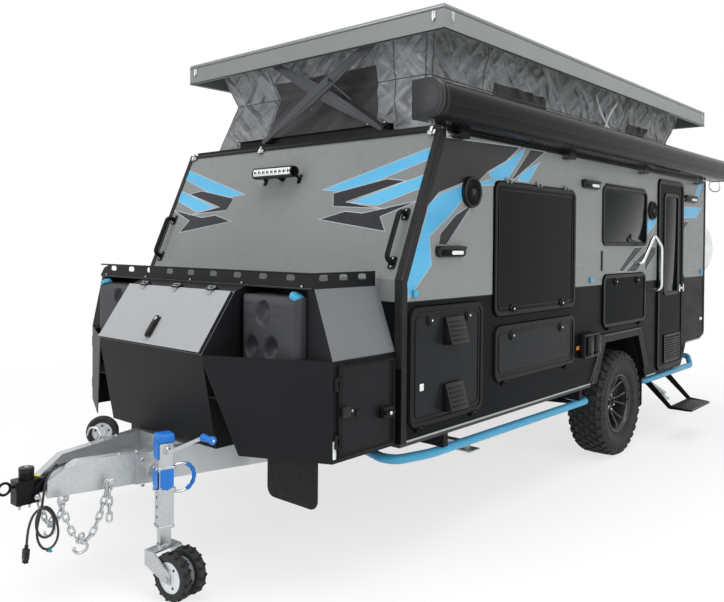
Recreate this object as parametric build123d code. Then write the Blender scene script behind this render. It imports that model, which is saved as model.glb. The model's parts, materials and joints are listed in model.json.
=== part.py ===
from build123d import *
import os
from math import atan2, degrees, hypot, pi, radians, tan

# Pop-top caravan, built as separate named sub-parts, in millimetres.
# Modelling frame: X = 0 on the centreline (+X is the side with the entry door), Y = 0 at the
# foot of the front wall (-Y is the towing direction), Z = 0 on the ground.
# Every sub-part is written with the caravan's box centred on X = 0, Y = 0.

os.makedirs("parts", exist_ok=True)

# ------------------------------------------------------------------ driving dimensions
MOVE_GAP = 5.0              # clearance round a moving panel
SEAT_GAP = 0.3              # clearance of a part that rests on another
RUN_GAP = 0.05              # radial clearance of a running shaft

# body shell
HALF_W = 1090.0             # half width over the side walls
BODY_LEN = 4615.0
WALL_BOTTOM = 630.0
KNEE_Z = 1436.0             # height at which the front wall leans back
BODY_TOP = 2220.0
SLOPE_TOP_Y = 336.0         # set-back of the leaning front wall at its top
WALL = 30.0                 # sandwich panel thickness
SKIRT_BOTTOM = 550.0        # lower edge of the side wall round the entry door
SKIRT_END_Y = 3985.0
TAIL_BOTTOM = 735.0         # lower edge of the tail
TAIL_START_Y = 4115.0
FLOOR_Z = 600.0             # underside of the floor
FLOOR_T = 40.0

# wheels
TYRE_R = 400.0
TYRE_W = 265.0
RIM_R = 215.0
AXLE_Y = 2745.0
TYRE_OUT_X = 1070.0         # outer face of the tyre
TYRE_X = TYRE_OUT_X - TYRE_W / 2
ARCH_TOP = 905.0
ARCH_Y0 = 2369.0            # front and rear corners of the arch's flat top
ARCH_Y1 = 2984.0
ARCH_FRONT_RUN = 163.0      # how far the arch spreads forward down to the floor
ARCH_REAR_RUN = 150.0
ARCH_IN_X = 756.0           # inner side of the wheel box
SHEET = 4.0
STUB_R = 45.0
SWING_Y = 2160.0             # pivot of the trailing arms
SWING_Z = 500.0

# hinged panels in the side walls: y from, y to, z from, z to
BOOT_HATCH = (55.0, 720.0, 690.0, 1295.0)
GALLEY_HATCH = (835.0, 1860.0, 1195.0, 1975.0)
LOWER_HATCH = (845.0, 1860.0, 815.0, 1140.0)
SMALL_HATCH = (2315.0, 3115.0, 1010.0, 1395.0)
ENTRY_DOOR = (3380.0, 3980.0, 570.0, 2160.0)
WINDOW = (2300.0, 3135.0, 1605.0, 2042.0)
FAR_WINDOWS = ((900.0, 1735.0, 1605.0, 2042.0), (2900.0, 3735.0, 1605.0, 2042.0))
PANEL_T = 28.0
PANEL_PROUD = 8.0
PANEL_CORNER = 60.0
KNOB_OUT = 14.0
LOCKER_DEEP = 450.0
HINGE_STAND = (15.0, 7.0)   # hinge axis beyond the wall's face, and beyond the panel's face
HINGE_R = 6.5
HINGE_PIN_R = 3.0
HINGE_MID = 11.0            # half length of the middle knuckle
HINGE_LEN = 62.0
PANEL_HINGES = {
    "boot": (BOOT_HATCH, "lower", (140.0, 630.0)),
    "galley": (GALLEY_HATCH, "upper", (980.0, 1347.0, 1715.0)),
    "lower": (LOWER_HATCH, "lower", (960.0, 1745.0)),
    "small": (SMALL_HATCH, "lower", (2420.0, 3010.0)),
    "door": (ENTRY_DOOR, "rear", (700.0, 1330.0, 2040.0)),
}

# roof and its lift
ROOF_HALF_W = 1097.5
ROOF_Y0 = 327.0
ROOF_Y1 = 4530.0
ROOF_BOTTOM = 2728.0
ROOF_TOP = 2862.0
ROOF_SKIN = 42.0
ROOF_SKIRT = 20.0
ROOF_TRAVEL = 480.0
RIM_TOP = 2242.0            # top of the rim that closes the body
RIM_IN_X = 920.0
CANVAS_T = 6.0
RAIL_H = 46.0               # scissor rails
RAIL_D = 28.0
RAIL_WALL = 3.0
RAIL_X0 = -650.0
RAIL_X1 = 690.0
ARM_H = 28.0
ARM_T = 6.0
ARM_PIVOT_X = 620.0
ARM_ROLLER_X = -365.0
ROLLER_R = 8.0
STRUT_SPACE = 24.0          # room in front of the scissor rails for arms and gas strut
STRUT_R = 8.0
STRUT_ROD_R = 4.0
STRUT_STAND = 4.0           # from the outer arm to the strut
STRUT_BASE_X = 661.0
STRUT_GRIP = 0.40           # where the strut holds the upper arm, as a share of its run

# awning
AWNING_IN_X = 1105.0
AWNING_W = 180.0
AWNING_Y = (50.0, 4750.0)
AWNING_Z = (2220.0, 2410.0)

# chassis and drawbar
RAIL_W = 50.0
RAIL_TALL = 150.0
CHASSIS_X = 520.0
CHASSIS_Y = (120.0, 4470.0)
DRAW_TIP = (46.0, -1266.0)  # centre of a drawbar rail's front end
DRAW_ROOT_X = 432.0         # where its centre line meets the front cross member
COUPLING_Y = -1352.0
COUPLING_PIN_R = 17.6
COUPLING_BOLT_Y = -1314.0   # side bolt, clear of the pin's bore

# front box
BOX_SIDE_X = 1050.0
BOX_FRONT_Y = -720.0
BOX_CORNER_Y = -440.0
BOX_NOSE_X = 460.0
BOX_BOTTOM = 620.0
BOX_LEDGE = 1080.0
BOX_TOP = 1400.0
BOX_TOP_X = 930.0
LID_TOP_Y = -520.0
LID_TOP_Z = 1372.0
LID_T = 18.0
LID_EDGE = 10.0             # from the slope's upper end to the lid
LID_HINGE = (10.0, 25.3)    # hinge axis along the slope and out from it
LID_HINGE_X = (-300.0, 0.0, 300.0)
BOX_DOOR_T = 12.0
BOX_DOOR_Y = (-412.0, -24.0)
BOX_DOOR_HINGE = (1069.3, -412.0)
BOX_DOOR_HINGE_Z = (720.0, 980.0)
DECK_FRONT_Y = -450.0
POCKET_X = (464.0, 888.0)
POCKET_BACK_Y = -300.0
POCKET_FLOOR = 880.0
CAN = (400.0, 165.0, 480.0)

# jockey wheel
LEG_X = 400.0
LEG_Y = -880.0
LEG_OUT = 70.0
LEG_IN = 50.0
LEG_OUT_Z = (300.0, 690.0)
LEG_PIVOT_Z = 525.0
LEG_TRAIL = 110.0
JOCKEY_R = 110.0
JOCKEY_W = 50.0
JOCKEY_TRACK = 86.0
JOCKEY_TURN = radians(15.6)
FORK_TURN = radians(-6.3)   # the fork and wheels, as they stand at rest
CLAMP_OUT = 95.0            # how far the swivel boss stands out from the drawbar rail
FORK_TOP = 208.0

# corner legs, entry step, side rails
STEADY_LEN = 420.0
STEADY_Y = (900.0, 4330.0)
STEADY_PIVOT = (470.0, 414.0)
STEADY_DROP = 30.0          # how far the rear pair is wound down
SIDE_TUBE_R = 25.0
SIDE_RAIL_Z = 500.0
REAR_TUBE_END_X = 930.0
STEP_PIVOT = (975.0, 480.0)
STEP_Y = (3440.0, 3920.0)
STEP_OUT_X = 1360.0
SPARE_X = 690.0
SPARE_Z = 1585.0
SPARE_W = 245.0

# safety chains and trailer cable
LINK_WIRE = 9.0
LINK_PITCH = 36.0
LINK_WIDE = 24.0            # between the wire centres of a link's long sides
CHAIN_START = (118.0, -1236.0, 452.0)
CHAIN_HOOK = (182.0, -1034.0, 512.0)
CHAIN_SAG = 245.0
STUD_R = 6.0
TAIL_OUT = 24.0             # the loose tail hangs this far out on its stud
TAIL_LINKS = 5
CABLE_D = 11.0
CABLE_ROUTE = [(40, -652, 560), (40, -700, 557), (42, -760, 544), (37, -825, 539), (25, -890, 538),
               (13, -950, 539), (8, -1010, 543), (12, -1065, 552), (20, -1118, 568), (34, -1163, 580),
               (46, -1206, 582), (59, -1248, 569), (69, -1279, 534), (72, -1290, 484), (73, -1297, 430),
               (74, -1312, 378), (75, -1325, 320), (76, -1318, 262), (77, -1288, 222), (79, -1249, 226),
               (81, -1226, 268), (83, -1230, 322), (85, -1245, 372), (86, -1268, 410), (88, -1297, 427),
               (90, -1325, 405), (92, -1337, 360), (94, -1328, 313), (96, -1300, 284), (98, -1267, 292),
               (100, -1253, 332), (102, -1262, 380), (103, -1288, 415), (105, -1322, 428),
               (107, -1355, 408), (109, -1374, 366), (110, -1382, 322), (110, -1385, 284)]

NOSE_Y = -1466.0            # front of the coupling's release ring
REAR_Y = BODY_LEN + 60.0 + SPARE_W
CENTRE = Vector((STEP_OUT_X - HALF_W - PANEL_PROUD - KNOB_OUT) / 2, (NOSE_Y + REAR_Y) / 2, 0)


# ------------------------------------------------------------------ helpers
def box(x0, x1, y0, y1, z0, z1):
    """A box between two corners."""
    size = Box(abs(x1 - x0), abs(y1 - y0), abs(z1 - z0))
    return Pos((x0 + x1) / 2, (y0 + y1) / 2, (z0 + z1) / 2) * size


def prism_x(points, x0, x1):
    """A (y, z) outline extruded along X."""
    face = make_face(Polyline(*[(x0, y, z) for y, z in points], close=True))
    return extrude(face, amount=abs(x1 - x0), dir=(1 if x1 > x0 else -1, 0, 0))


def prism_y(points, y0, y1):
    """An (x, z) outline extruded along Y."""
    face = make_face(Polyline(*[(x, y0, z) for x, z in points], close=True))
    return extrude(face, amount=y1 - y0, dir=(0, 1, 0))


def prism_z(points, z0, z1):
    """An (x, y) outline extruded upwards."""
    face = make_face(Polyline(*[(x, y, z0) for x, y in points], close=True))
    return extrude(face, amount=z1 - z0, dir=(0, 0, 1))


def rod(a, b, radius):
    """A round bar from point a to point b."""
    start, end = Vector(*a), Vector(*b)
    plane = Plane(origin=start, z_dir=end - start)
    return extrude(plane * Circle(radius), amount=(end - start).length)


def pipe(points, radii, radius, hollow=0.0):
    """A tube along straight runs and tangent arcs."""
    path = FilletPolyline(*points, radius=radii)
    plane = Plane(origin=Vector(*points[0]), z_dir=Vector(*points[1]) - Vector(*points[0]))
    body = sweep(plane * Circle(radius), path=path)
    if hollow:
        body -= sweep(plane * Circle(radius - hollow), path=path)
    return body


def mirrored(shape):
    """The same shape on the far side."""
    return mirror(shape, about=Plane.YZ)


def wall_panel(area, x_in, x_out, grow=0.0, corner=PANEL_CORNER):
    """A round-cornered slab in a side wall: area is y from, y to, z from, z to."""
    y0, y1, z0, z1 = area
    blank = box(x_in, x_out, y0 - grow, y1 + grow, z0 - grow, z1 + grow)
    return fillet(blank.edges().filter_by(Axis.X), corner + grow)


def save(name, *shapes):
    """Write one sub-part, moved to the caravan's own origin."""
    solids = [s for shape in shapes for s in shape.solids()]
    moved = [Pos(-CENTRE.X, -CENTRE.Y, 0) * s for s in solids]
    export_step(Compound(children=moved) if len(moved) > 1 else moved[0], f"parts/{name}.step")


# ------------------------------------------------------------------ body shell
def arch_outline(grow=0.0, low=FLOOR_Z):
    """The wheel opening in (y, z), wider towards the bottom."""
    deep = (ARCH_TOP - low) / (ARCH_TOP - FLOOR_Z)
    return [(ARCH_Y0 - ARCH_FRONT_RUN * deep - grow, low), (ARCH_Y0 - grow, ARCH_TOP + grow),
            (ARCH_Y1 + grow, ARCH_TOP + grow), (ARCH_Y1 + ARCH_REAR_RUN * deep + grow, low)]


def side_outline():
    """Side wall outline in (y, z), from the front foot round to the arch."""
    arch = arch_outline(low=SKIRT_BOTTOM)
    rear_foot = arch[3]
    deep = (ARCH_TOP - WALL_BOTTOM) / (ARCH_TOP - FLOOR_Z)
    front_foot = (ARCH_Y0 - ARCH_FRONT_RUN * deep, WALL_BOTTOM)
    return [(0, WALL_BOTTOM), (0, KNEE_Z), (SLOPE_TOP_Y, BODY_TOP), (BODY_LEN, BODY_TOP),
            (BODY_LEN, TAIL_BOTTOM + 40), (BODY_LEN - 125, TAIL_BOTTOM), (TAIL_START_Y, TAIL_BOTTOM),
            (TAIL_START_Y - 60, TAIL_BOTTOM - 95), (SKIRT_END_Y, SKIRT_BOTTOM), rear_foot,
            (ARCH_Y1, ARCH_TOP), (ARCH_Y0, ARCH_TOP), front_foot]


SLOPE_DIR = Vector(0, SLOPE_TOP_Y, BODY_TOP - KNEE_Z).normalized()
SLOPE_OUT = Vector(0, -SLOPE_DIR.Z, SLOPE_DIR.Y)


def slope_inner_y(z):
    """Inner face of the leaning front wall at height z."""
    run = SLOPE_DIR.Y / SLOPE_DIR.Z
    return (z - KNEE_Z) * run + WALL / SLOPE_DIR.Z


def on_slope(x, z, out):
    """A point at height z on the leaning front wall, moved out from its face."""
    y = (z - KNEE_Z) * SLOPE_DIR.Y / SLOPE_DIR.Z
    return (x, y + SLOPE_OUT.Y * out, z + SLOPE_OUT.Z * out)


def build_walls():
    """Side walls, front, rear, floor and the rim that closes the top."""
    near = prism_x(side_outline(), HALF_W - WALL, HALF_W)
    far = mirrored(near)
    for area in (BOOT_HATCH, GALLEY_HATCH, LOWER_HATCH, SMALL_HATCH, ENTRY_DOOR):
        near -= wall_panel(area, HALF_W - 2 * WALL, HALF_W + WALL, MOVE_GAP)
    near -= wall_panel(WINDOW, HALF_W - 2 * WALL, HALF_W + WALL, SEAT_GAP)
    far -= wall_panel(BOOT_HATCH, -HALF_W - WALL, -HALF_W + 2 * WALL, MOVE_GAP)
    for area in FAR_WINDOWS:
        far -= wall_panel(area, -HALF_W - WALL, -HALF_W + 2 * WALL, SEAT_GAP)
    for name in PANEL_HINGES:
        for fixed in hinges_of(name)[0]:
            near += fixed
    for fixed in hinges_of("boot")[0]:
        far += mirrored(fixed)
    save("wall_left", near)
    save("wall_right", far)

    inside = HALF_W - WALL
    knee_in = KNEE_Z + (WALL - WALL / SLOPE_DIR.Z) * SLOPE_DIR.Z / SLOPE_DIR.Y
    front = prism_x([(0, WALL_BOTTOM), (0, KNEE_Z), (SLOPE_TOP_Y, BODY_TOP),
                     (slope_inner_y(BODY_TOP), BODY_TOP), (WALL, knee_in), (WALL, WALL_BOTTOM)],
                    -inside, inside)
    save("wall_front", front)
    rear = box(-inside, inside, BODY_LEN - WALL, BODY_LEN, TAIL_BOTTOM + 40, BODY_TOP)
    save("wall_rear", rear)

    floor = box(-inside, inside, WALL, SKIRT_END_Y, FLOOR_Z, FLOOR_Z + FLOOR_T)
    kick = prism_x([(SKIRT_END_Y, FLOOR_Z), (TAIL_START_Y, TAIL_BOTTOM), (BODY_LEN - WALL, TAIL_BOTTOM),
                    (BODY_LEN - WALL, TAIL_BOTTOM + FLOOR_T), (TAIL_START_Y - 20, TAIL_BOTTOM + FLOOR_T),
                    (SKIRT_END_Y, FLOOR_Z + FLOOR_T)], -inside, inside)
    for side in (1, -1):
        floor -= prism_x(arch_outline(SHEET, FLOOR_Z - 1), side * ARCH_IN_X, side * HALF_W)
    save("floor", floor + kick)

    front_y = slope_inner_y(BODY_TOP) + 1
    lip_rear = ROOF_Y0 + ROOF_Y1 - front_y
    frame = box(-inside, inside, front_y, BODY_LEN - WALL, BODY_TOP - WALL, BODY_TOP)
    frame += box(-inside, inside, front_y, lip_rear, BODY_TOP, RIM_TOP)
    frame -= box(-RIM_IN_X, RIM_IN_X, front_y + 100, lip_rear - 140, BODY_TOP - 2 * WALL, RIM_TOP + 1)
    rails = []
    for y, into in scissor_planes():
        rail = scissor_rail(y, RIM_TOP, into)
        foot_y = arm_back(y, into, 1) - into * (STRUT_STAND - SEAT_GAP)
        rail += box(STRUT_BASE_X - 15, STRUT_BASE_X + 15, foot_y, y, RIM_TOP, RIM_TOP + RAIL_H)
        rails.append(rail)
    save("top_rim", frame, *rails)


def build_windows():
    """Fixed windows: a frame and a pane in each opening."""
    solids = []
    for area, side in ((WINDOW, 1), (FAR_WINDOWS[0], -1), (FAR_WINDOWS[1], -1)):
        x_in, x_out = side * (HALF_W - WALL - 2), side * (HALF_W + PANEL_PROUD)
        frame = wall_panel(area, x_in, x_out)
        frame -= wall_panel(area, x_in - side, x_out + side, -25.0)
        pane = wall_panel(area, side * (HALF_W - 12), side * (HALF_W - 6), -25.0)
        solids += [frame, pane]
    save("windows", *solids)


def build_arches():
    """Wheel boxes inside the body and the flares round the openings."""
    solids = []
    for side in (1, -1):
        liner = prism_x(arch_outline(SHEET), side * ARCH_IN_X, side * (HALF_W - WALL))
        liner -= prism_x(arch_outline(0, FLOOR_Z - 1), side * (ARCH_IN_X + SHEET), side * HALF_W)
        flare = prism_x(arch_outline(60, WALL_BOTTOM), side * HALF_W, side * (HALF_W + 10))
        flare -= prism_x(arch_outline(0, WALL_BOTTOM - 1), side * (HALF_W - 1), side * (HALF_W + 11))
        solids += [liner, flare]
    save("arches", *solids)


def open_box(x0, x1, y0, y1, z0, z1, open_sides):
    """A thin box with some sides left out: open_sides is any of -x, +x."""
    outer = box(x0, x1, y0, y1, z0, z1)
    in_x0 = x0 - 1 if "-x" in open_sides else x0 + SHEET
    in_x1 = x1 + 1 if "+x" in open_sides else x1 - SHEET
    return outer - box(in_x0, in_x1, y0 + SHEET, y1 - SHEET, z0 + SHEET, z1 - SHEET)


def locker(area, deep, shelf=0.0):
    """The compartment behind a side hatch."""
    y0, y1, z0, z1 = area
    margin = MOVE_GAP + 8
    x1 = HALF_W - WALL
    shell = open_box(x1 - deep, x1, y0 - margin, y1 + margin, z0 - margin, z1 + margin, ("+x",))
    if shelf:
        shell += box(x1 - deep + SHEET, x1 - 60, y0 - margin + SHEET, y1 + margin - SHEET,
                     shelf, shelf + 18)
    return shell


def build_lockers():
    """Through boot at the front, galley and lockers on the near side."""
    y0, y1, z0, z1 = BOOT_HATCH
    margin = MOVE_GAP + 8
    x1 = HALF_W - WALL
    save("tunnel_boot", open_box(-x1, x1, y0 - margin, y1 + margin, z0 - margin, z1 + margin,
                                 ("-x", "+x")))
    save("lockers", locker(GALLEY_HATCH, LOCKER_DEEP, shelf=1440.0),
         locker(LOWER_HATCH, LOCKER_DEEP), locker(SMALL_HATCH, LOCKER_DEEP - 60))


# ------------------------------------------------------------------ hinged panels
def hinge(pivot, along, inward, out, stand=HINGE_STAND):
    """One hinge as (fixed, moving): inward leads from the axis to the panel, out from the wall."""
    frame = Plane(origin=pivot, x_dir=inward, z_dir=along)
    wall_y = frame.to_local_coords(pivot - out * stand[0]).Y
    panel_y = frame.to_local_coords(pivot - out * stand[1]).Y
    sign = 1 if wall_y < 0 else -1
    half = HINGE_LEN / 2
    moving = Cylinder(HINGE_R, 2 * HINGE_MID) + Cylinder(HINGE_PIN_R, HINGE_LEN)
    moving += box(0, 30, panel_y, panel_y + sign * 3, -HINGE_MID, HINGE_MID)
    fixed = Cylinder(HINGE_R, HINGE_LEN) + box(-20, -4, wall_y, 0, -half, half)
    fixed -= Cylinder(HINGE_R * 2, 2 * HINGE_MID + 2)
    fixed -= Cylinder(HINGE_PIN_R + RUN_GAP, HINGE_LEN + 1)
    return frame * fixed, frame * moving


def panel_hinges(area, edge, spots):
    """Hinges of a side panel, whose lower, upper or rear edge turns: (fixed, moving) lists."""
    y0, y1, z0, z1 = area
    x = HALF_W + HINGE_STAND[0]
    pairs = []
    for spot in spots:
        if edge == "lower":
            pairs.append(hinge(Vector(x, spot, z0), Vector(0, 1, 0), Vector(0, 0, 1), Vector(1, 0, 0)))
        elif edge == "upper":
            pairs.append(hinge(Vector(x, spot, z1), Vector(0, 1, 0), Vector(0, 0, -1), Vector(1, 0, 0)))
        else:
            pairs.append(hinge(Vector(x, y1, spot), Vector(0, 0, 1), Vector(0, -1, 0), Vector(1, 0, 0)))
    return [fixed for fixed, moving in pairs], [moving for fixed, moving in pairs]


def hinges_of(name):
    """Fixed and moving hinge pieces of a named side panel."""
    area, edge, spots = PANEL_HINGES[name]
    return panel_hinges(area, edge, spots)


def build_hatches():
    """Hatches and the entry door, each a slab with its latches."""
    x_in, x_out = HALF_W + PANEL_PROUD - PANEL_T, HALF_W + PANEL_PROUD

    def knob(y, z):
        return box(x_out, x_out + KNOB_OUT, y - 24, y + 24, z - 20, z + 20)

    def cowl(z):
        wedge = [(x_out, z), (x_out + 60, z + 6), (x_out + 18, z + 144), (x_out, z + 144)]
        return prism_y(wedge, 340, 500)

    def hung(name):
        panel = wall_panel(PANEL_HINGES[name][0], x_in, x_out)
        for moving in hinges_of(name)[1]:
            panel += moving
        return panel

    boot = hung("boot") + knob(227, 1222) + knob(575, 1225)
    save("boot_hatch_left", boot + cowl(1086) + cowl(739))
    save("boot_hatch_right", mirrored(boot))
    save("galley_hatch", hung("galley") + knob(1046, 1232) + knob(1671, 1232))
    save("lower_hatch", hung("lower") + knob(1044, 1074) + knob(1665, 1074))
    save("small_hatch", hung("small") + knob(2535, 1341) + knob(2945, 1341))

    door = hung("door")
    y0, y1, z0, z1 = ENTRY_DOOR
    glass_area = (y0 + 150, y1 - 140, 1210.0, 2030.0)
    door -= wall_panel(glass_area, x_in - 1, x_out + 1, SEAT_GAP, 40.0)
    glass = wall_panel(glass_area, x_in + 8, x_out - 8, 0, 40.0)
    handle = box(x_out, x_out + 22, y0 + 25, y0 + 75, 1230, 1380)
    vent = box(x_out, x_out + 6, 3530, 3910, 620, 857)
    catch = box(x_out, x_out + 20, 3860, 3900, 1225, 1255)
    save("entry_door", door + handle + vent + catch, glass)


# ------------------------------------------------------------------ roof, canvas, scissor lift
def scissor_planes():
    """Open face of each scissor rail and the way that leads into its channel."""
    front = slope_inner_y(BODY_TOP) + STRUT_SPACE
    return ((front, 1), (ROOF_Y0 + ROOF_Y1 - front, -1))


def scissor_rail(y, z, into):
    """A channel along X, open towards the end of the caravan, standing on height z."""
    y_back = y + into * RAIL_D
    rail = box(RAIL_X0, RAIL_X1, y, y_back, z, z + RAIL_H)
    return rail - box(RAIL_X0 - 1, RAIL_X1 + 1, y - into, y_back - into * RAIL_WALL,
                      z + RAIL_WALL, z + RAIL_H - RAIL_WALL)


ROOF_UNDER = ROOF_TOP - ROOF_SKIN
PIVOT_LOW = RIM_TOP + RAIL_H / 2
PIVOT_HIGH = ROOF_UNDER - RAIL_H / 2
ARM_RUN = ARM_PIVOT_X - ARM_ROLLER_X


def build_roof():
    """Lifting roof with its skirt, upper scissor rails and a vent hatch."""
    shell = box(-ROOF_HALF_W, ROOF_HALF_W, ROOF_Y0, ROOF_Y1, ROOF_BOTTOM, ROOF_TOP)
    shell = fillet(shell.edges().group_by(Axis.Z)[-1], 14)
    inner_x = ROOF_HALF_W - ROOF_SKIRT
    shell -= box(-inner_x, inner_x, ROOF_Y0 + ROOF_SKIRT, ROOF_Y1 - ROOF_SKIRT,
                 ROOF_BOTTOM - 1, ROOF_UNDER)
    hatch = box(-250, 250, 2150, 2650, ROOF_TOP, ROOF_TOP + 45)
    hatch = fillet(hatch.edges().filter_by(Axis.Z), 50)
    rails = [scissor_rail(y, ROOF_UNDER - RAIL_H, into) for y, into in scissor_planes()]
    save("roof", shell, hatch, *rails)


def canvas_ring(half_x, y0, y1, z, inset=0.0):
    """One level of the canvas wall, as a wire."""
    hx, a, b = half_x - inset, y0 + inset, y1 - inset
    return Polyline((-hx, a, z), (hx, a, z), (hx, b, z), (-hx, b, z), close=True)


def build_canvas():
    """Canvas wall between rim and roof, pinched in at its middle seam."""
    low, mid, high = RIM_TOP + SEAT_GAP, 2565.0, ROOF_UNDER - SEAT_GAP
    levels = ((955.0, 450.0, 4370.0, low), (843.0, 535.0, 4290.0, mid), (927.0, 435.0, 4390.0, high))
    halves = []
    for lower, upper in zip(levels, levels[1:]):
        skins = []
        for inset in (0.0, CANVAS_T):
            faces = [make_face(canvas_ring(*level, inset)) for level in (lower, upper)]
            skins.append(loft(faces, ruled=True))
        halves.append(skins[0] - skins[1])
    save("canvas", halves[0] + halves[1])


def arm_face(y_rail, into, layer):
    """Face of an arm that looks towards the rail: layer 0 lies next to it."""
    return y_rail - into * (2 + layer * (ARM_T + 3))


def arm_back(y_rail, into, layer):
    """The arm's other face, which looks out of the caravan's end."""
    return arm_face(y_rail, into, layer) - into * ARM_T


def scissor_arm(x_fixed, z_fixed, x_roll, z_roll, y_rail, into, layer):
    """A flat arm beside the rail, with its pivot pin and its roller inside the channel."""
    y0 = arm_face(y_rail, into, layer)
    y1 = arm_back(y_rail, into, layer)
    length = hypot(x_roll - x_fixed, z_roll - z_fixed)
    turn = degrees(atan2(z_roll - z_fixed, x_roll - x_fixed))
    bar = Box(length + ARM_H, ARM_T, ARM_H)
    bar = fillet(bar.edges().filter_by(Axis.Y), ARM_H / 2 - 1)
    arm = Pos((x_fixed + x_roll) / 2, (y0 + y1) / 2, (z_fixed + z_roll) / 2) * Rot(0, -turn, 0) * bar
    reach = y_rail + into * (RAIL_D - RAIL_WALL - SEAT_GAP)
    pin = rod((x_fixed, y1, z_fixed), (x_fixed, reach, z_fixed), 6)
    roller = rod((x_roll, y1, z_roll), (x_roll, reach, z_roll), 4)
    wheel = rod((x_roll, y_rail + into * 4, z_roll), (x_roll, reach, z_roll), ROLLER_R)
    return arm + pin + roller + wheel


def build_scissors():
    """Two crossed arms and a gas strut at each end of the roof."""
    base = (STRUT_BASE_X, PIVOT_LOW)
    grip = (ARM_PIVOT_X - STRUT_GRIP * ARM_RUN, PIVOT_HIGH - STRUT_GRIP * (PIVOT_HIGH - PIVOT_LOW))
    length = hypot(grip[0] - base[0], grip[1] - base[1])
    turn = degrees(atan2(grip[1] - base[1], grip[0] - base[0]))
    for (y, into), end in zip(scissor_planes(), ("front", "rear")):
        low = scissor_arm(ARM_PIVOT_X, PIVOT_LOW, ARM_ROLLER_X, PIVOT_HIGH, y, into, 0)
        high = scissor_arm(ARM_PIVOT_X, PIVOT_HIGH, ARM_ROLLER_X, PIVOT_LOW, y, into, 1)
        gap_face = arm_back(y, into, 0)
        centre = ((ARM_PIVOT_X + ARM_ROLLER_X) / 2, (PIVOT_LOW + PIVOT_HIGH) / 2)
        low += rod((centre[0], gap_face, centre[1]), (centre[0], gap_face - into * 2.5, centre[1]), 14)
        front_face = arm_back(y, into, 1)
        pin_end = front_face - into * (STRUT_STAND + 1 - SEAT_GAP)
        high += rod((grip[0], front_face, grip[1]), (grip[0], pin_end, grip[1]), 9)
        save(f"arm_low_{end}", low)
        save(f"arm_high_{end}", high)
        strut_y = front_face - into * (STRUT_STAND + STRUT_R)
        place = Pos(base[0], strut_y, base[1]) * Rot(0, -turn, 0) * Rot(0, 90, 0)
        eye = Rot(90, 0, 0) * Cylinder(11, 2 * STRUT_R)
        tube = Pos(0, 0, 10) * Cylinder(STRUT_R, 290, align=(Align.CENTER, Align.CENTER, Align.MIN))
        tube += eye
        tube -= Pos(0, 0, 40) * Cylinder(STRUT_ROD_R + RUN_GAP, 300,
                                         align=(Align.CENTER, Align.CENTER, Align.MIN))
        save(f"strut_tube_{end}", place * tube)
        stem = Pos(0, 0, 120) * Cylinder(STRUT_ROD_R, length - 120,
                                         align=(Align.CENTER, Align.CENTER, Align.MIN))
        tip = Pos(0, 0, length) * Rot(90, 0, 0) * Cylinder(11, 2 * STRUT_R - 2)
        save(f"strut_rod_{end}", place * (stem + tip))


# ------------------------------------------------------------------ chassis, drawbar, running gear
def build_chassis():
    """Two long rails, cross members, outriggers and the carriers under the floor."""
    y0, y1 = CHASSIS_Y
    z0, z1 = FLOOR_Z - RAIL_TALL, FLOOR_Z
    half = RAIL_W / 2
    frame = box(-CHASSIS_X - half, CHASSIS_X + half, y0, y0 + RAIL_W, z0, z1)
    for side in (1, -1):
        frame += box(side * (CHASSIS_X - half), side * (CHASSIS_X + half), y0, y1, z0, z1)
    for y in (1000.0, 1920.0, 2700.0, 3500.0, y1 - RAIL_W):
        frame += box(-CHASSIS_X, CHASSIS_X, y, y + RAIL_W, z0 + 50, z1)
    out_z = SIDE_RAIL_Z + SIDE_TUBE_R + SEAT_GAP
    for y in (420.0, 2050.0, 3230.0, 3880.0):
        for side in (1, -1):
            frame += box(side * CHASSIS_X, side * 1050, y, y + 40, out_z, z1)
    for side in (1, -1):
        frame += box(side * CHASSIS_X, side * REAR_TUBE_END_X, y1 - 50, y1, z1 - 60, z1)
        pivot_x, pivot_z = STEADY_PIVOT
        for y in STEADY_Y:
            for dy in (-38, 32):
                frame += box(side * (pivot_x - 20), side * (CHASSIS_X - 10), y + dy, y + dy + 6,
                             pivot_z - 20, z0)
            bore = rod((side * pivot_x, y - 60, pivot_z), (side * pivot_x, y + 60, pivot_z), 8 + RUN_GAP)
            frame -= bore
    # hangers of the entry step
    hinge_x, hinge_z = STEP_PIVOT
    for y in (STEP_Y[0] - 15, STEP_Y[1] + 7):
        frame += box(hinge_x - 25, hinge_x + 25, y, y + 8, hinge_z - 18, z1)
        frame += box(CHASSIS_X, hinge_x + 25, y, y + 8, z1 - 50, z1)
    frame -= rod((hinge_x, STEP_Y[0] - 30, hinge_z), (hinge_x, STEP_Y[1] + 30, hinge_z), 10 + RUN_GAP)
    save("chassis", frame)


DRAW_ALONG = Vector(DRAW_ROOT_X - DRAW_TIP[0], CHASSIS_Y[0] - DRAW_TIP[1], 0).normalized()
DRAW_OUT = Vector(DRAW_ALONG.Y, -DRAW_ALONG.X, 0)


def rail_face(point):
    """The point on the near drawbar rail's outer face that lies straight inwards of a point."""
    tip = Vector(*DRAW_TIP, 0) + DRAW_OUT * (RAIL_W / 2)
    return point - DRAW_OUT * (point - tip).dot(DRAW_OUT)


def leg_reach():
    """Distance of the jockey leg's centre from the drawbar rail's outer face."""
    leg = Vector(LEG_X, LEG_Y, LEG_PIVOT_Z)
    return (leg - rail_face(leg)).length


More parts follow.
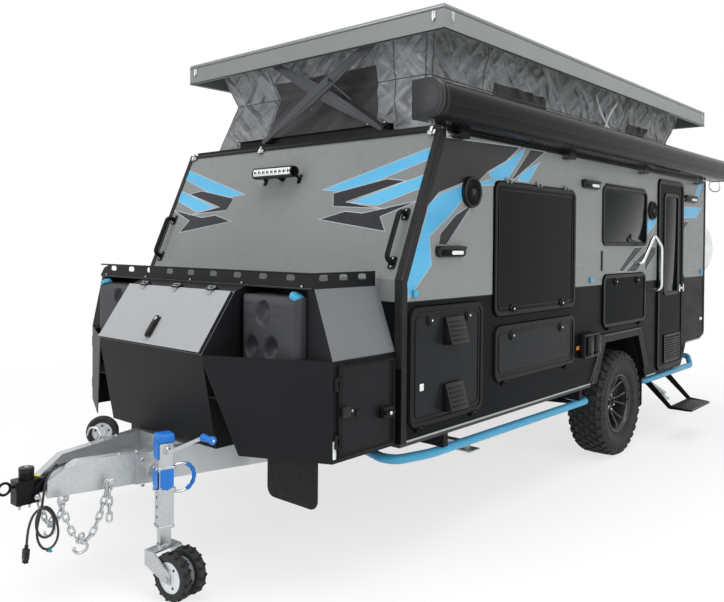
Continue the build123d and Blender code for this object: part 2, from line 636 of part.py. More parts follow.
def build_drawbar():
    """A-frame of two rails with their slanted tips and the plate between them."""
    z0, z1 = FLOOR_Z - RAIL_TALL, FLOOR_Z
    tip_x, tip_y = DRAW_TIP
    root_y = CHASSIS_Y[0]
    along, out = DRAW_ALONG, DRAW_OUT
    half = RAIL_W / 2
    rails = []
    for side in (1, -1):
        corners = []
        for end, sign in (((tip_x, tip_y), 1), ((tip_x, tip_y), -1),
                          ((DRAW_ROOT_X, root_y), -1), ((DRAW_ROOT_X, root_y), 1)):
            x = end[0] + sign * half / out.X if end[1] == root_y else end[0] + sign * half * out.X
            y = end[1] if end[1] == root_y else end[1] + sign * half * out.Y
            corners.append((side * x, y))
        rail = prism_z(corners, z0, z1)
        rail -= prism_x([(tip_y - 60, z0 + 50), (tip_y + 130, z1 + 1), (tip_y - 60, z1 + 1)],
                        -700, 700)
        rails.append(rail)
    run = (DRAW_ROOT_X - tip_x) / (root_y - tip_y)

    def inner_x(y):
        return tip_x + (y - tip_y) * run - half / out.X

    def plate(ya, yb, za, zb):
        return prism_z([(inner_x(ya), ya), (inner_x(yb), yb), (-inner_x(yb), yb), (-inner_x(ya), ya)],
                       za, zb)

    deck = plate(-1090, -700, z1 - 78, z1 - 72)
    brace = plate(-640, -590, z0, z1)
    tip = plate(-1215, -1165, z0 + 15, z0 + 90)
    save("drawbar", rails[0] + rails[1] + deck + brace + tip)

    # clamp plate and swivel boss that carry the jockey wheel
    origin = Vector(LEG_X, LEG_Y, LEG_PIVOT_Z) - out * leg_reach()
    lift = Plane(origin=origin, x_dir=along, z_dir=out)
    clamp = lift * Box(150, 150, 16, align=(Align.CENTER, Align.CENTER, Align.MIN))
    boss = lift * Cylinder(38, CLAMP_OUT, align=(Align.CENTER, Align.CENTER, Align.MIN))
    save("jockey_clamp", clamp + boss)


def build_coupling():
    """Off-road coupling head: pin housing, cap, side bolt and release ring."""
    z0 = FLOOR_Z - RAIL_TALL
    neck = box(-19, 19, -1290, -1215, z0 + 20, z0 + 84)
    head = box(-38, 38, COUPLING_Y - 42, -1290, z0 - 15, z0 + 92)
    head = fillet(head.edges().filter_by(Axis.Z), 10)
    head -= Pos(0, COUPLING_Y, z0 - 15) * Cylinder(COUPLING_PIN_R, 90,
                                                   align=(Align.CENTER, Align.CENTER, Align.MIN))
    cap = Pos(0, COUPLING_Y + 16, z0 + 92) * Cylinder(33, 50, align=(Align.CENTER, Align.CENTER, Align.MIN))
    bolt = rod((-52, COUPLING_BOLT_Y, z0 + 14), (52, COUPLING_BOLT_Y, z0 + 14), 14)
    stalk = rod((0, COUPLING_Y - 42, z0 + 66), (0, NOSE_Y + 58, z0 + 66), 6)
    ring = Pos(0, NOSE_Y + 32, z0 + 66) * Rot(0, 90, 0) * Torus(26, 6)
    save("coupling", head + neck + cap + bolt + stalk + ring)


def build_running_gear():
    """Trailing arms, hubs, air springs, tyres and rims."""
    solids = []
    for side in (1, -1):
        pivot = rod((side * (CHASSIS_X + RAIL_W / 2), SWING_Y, SWING_Z), (side * 700, SWING_Y, SWING_Z), 35)
        bar = prism_x([(SWING_Y - 20, 460), (SWING_Y - 20, 530), (AXLE_Y + 30, TYRE_R + 50),
                       (AXLE_Y + 30, TYRE_R - 50), (AXLE_Y - 60, TYRE_R - 50)], side * 620, side * 690)
        stub = rod((side * 690, AXLE_Y, TYRE_R), (side * (TYRE_X + 35), AXLE_Y, TYRE_R), STUB_R)
        spring = Pos(side * 655, AXLE_Y - 79, 0) * box(-45, 45, -45, 45, 464, FLOOR_Z - SEAT_GAP)
        spring = fillet(spring.edges().filter_by(Axis.Z), 44)
        solids += [pivot + bar + stub, spring]
        name = "left" if side > 0 else "right"
        save(f"tyre_{name}", build_tyre(side))
        save(f"rim_{name}", build_rim(side))
    save("suspension", *solids)


def build_tyre(side):
    """All-terrain tyre as a ring with rounded shoulders."""
    ring = Cylinder(TYRE_R, TYRE_W, rotation=(0, 90, 0))
    ring = fillet(ring.edges().filter_by(GeomType.CIRCLE), 45)
    ring -= Cylinder(RIM_R + 1, TYRE_W + 2, rotation=(0, 90, 0))
    return Pos(side * TYRE_X, AXLE_Y, TYRE_R) * ring


def build_rim(side):
    """Rim with six windows, which seats in the tyre and turns on the stub axle."""
    barrel = Cylinder(RIM_R + 1, TYRE_W - 50, rotation=(0, 90, 0))
    barrel -= Cylinder(RIM_R - 12, TYRE_W, rotation=(0, 90, 0))
    face = Pos(40, 0, 0) * Cylinder(RIM_R - 12, 30, rotation=(0, 90, 0))
    for turn in range(6):
        gap = Pos(40, 0, 135) * Cylinder(36, 60, rotation=(0, 90, 0))
        face -= Rot(turn * 60, 0, 0) * gap
    hub = Cylinder(75, 110, rotation=(0, 90, 0))
    rim = barrel + face + hub
    rim -= Pos(-15, 0, 0) * Cylinder(STUB_R + RUN_GAP, 110, rotation=(0, 90, 0))
    if side < 0:
        rim = mirrored(rim)
    return Pos(side * TYRE_X, AXLE_Y, TYRE_R) * rim


def build_side_rails():
    """Bent tubes that guard the lower edge of each side."""
    solids = []
    root = CHASSIS_X + RAIL_W / 2
    z = SIDE_RAIL_Z
    for side in (1, -1):
        front = pipe([(side * root, 145, z + 18), (side * 700, 145, z + 18), (side * 955, 75, z + 5),
                      (side * 1012, 360, z), (side * 1035, 2215, z), (side * 860, 2240, z + 5)],
                     [160, 90, 400, 70], SIDE_TUBE_R)
        rear = pipe([(side * 880, 3262, z), (side * 1040, 3240, z), (side * 1045, 4385, z),
                     (side * 1000, CHASSIS_Y[1] - 25, z + 72),
                     (side * REAR_TUBE_END_X, CHASSIS_Y[1] - 25, z + 72)],
                    [55, 60, 30], SIDE_TUBE_R)
        solids += [front, rear]
    save("side_rails", *solids)


def build_steadies():
    """Corner legs: the front pair is folded up, the rear pair is wound part-way down."""
    pivot_x, pivot_z = STEADY_PIVOT
    whole = box(-20, STEADY_LEN, -28, 28, -20, 20)
    whole += box(STEADY_LEN - 50, STEADY_LEN + 50, -55, 55, -28, -20)
    whole += rod((0, -37, 0), (0, 37, 0), 8)
    for end, y, drop in (("front", STEADY_Y[0], 0.0), ("rear", STEADY_Y[1], STEADY_DROP)):
        leg = Pos(pivot_x, y, pivot_z) * Rot(0, drop, 0) * whole
        save(f"steady_{end}_left", leg)
        save(f"steady_{end}_right", mirrored(leg))


# ------------------------------------------------------------------ front box and what it carries
def box_panels(shell):
    """Cut the folded shell into its panels along their inner faces."""
    panels = []
    for plane in (Plane(origin=(0, 0, BOX_BOTTOM + SHEET), z_dir=(0, 0, -1)),
                  Plane(origin=(0, 0, BOX_TOP - SHEET), z_dir=(0, 0, 1)),
                  Plane(origin=(0, -SHEET, 0), z_dir=(0, 1, 0))):
        panels += split(shell, bisect_by=plane, keep=Keep.TOP).solids()
        shell = split(shell, bisect_by=plane, keep=Keep.BOTTOM)
    folds = [Plane(origin=(x, 0, 0), z_dir=(1, 0, 0))
             for x in (-POCKET_X[1], -BOX_NOSE_X, BOX_NOSE_X, POCKET_X[1])]
    folds.append(Plane(origin=(0, POCKET_BACK_Y + SHEET, 0), z_dir=(0, 1, 0)))
    folds.append(Plane(origin=(0, 0, BOX_LEDGE), z_dir=(0, 0, 1)))
    rest = shell.solids()
    for plane in folds:
        halves = [split(panel, bisect_by=plane, keep=Keep.BOTH) for panel in rest]
        rest = [panel for half in halves for panel in half.solids()]
    return panels + rest


def build_front_box():
    """Folded sheet box on the drawbar, with can pockets and a nose locker."""
    plan = [(-BOX_SIDE_X, 0), (-BOX_SIDE_X, BOX_CORNER_Y), (-BOX_NOSE_X, BOX_FRONT_Y),
            (BOX_NOSE_X, BOX_FRONT_Y), (BOX_SIDE_X, BOX_CORNER_Y), (BOX_SIDE_X, 0)]
    base = prism_z(plan, BOX_BOTTOM, BOX_LEDGE)
    nose_yz = [(0, BOX_LEDGE), (BOX_FRONT_Y, BOX_LEDGE), (LID_TOP_Y, LID_TOP_Z),
               (DECK_FRONT_Y, BOX_TOP), (0, BOX_TOP)]
    nose = prism_x(nose_yz, -BOX_NOSE_X, BOX_NOSE_X)
    back = box(-POCKET_X[1], POCKET_X[1], POCKET_BACK_Y, 0, BOX_LEDGE, BOX_TOP)
    shell = base + nose + back
    inner_nose = prism_x([(-SHEET, BOX_BOTTOM + SHEET), (BOX_FRONT_Y + 90, BOX_BOTTOM + SHEET),
                          (BOX_FRONT_Y + SHEET, BOX_LEDGE), (LID_TOP_Y + SHEET, LID_TOP_Z - SHEET),
                          (DECK_FRONT_Y + SHEET, BOX_TOP - SHEET), (-SHEET, BOX_TOP - SHEET)],
                         -BOX_NOSE_X + SHEET, BOX_NOSE_X - SHEET)
    shell -= inner_nose
    # the lower front leans back under the nose
    shell -= prism_x([(BOX_FRONT_Y - 1, BOX_LEDGE), (BOX_FRONT_Y - 1, BOX_BOTTOM - 1),
                      (BOX_FRONT_Y + 86, BOX_BOTTOM - 1)], -BOX_SIDE_X, BOX_SIDE_X)
    lid_slope = Vector(0, BOX_FRONT_Y - LID_TOP_Y, BOX_LEDGE - LID_TOP_Z)
    shell -= prism_x([(BOX_FRONT_Y + 20, BOX_LEDGE + 10), (LID_TOP_Y - 20, LID_TOP_Z - 45),
                      (LID_TOP_Y + 30, LID_TOP_Z - 80), (BOX_FRONT_Y + 70, BOX_LEDGE - 25)],
                     -BOX_NOSE_X + 40, BOX_NOSE_X - 40)
    for side in (1, -1):
        wing = prism_y([(side * POCKET_X[1], BOX_LEDGE), (side * BOX_SIDE_X, BOX_LEDGE),
                        (side * BOX_TOP_X, BOX_TOP), (side * POCKET_X[1], BOX_TOP)], BOX_CORNER_Y, 0)
        shell += wing
        deck = box(side * BOX_NOSE_X, side * POCKET_X[1], DECK_FRONT_Y, 0, BOX_TOP - SHEET, BOX_TOP)
        shell += deck
        room = prism_y([(side * (POCKET_X[1] + SHEET), BOX_BOTTOM + SHEET),
                        (side * (BOX_SIDE_X - SHEET), BOX_BOTTOM + SHEET),
                        (side * (BOX_SIDE_X - SHEET), BOX_LEDGE),
                        (side * (BOX_TOP_X - SHEET), BOX_TOP - SHEET),
                        (side * (POCKET_X[1] + SHEET), BOX_TOP - SHEET)],
                       BOX_CORNER_Y + SHEET, -SHEET)
        shell -= room
        slope = (BOX_CORNER_Y - BOX_FRONT_Y) / (BOX_SIDE_X - BOX_NOSE_X)
        p0, p1 = POCKET_X
        pocket = [(side * p0, POCKET_BACK_Y), (side * p1, POCKET_BACK_Y),
                  (side * p1, BOX_FRONT_Y + (p1 - BOX_NOSE_X) * slope + SHEET * 1.2),
                  (side * p0, BOX_FRONT_Y + (p0 - BOX_NOSE_X) * slope + SHEET * 1.2)]
        shell -= prism_z(pocket, POCKET_FLOOR, BOX_LEDGE + 1)
        shell -= prism_z(pocket, BOX_BOTTOM - 1, POCKET_FLOOR - SHEET)
        store = box(side * (BOX_NOSE_X - 2 * SHEET), side * p1, POCKET_BACK_Y + SHEET, -SHEET,
                    BOX_BOTTOM + SHEET, BOX_TOP - SHEET)
        shell -= store
        door_hole = box(side * (BOX_SIDE_X - 2 * SHEET), side * (BOX_SIDE_X + 1), BOX_CORNER_Y + 50, -60,
                        BOX_BOTTOM + 40, BOX_LEDGE - 40)
        shell -= door_hole
    fence = box(-BOX_TOP_X, BOX_TOP_X, DECK_FRONT_Y, DECK_FRONT_Y + 3, BOX_TOP, BOX_TOP + 75)
    fence += box(BOX_TOP_X - 3, BOX_TOP_X, DECK_FRONT_Y, -12, BOX_TOP, BOX_TOP + 75)
    fence -= prism_y([(-BOX_TOP_X - 1, BOX_TOP + 8), (-BOX_TOP_X - 1, BOX_TOP + 76),
                      (-BOX_TOP_X + 120, BOX_TOP + 76), (-BOX_TOP_X + 40, BOX_TOP + 52)],
                     DECK_FRONT_Y - 1, DECK_FRONT_Y + 4)
    slot = box(-30, 30, DECK_FRONT_Y - 2, DECK_FRONT_Y + 5, BOX_TOP + 36, BOX_TOP + 64)
    slot = fillet(slot.edges().filter_by(Axis.Y), 13)
    for step in range(9):
        fence -= Pos(-780 + step * 195, 0, 0) * slot
    side_slot = box(BOX_TOP_X - 5, BOX_TOP_X + 2, -30, 30, BOX_TOP + 36, BOX_TOP + 64)
    side_slot = fillet(side_slot.edges().filter_by(Axis.X), 13)
    for y in (-380.0, -245.0, -110.0):
        fence -= Pos(0, y, 0) * side_slot

    unit = lid_slope.normalized()
    lid_plane = Plane(origin=(0, LID_TOP_Y, LID_TOP_Z), x_dir=(-1, 0, 0),
                      z_dir=Vector(-1, 0, 0).cross(unit))
    lid_len = lid_slope.length - 14
    half_lid = BOX_NOSE_X - 6
    lid = Box(2 * half_lid, lid_len, LID_T, align=(Align.CENTER, Align.MIN, Align.MIN))
    latch = Pos(0, lid_len - 95, LID_T) * Box(34, 120, 10, align=(Align.CENTER, Align.CENTER, Align.MIN))
    lid = lid_plane * (Pos(0, LID_EDGE, SEAT_GAP) * (lid + latch))
    stand = (LID_HINGE[1], LID_HINGE[1] - LID_T - SEAT_GAP)
    for x in LID_HINGE_X:
        pivot = lid_plane.from_local_coords(Vector(x, *LID_HINGE))
        fixed, moving = hinge(pivot, Vector(1, 0, 0), unit, lid_plane.z_dir, stand)
        shell += fixed
        lid += moving
    save("box_lid", lid)

    door_x = BOX_SIDE_X + SEAT_GAP
    hinge_x, hinge_y = BOX_DOOR_HINGE
    stand = (hinge_x - BOX_SIDE_X, hinge_x - door_x - BOX_DOOR_T)
    for side, name in ((1, "left"), (-1, "right")):
        face_x = door_x + BOX_DOOR_T
        door = box(side * door_x, side * face_x, *BOX_DOOR_Y, BOX_BOTTOM + 18, BOX_LEDGE - 18)
        lock = box(side * face_x, side * (face_x + 6), -300, -270, 815, 845)
        turn = box(side * face_x, side * (face_x + 32), -130, -60, 780, 830)
        door += lock + turn
        for z in BOX_DOOR_HINGE_Z:
            fixed, moving = hinge(Vector(side * hinge_x, hinge_y, z), Vector(0, 0, 1),
                                  Vector(0, 1, 0), Vector(side, 0, 0), stand)
            shell += fixed
            door += moving
        save(f"box_door_{name}", door)
    save("front_box", *box_panels(shell), fence)


def build_cans():
    """A water can in each pocket."""
    width, deep, tall = CAN
    solids = []
    for side in (1, -1):
        x0 = POCKET_X[0] + 12
        y1 = POCKET_BACK_Y - 35
        can = box(x0, x0 + width, y1 - deep, y1, POCKET_FLOOR + SEAT_GAP, POCKET_FLOOR + tall)
        can = fillet(can.edges(), 24)
        for dx, dz in ((165, 400), (85, 228), (228, 228)):
            can -= Pos(x0 + dx, y1 - deep, POCKET_FLOOR + dz) * Rot(90, 0, 0) * Cylinder(34, 30)
        neck = Pos(x0 + width - 40, y1 - deep / 2 - 20, POCKET_FLOOR + tall - 14) * Rot(0, 25, 0)
        spout = neck * Cylinder(22, 30, align=(Align.CENTER, Align.CENTER, Align.MIN))
        body = can + spout
        solids.append(body if side > 0 else mirrored(body))
    save("water_cans", *solids)


# ------------------------------------------------------------------ jockey wheel
def build_jockey():
    """Leg with crank, inner tube, swivelling fork and twin wheels."""
    turned = Pos(LEG_X, LEG_Y, 0) * Rot(0, 0, -degrees(JOCKEY_TURN))
    z0, z1 = LEG_OUT_Z
    half = LEG_OUT / 2
    outer = box(-half, half, -half, half, z0, z1)
    bore = LEG_IN / 2 + SEAT_GAP
    outer -= box(-bore, bore, -bore, bore, z0 - 1, z1 - 15)
    arm = box(CLAMP_OUT + SEAT_GAP - leg_reach(), -half, -28, 28, LEG_PIVOT_Z - 45, LEG_PIVOT_Z + 45)
    cap = box(-half - 3, half + 3, -half - 3, half + 3, z1, z1 + 45)
    crank = rod((half, 0, z1 - 30), (half + 40, 0, z1 - 30), 9)
    crank += rod((half + 34, 0, z1 - 30), (half + 60, 150, z1 + 22), 9)
    grip = rod((half + 60, 150, z1 + 22), (half + 150, 165, z1 + 24), 19)
    loop = Pos(0, half + 42, LEG_PIVOT_Z - 10) * Rot(0, 90, 0) * Torus(66, 11)
    loop -= box(-200, 200, -200, half, 300, 700)
    save("jockey_leg", turned * (outer + arm + cap + crank + grip + loop))

    tube_half = LEG_IN / 2
    inner = box(-tube_half, tube_half, -tube_half, tube_half, FORK_TOP + 15, z1 - 90)
    save("jockey_tube", turned * inner)

    swivelled = Pos(LEG_X, LEG_Y, 0) * Rot(0, 0, -degrees(FORK_TURN))
    head = Pos(0, 0, FORK_TOP) * Cylinder(34, 15 - SEAT_GAP, align=(Align.CENTER, Align.CENTER, Align.MIN))
    plate = prism_y([(-40, FORK_TOP), (25, FORK_TOP), (LEG_TRAIL + 22, JOCKEY_R + 20),
                     (LEG_TRAIL + 16, JOCKEY_R - 22), (LEG_TRAIL - 20, JOCKEY_R - 20), (-40, 140)], -3, 3)
    outer_y = JOCKEY_TRACK / 2 + JOCKEY_W / 2 + 8
    fork = head + box(-40, 25, -outer_y, outer_y, FORK_TOP - 8, FORK_TOP)
    for side in (1, -1):
        fork += Pos(0, side * outer_y, 0) * plate
    fork += rod((LEG_TRAIL, -outer_y, JOCKEY_R), (LEG_TRAIL, outer_y, JOCKEY_R), 8)
    save("jockey_fork", swivelled * fork)

    wheels = rod((LEG_TRAIL, -28, JOCKEY_R), (LEG_TRAIL, 28, JOCKEY_R), 22)
    for side in (1, -1):
        y = side * JOCKEY_TRACK / 2
        tyre = Pos(LEG_TRAIL, y, JOCKEY_R) * Cylinder(JOCKEY_R, JOCKEY_W, rotation=(90, 0, 0))
        wheels += fillet(tyre.edges().filter_by(GeomType.CIRCLE), 12)
    wheels -= rod((LEG_TRAIL, -200, JOCKEY_R), (LEG_TRAIL, 200, JOCKEY_R), 8 + RUN_GAP)
    save("jockey_wheels", swivelled * wheels)


# ------------------------------------------------------------------ smaller fixed parts
def build_fittings():
    """Handles, lamps, speakers, sockets, flaps, tank, awning and spare wheels."""
    grab = pipe([(HALF_W, 2890, 1475), (HALF_W + 70, 2890, 1475), (HALF_W + 70, 3130, 1690),
                 (HALF_W + 70, 3290, 1600), (HALF_W + 70, 3290, 1250), (HALF_W, 3290, 1250)],
                [25, 45, 60, 40], 14)
    save("grab_handle", grab)

    shapes = []
    for y, z, radius in ((594, 1895, 86), (3244, 1891, 75)):
        shapes.append(Pos(HALF_W, y, z) * Rot(0, 90, 0) * Cylinder(radius, 30, align=(
            Align.CENTER, Align.CENTER, Align.MIN)))
    for y, z, width in ((400, 1573, 260), (2090, 2030, 270), (4166, 2030, 300)):
        lamp = box(HALF_W, HALF_W + 30, y - width / 2, y + width / 2, z - 30, z + 30)
        shapes.append(fillet(lamp.edges().filter_by(Axis.X), 24))
    shapes.append(box(HALF_W, HALF_W + 70, 1944, 2184, 835, 1000))
    shapes.append(box(HALF_W, HALF_W + 8, 2288, 2312, 1423, 1569))
    for y in (97, 2111, 4493):
        shapes.append(box(HALF_W, HALF_W + 22, y - 20, y + 20, 1345, 1385))
    for side in (1, -1):
        shapes.append(box(side * 930, side * 1040, BODY_LEN, BODY_LEN + 35, 880, 1140))
    save("side_fittings", *shapes)

    handles = []
    for side in (1, -1):
        low, high = on_slope(side * 1005, 1515, 0), on_slope(side * 1005, 1760, 0)
        low_out, high_out = on_slope(side * 1005, 1515, 58), on_slope(side * 1005, 1760, 58)
        handles.append(pipe([low, low_out, high_out, high], [30, 30], 13))
    foot_a, foot_b = on_slope(-25, 2000, 0), on_slope(-25, 2000, 48)
    bar = rod(foot_a, foot_b, 20) + rod((-200, foot_b[1] - 26, foot_b[2] + 12),
                                        (150, foot_b[1] - 26, foot_b[2] + 12), 32)
    save("slope_fittings", *handles, bar)

    z0 = FLOOR_Z
    flaps = []
    for side in (1, -1):
        flap = box(side * 460, side * 820, -303, -297, 315, BOX_BOTTOM - SEAT_GAP)
        flaps.append(fillet(flap.edges().filter_by(Axis.Y).group_by(Axis.Z)[0], 50))
        rear = box(side * 830, side * 1055, 3178, 3184, 300, z0 - SEAT_GAP)
        flaps.append(fillet(rear.edges().filter_by(Axis.Y).group_by(Axis.Z)[0], 30))
    save("mud_flaps", *flaps)

    save("water_tank", box(-440, 440, 1080, 1860, z0 - 130, z0 - SEAT_GAP))

    y0, y1 = AWNING_Y
    x0, x1 = AWNING_IN_X, AWNING_IN_X + AWNING_W
    case = box(x0, x1, y0 + 25, y1 - 25, *AWNING_Z)
    case = fillet(case.edges().filter_by(Axis.Y).group_by(Axis.X)[-1], 80)
    hollow = box(x0 + SHEET, x1 - SHEET, y0, y1, AWNING_Z[0] + SHEET, AWNING_Z[1] - SHEET)
    case -= fillet(hollow.edges().filter_by(Axis.Y).group_by(Axis.X)[-1], 80 - SHEET)
    caps = []
    for ya, yb in ((y0, y0 + 25), (y1 - 25, y1)):
        cap = box(x0, x1, ya, yb, *AWNING_Z)
        caps.append(fillet(cap.edges().filter_by(Axis.Y).group_by(Axis.X)[-1], 80))
    tabs = [box(HALF_W, x0 + 40, y - 45, y + 45, 2170, 2170 + 6)
            + box(x0 + 34, x0 + 40, y - 45, y + 45, 2170, AWNING_Z[0])
            for y in (459, 1716, 2993, 4300)]
    save("awning", case, *caps, *tabs)

    spares = []
    for side in (1, -1):
        cover = Cylinder(TYRE_R, SPARE_W, rotation=(90, 0, 0))
        cover = fillet(cover.edges().filter_by(GeomType.CIRCLE), 40)
        spares.append(Pos(side * SPARE_X, BODY_LEN + 60 + SPARE_W / 2, SPARE_Z) * cover)
        spares.append(box(side * SPARE_X - 90, side * SPARE_X + 90, BODY_LEN, BODY_LEN + 60,
                          SPARE_Z - 90, SPARE_Z + 90))
    save("spare_wheels", *spares)


def build_step():
    """Fold-out step under the entry door."""
    y0, y1 = STEP_Y
    hinge_x, hinge_z = STEP_PIVOT
    step = box(STEP_OUT_X - 180, STEP_OUT_X, y0 + 8, y1 - 8, 262, 280)
    side_plate = [(hinge_x - 25, hinge_z - 10), (hinge_x - 25, hinge_z + 20), (hinge_x + 25, hinge_z + 20),
                  (STEP_OUT_X - 160, 290), (STEP_OUT_X - 20, 280), (STEP_OUT_X - 20, 262),
                  (STEP_OUT_X - 180, 262), (hinge_x + 25, 430)]
    for y in (y0, y1 - 8):
        step += prism_y(side_plate, y, y + 8)
    step += rod((hinge_x, y0 - 14, hinge_z), (hinge_x, y1 + 14, hinge_z), 10)
    save("entry_step", step)


def chain_link():
    """One welded link, long side along X, lying flat."""
    half_len = (LINK_PITCH + LINK_WIRE + SEAT_GAP) / 2
    half_wide = LINK_WIDE / 2
    straight = half_len - half_wide
    path = Wire([Edge.make_line((-straight, -half_wide), (straight, -half_wide)),
                 Edge.make_three_point_arc((straight, -half_wide), (half_len, 0), (straight, half_wide)),
                 Edge.make_line((straight, half_wide), (-straight, half_wide)),
                 Edge.make_three_point_arc((-straight, half_wide), (-half_len, 0), (-straight, -half_wide))])
    profile = Plane(origin=(-straight, -half_wide, 0), z_dir=(1, 0, 0)) * Circle(LINK_WIRE / 2)
    return sweep(profile, path=path)


def hanging_links(start, end, sag):
    """Points one pitch apart along a hanging chain, for an odd number of links."""
    a, b = Vector(*start), Vector(*end)

    def at(t):
        return a + (b - a) * t - Vector(0, 0, 4 * sag * t * (1 - t))

    spots, reached = [a], 0.0
    while (at(min(reached + 0.5, 1.0)) - spots[-1]).length >= LINK_PITCH:
        low, high = reached, min(reached + 0.5, 1.0)
        for _ in range(30):
            middle = (low + high) / 2
            if (at(middle) - spots[-1]).length < LINK_PITCH:
                low = middle
            else:
                high = middle
        reached = low
        spots.append(at(reached))
    return spots if len(spots) % 2 == 0 else spots[:-1]


def build_chains():
    """Safety chains: each hangs between two studs on a drawbar rail, with a loose tail."""
    link = chain_link()
    near = []
    spots = hanging_links(CHAIN_START, CHAIN_HOOK, CHAIN_SAG)
    grip = STUD_R + SEAT_GAP / 2
    first = spots[0] + (spots[1] - spots[0]).normalized() * grip
    last = spots[-1] + (spots[-2] - spots[-1]).normalized() * grip
    for centre, reach in ((first, 14), (last, TAIL_OUT + 14)):
        near.append(rod(rail_face(centre), centre + DRAW_OUT * reach, STUD_R))
    tail_top = last + DRAW_OUT * TAIL_OUT + Vector(0, 0, grip)
    tail = [tail_top - Vector(0, 0, LINK_PITCH * step) for step in range(TAIL_LINKS + 1)]
    for run in (spots, tail):
        for count, (a, b) in enumerate(zip(run, run[1:])):
            along = (b - a).normalized()
            side_on = (DRAW_OUT - along * DRAW_OUT.dot(along)).normalized()
            normal = along.cross(side_on) if count % 2 else side_on
            near.append(Plane(origin=(a + b) / 2, x_dir=along, z_dir=normal) * link)
    save("safety_chains", *near, *[mirrored(piece) for piece in near])


def build_cable():
    """Trailer cable along the drawbar, hanging in two loops from the coupling, and its plug."""
    radii = []
    for before, corner, after in zip(CABLE_ROUTE, CABLE_ROUTE[1:], CABLE_ROUTE[2:]):
        a, b = Vector(*corner) - Vector(*before), Vector(*after) - Vector(*corner)
        turn = radians(a.get_angle(b))
        radii.append(0.45 * min(a.length, b.length) / tan(turn / 2))
    cable = pipe(CABLE_ROUTE, radii, CABLE_D / 2)
    path = FilletPolyline(*CABLE_ROUTE, radius=radii)
    print("cable length", round(path.length), "smallest radius", round(min(radii)),
          "volume ratio", round(cable.volume / (pi * CABLE_D ** 2 / 4 * path.length), 4))
    save("trailer_cable", cable)
    end, before = Vector(*CABLE_ROUTE[-1]), Vector(*CABLE_ROUTE[-2])
    plane = Plane(origin=end, z_dir=end - before)
    boot = extrude(plane * Circle(9), amount=16)
    body = plane.offset(16) * Box(34, 24, 62, align=(Align.CENTER, Align.CENTER, Align.MIN))
    body = fillet(body.edges(), 3)
    save("cable_plug", boot + body)


build_walls()
build_windows()
build_arches()
build_lockers()
build_hatches()
build_roof()
build_canvas()
build_scissors()
build_chassis()
build_drawbar()
build_coupling()
build_running_gear()
build_side_rails()
build_steadies()
build_front_box()
build_cans()
build_jockey()
build_fittings()
build_step()
build_chains()
build_cable()
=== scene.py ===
"""Pop-top caravan: finishes, trims and moving details around the caravan's frame.

Sizes are in metres. Every shape is worked out with x from the caravan's centreline (+x is the side
with the entry door), y from the foot of the front wall (+y is the rear) and z from the ground, and
is then moved by ORIGIN into the shared frame.
"""
import json
import logging
from dataclasses import dataclass, replace
from enum import Enum
from functools import lru_cache
from math import cos, hypot, pi, radians, sin

import bpy
import numpy as np
from mathutils import Matrix, Vector

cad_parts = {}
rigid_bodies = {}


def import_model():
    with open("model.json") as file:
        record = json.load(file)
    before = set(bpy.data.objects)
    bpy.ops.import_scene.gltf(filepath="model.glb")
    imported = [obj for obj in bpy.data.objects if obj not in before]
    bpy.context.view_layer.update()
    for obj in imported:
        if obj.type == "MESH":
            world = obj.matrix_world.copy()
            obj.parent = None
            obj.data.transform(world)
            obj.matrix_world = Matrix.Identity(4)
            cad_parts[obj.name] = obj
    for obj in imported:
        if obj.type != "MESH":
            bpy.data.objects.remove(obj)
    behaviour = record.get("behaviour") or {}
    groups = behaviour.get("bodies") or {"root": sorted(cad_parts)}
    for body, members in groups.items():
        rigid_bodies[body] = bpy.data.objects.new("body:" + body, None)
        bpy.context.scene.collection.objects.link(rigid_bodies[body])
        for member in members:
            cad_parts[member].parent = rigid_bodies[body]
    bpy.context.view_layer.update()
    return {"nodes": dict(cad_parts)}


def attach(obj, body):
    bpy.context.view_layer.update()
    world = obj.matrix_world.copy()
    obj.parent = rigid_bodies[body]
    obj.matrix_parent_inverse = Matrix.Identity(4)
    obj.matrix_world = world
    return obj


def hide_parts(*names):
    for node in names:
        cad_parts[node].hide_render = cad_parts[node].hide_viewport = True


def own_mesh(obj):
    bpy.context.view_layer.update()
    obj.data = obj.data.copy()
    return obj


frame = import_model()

ORIGIN = np.array([0.124, 1.727, 0.0])
HALF_W = 1.090
KNEE_Z = 1.436
BODY_TOP = 2.220
SLOPE_BACK = 0.336
BODY_LEN = 4.615
PANEL_FACE = HALF_W + 0.008
SPLIT_Z = 1.322

Array = np.ndarray
log = logging.getLogger("caravan")


class Side(Enum):
    """The two long sides of the caravan, as the sign of x."""

    NEAR = 1.0
    FAR = -1.0


# ---------------------------------------------------------------------------------------- shapes
@dataclass
class Skin:
    """A surface: its points as an (n, 3) array and its faces as lists of point numbers."""

    points: Array
    faces: list
    closed: bool = True

    def outward(self) -> "Skin":
        """Turn a closed skin's faces round if they enclose a negative volume.

        Returns:
            The skin itself.
        """
        if self.closed:
            fans = [(f[0], f[i], f[i + 1]) for f in self.faces for i in range(1, len(f) - 1)]
            tri = self.points[np.array(fans)]
            volume = np.einsum("ij,ij->i", tri[:, 0], np.cross(tri[:, 1], tri[:, 2])).sum()
            if volume < 0:
                self.faces = [f[::-1] for f in self.faces]
        return self


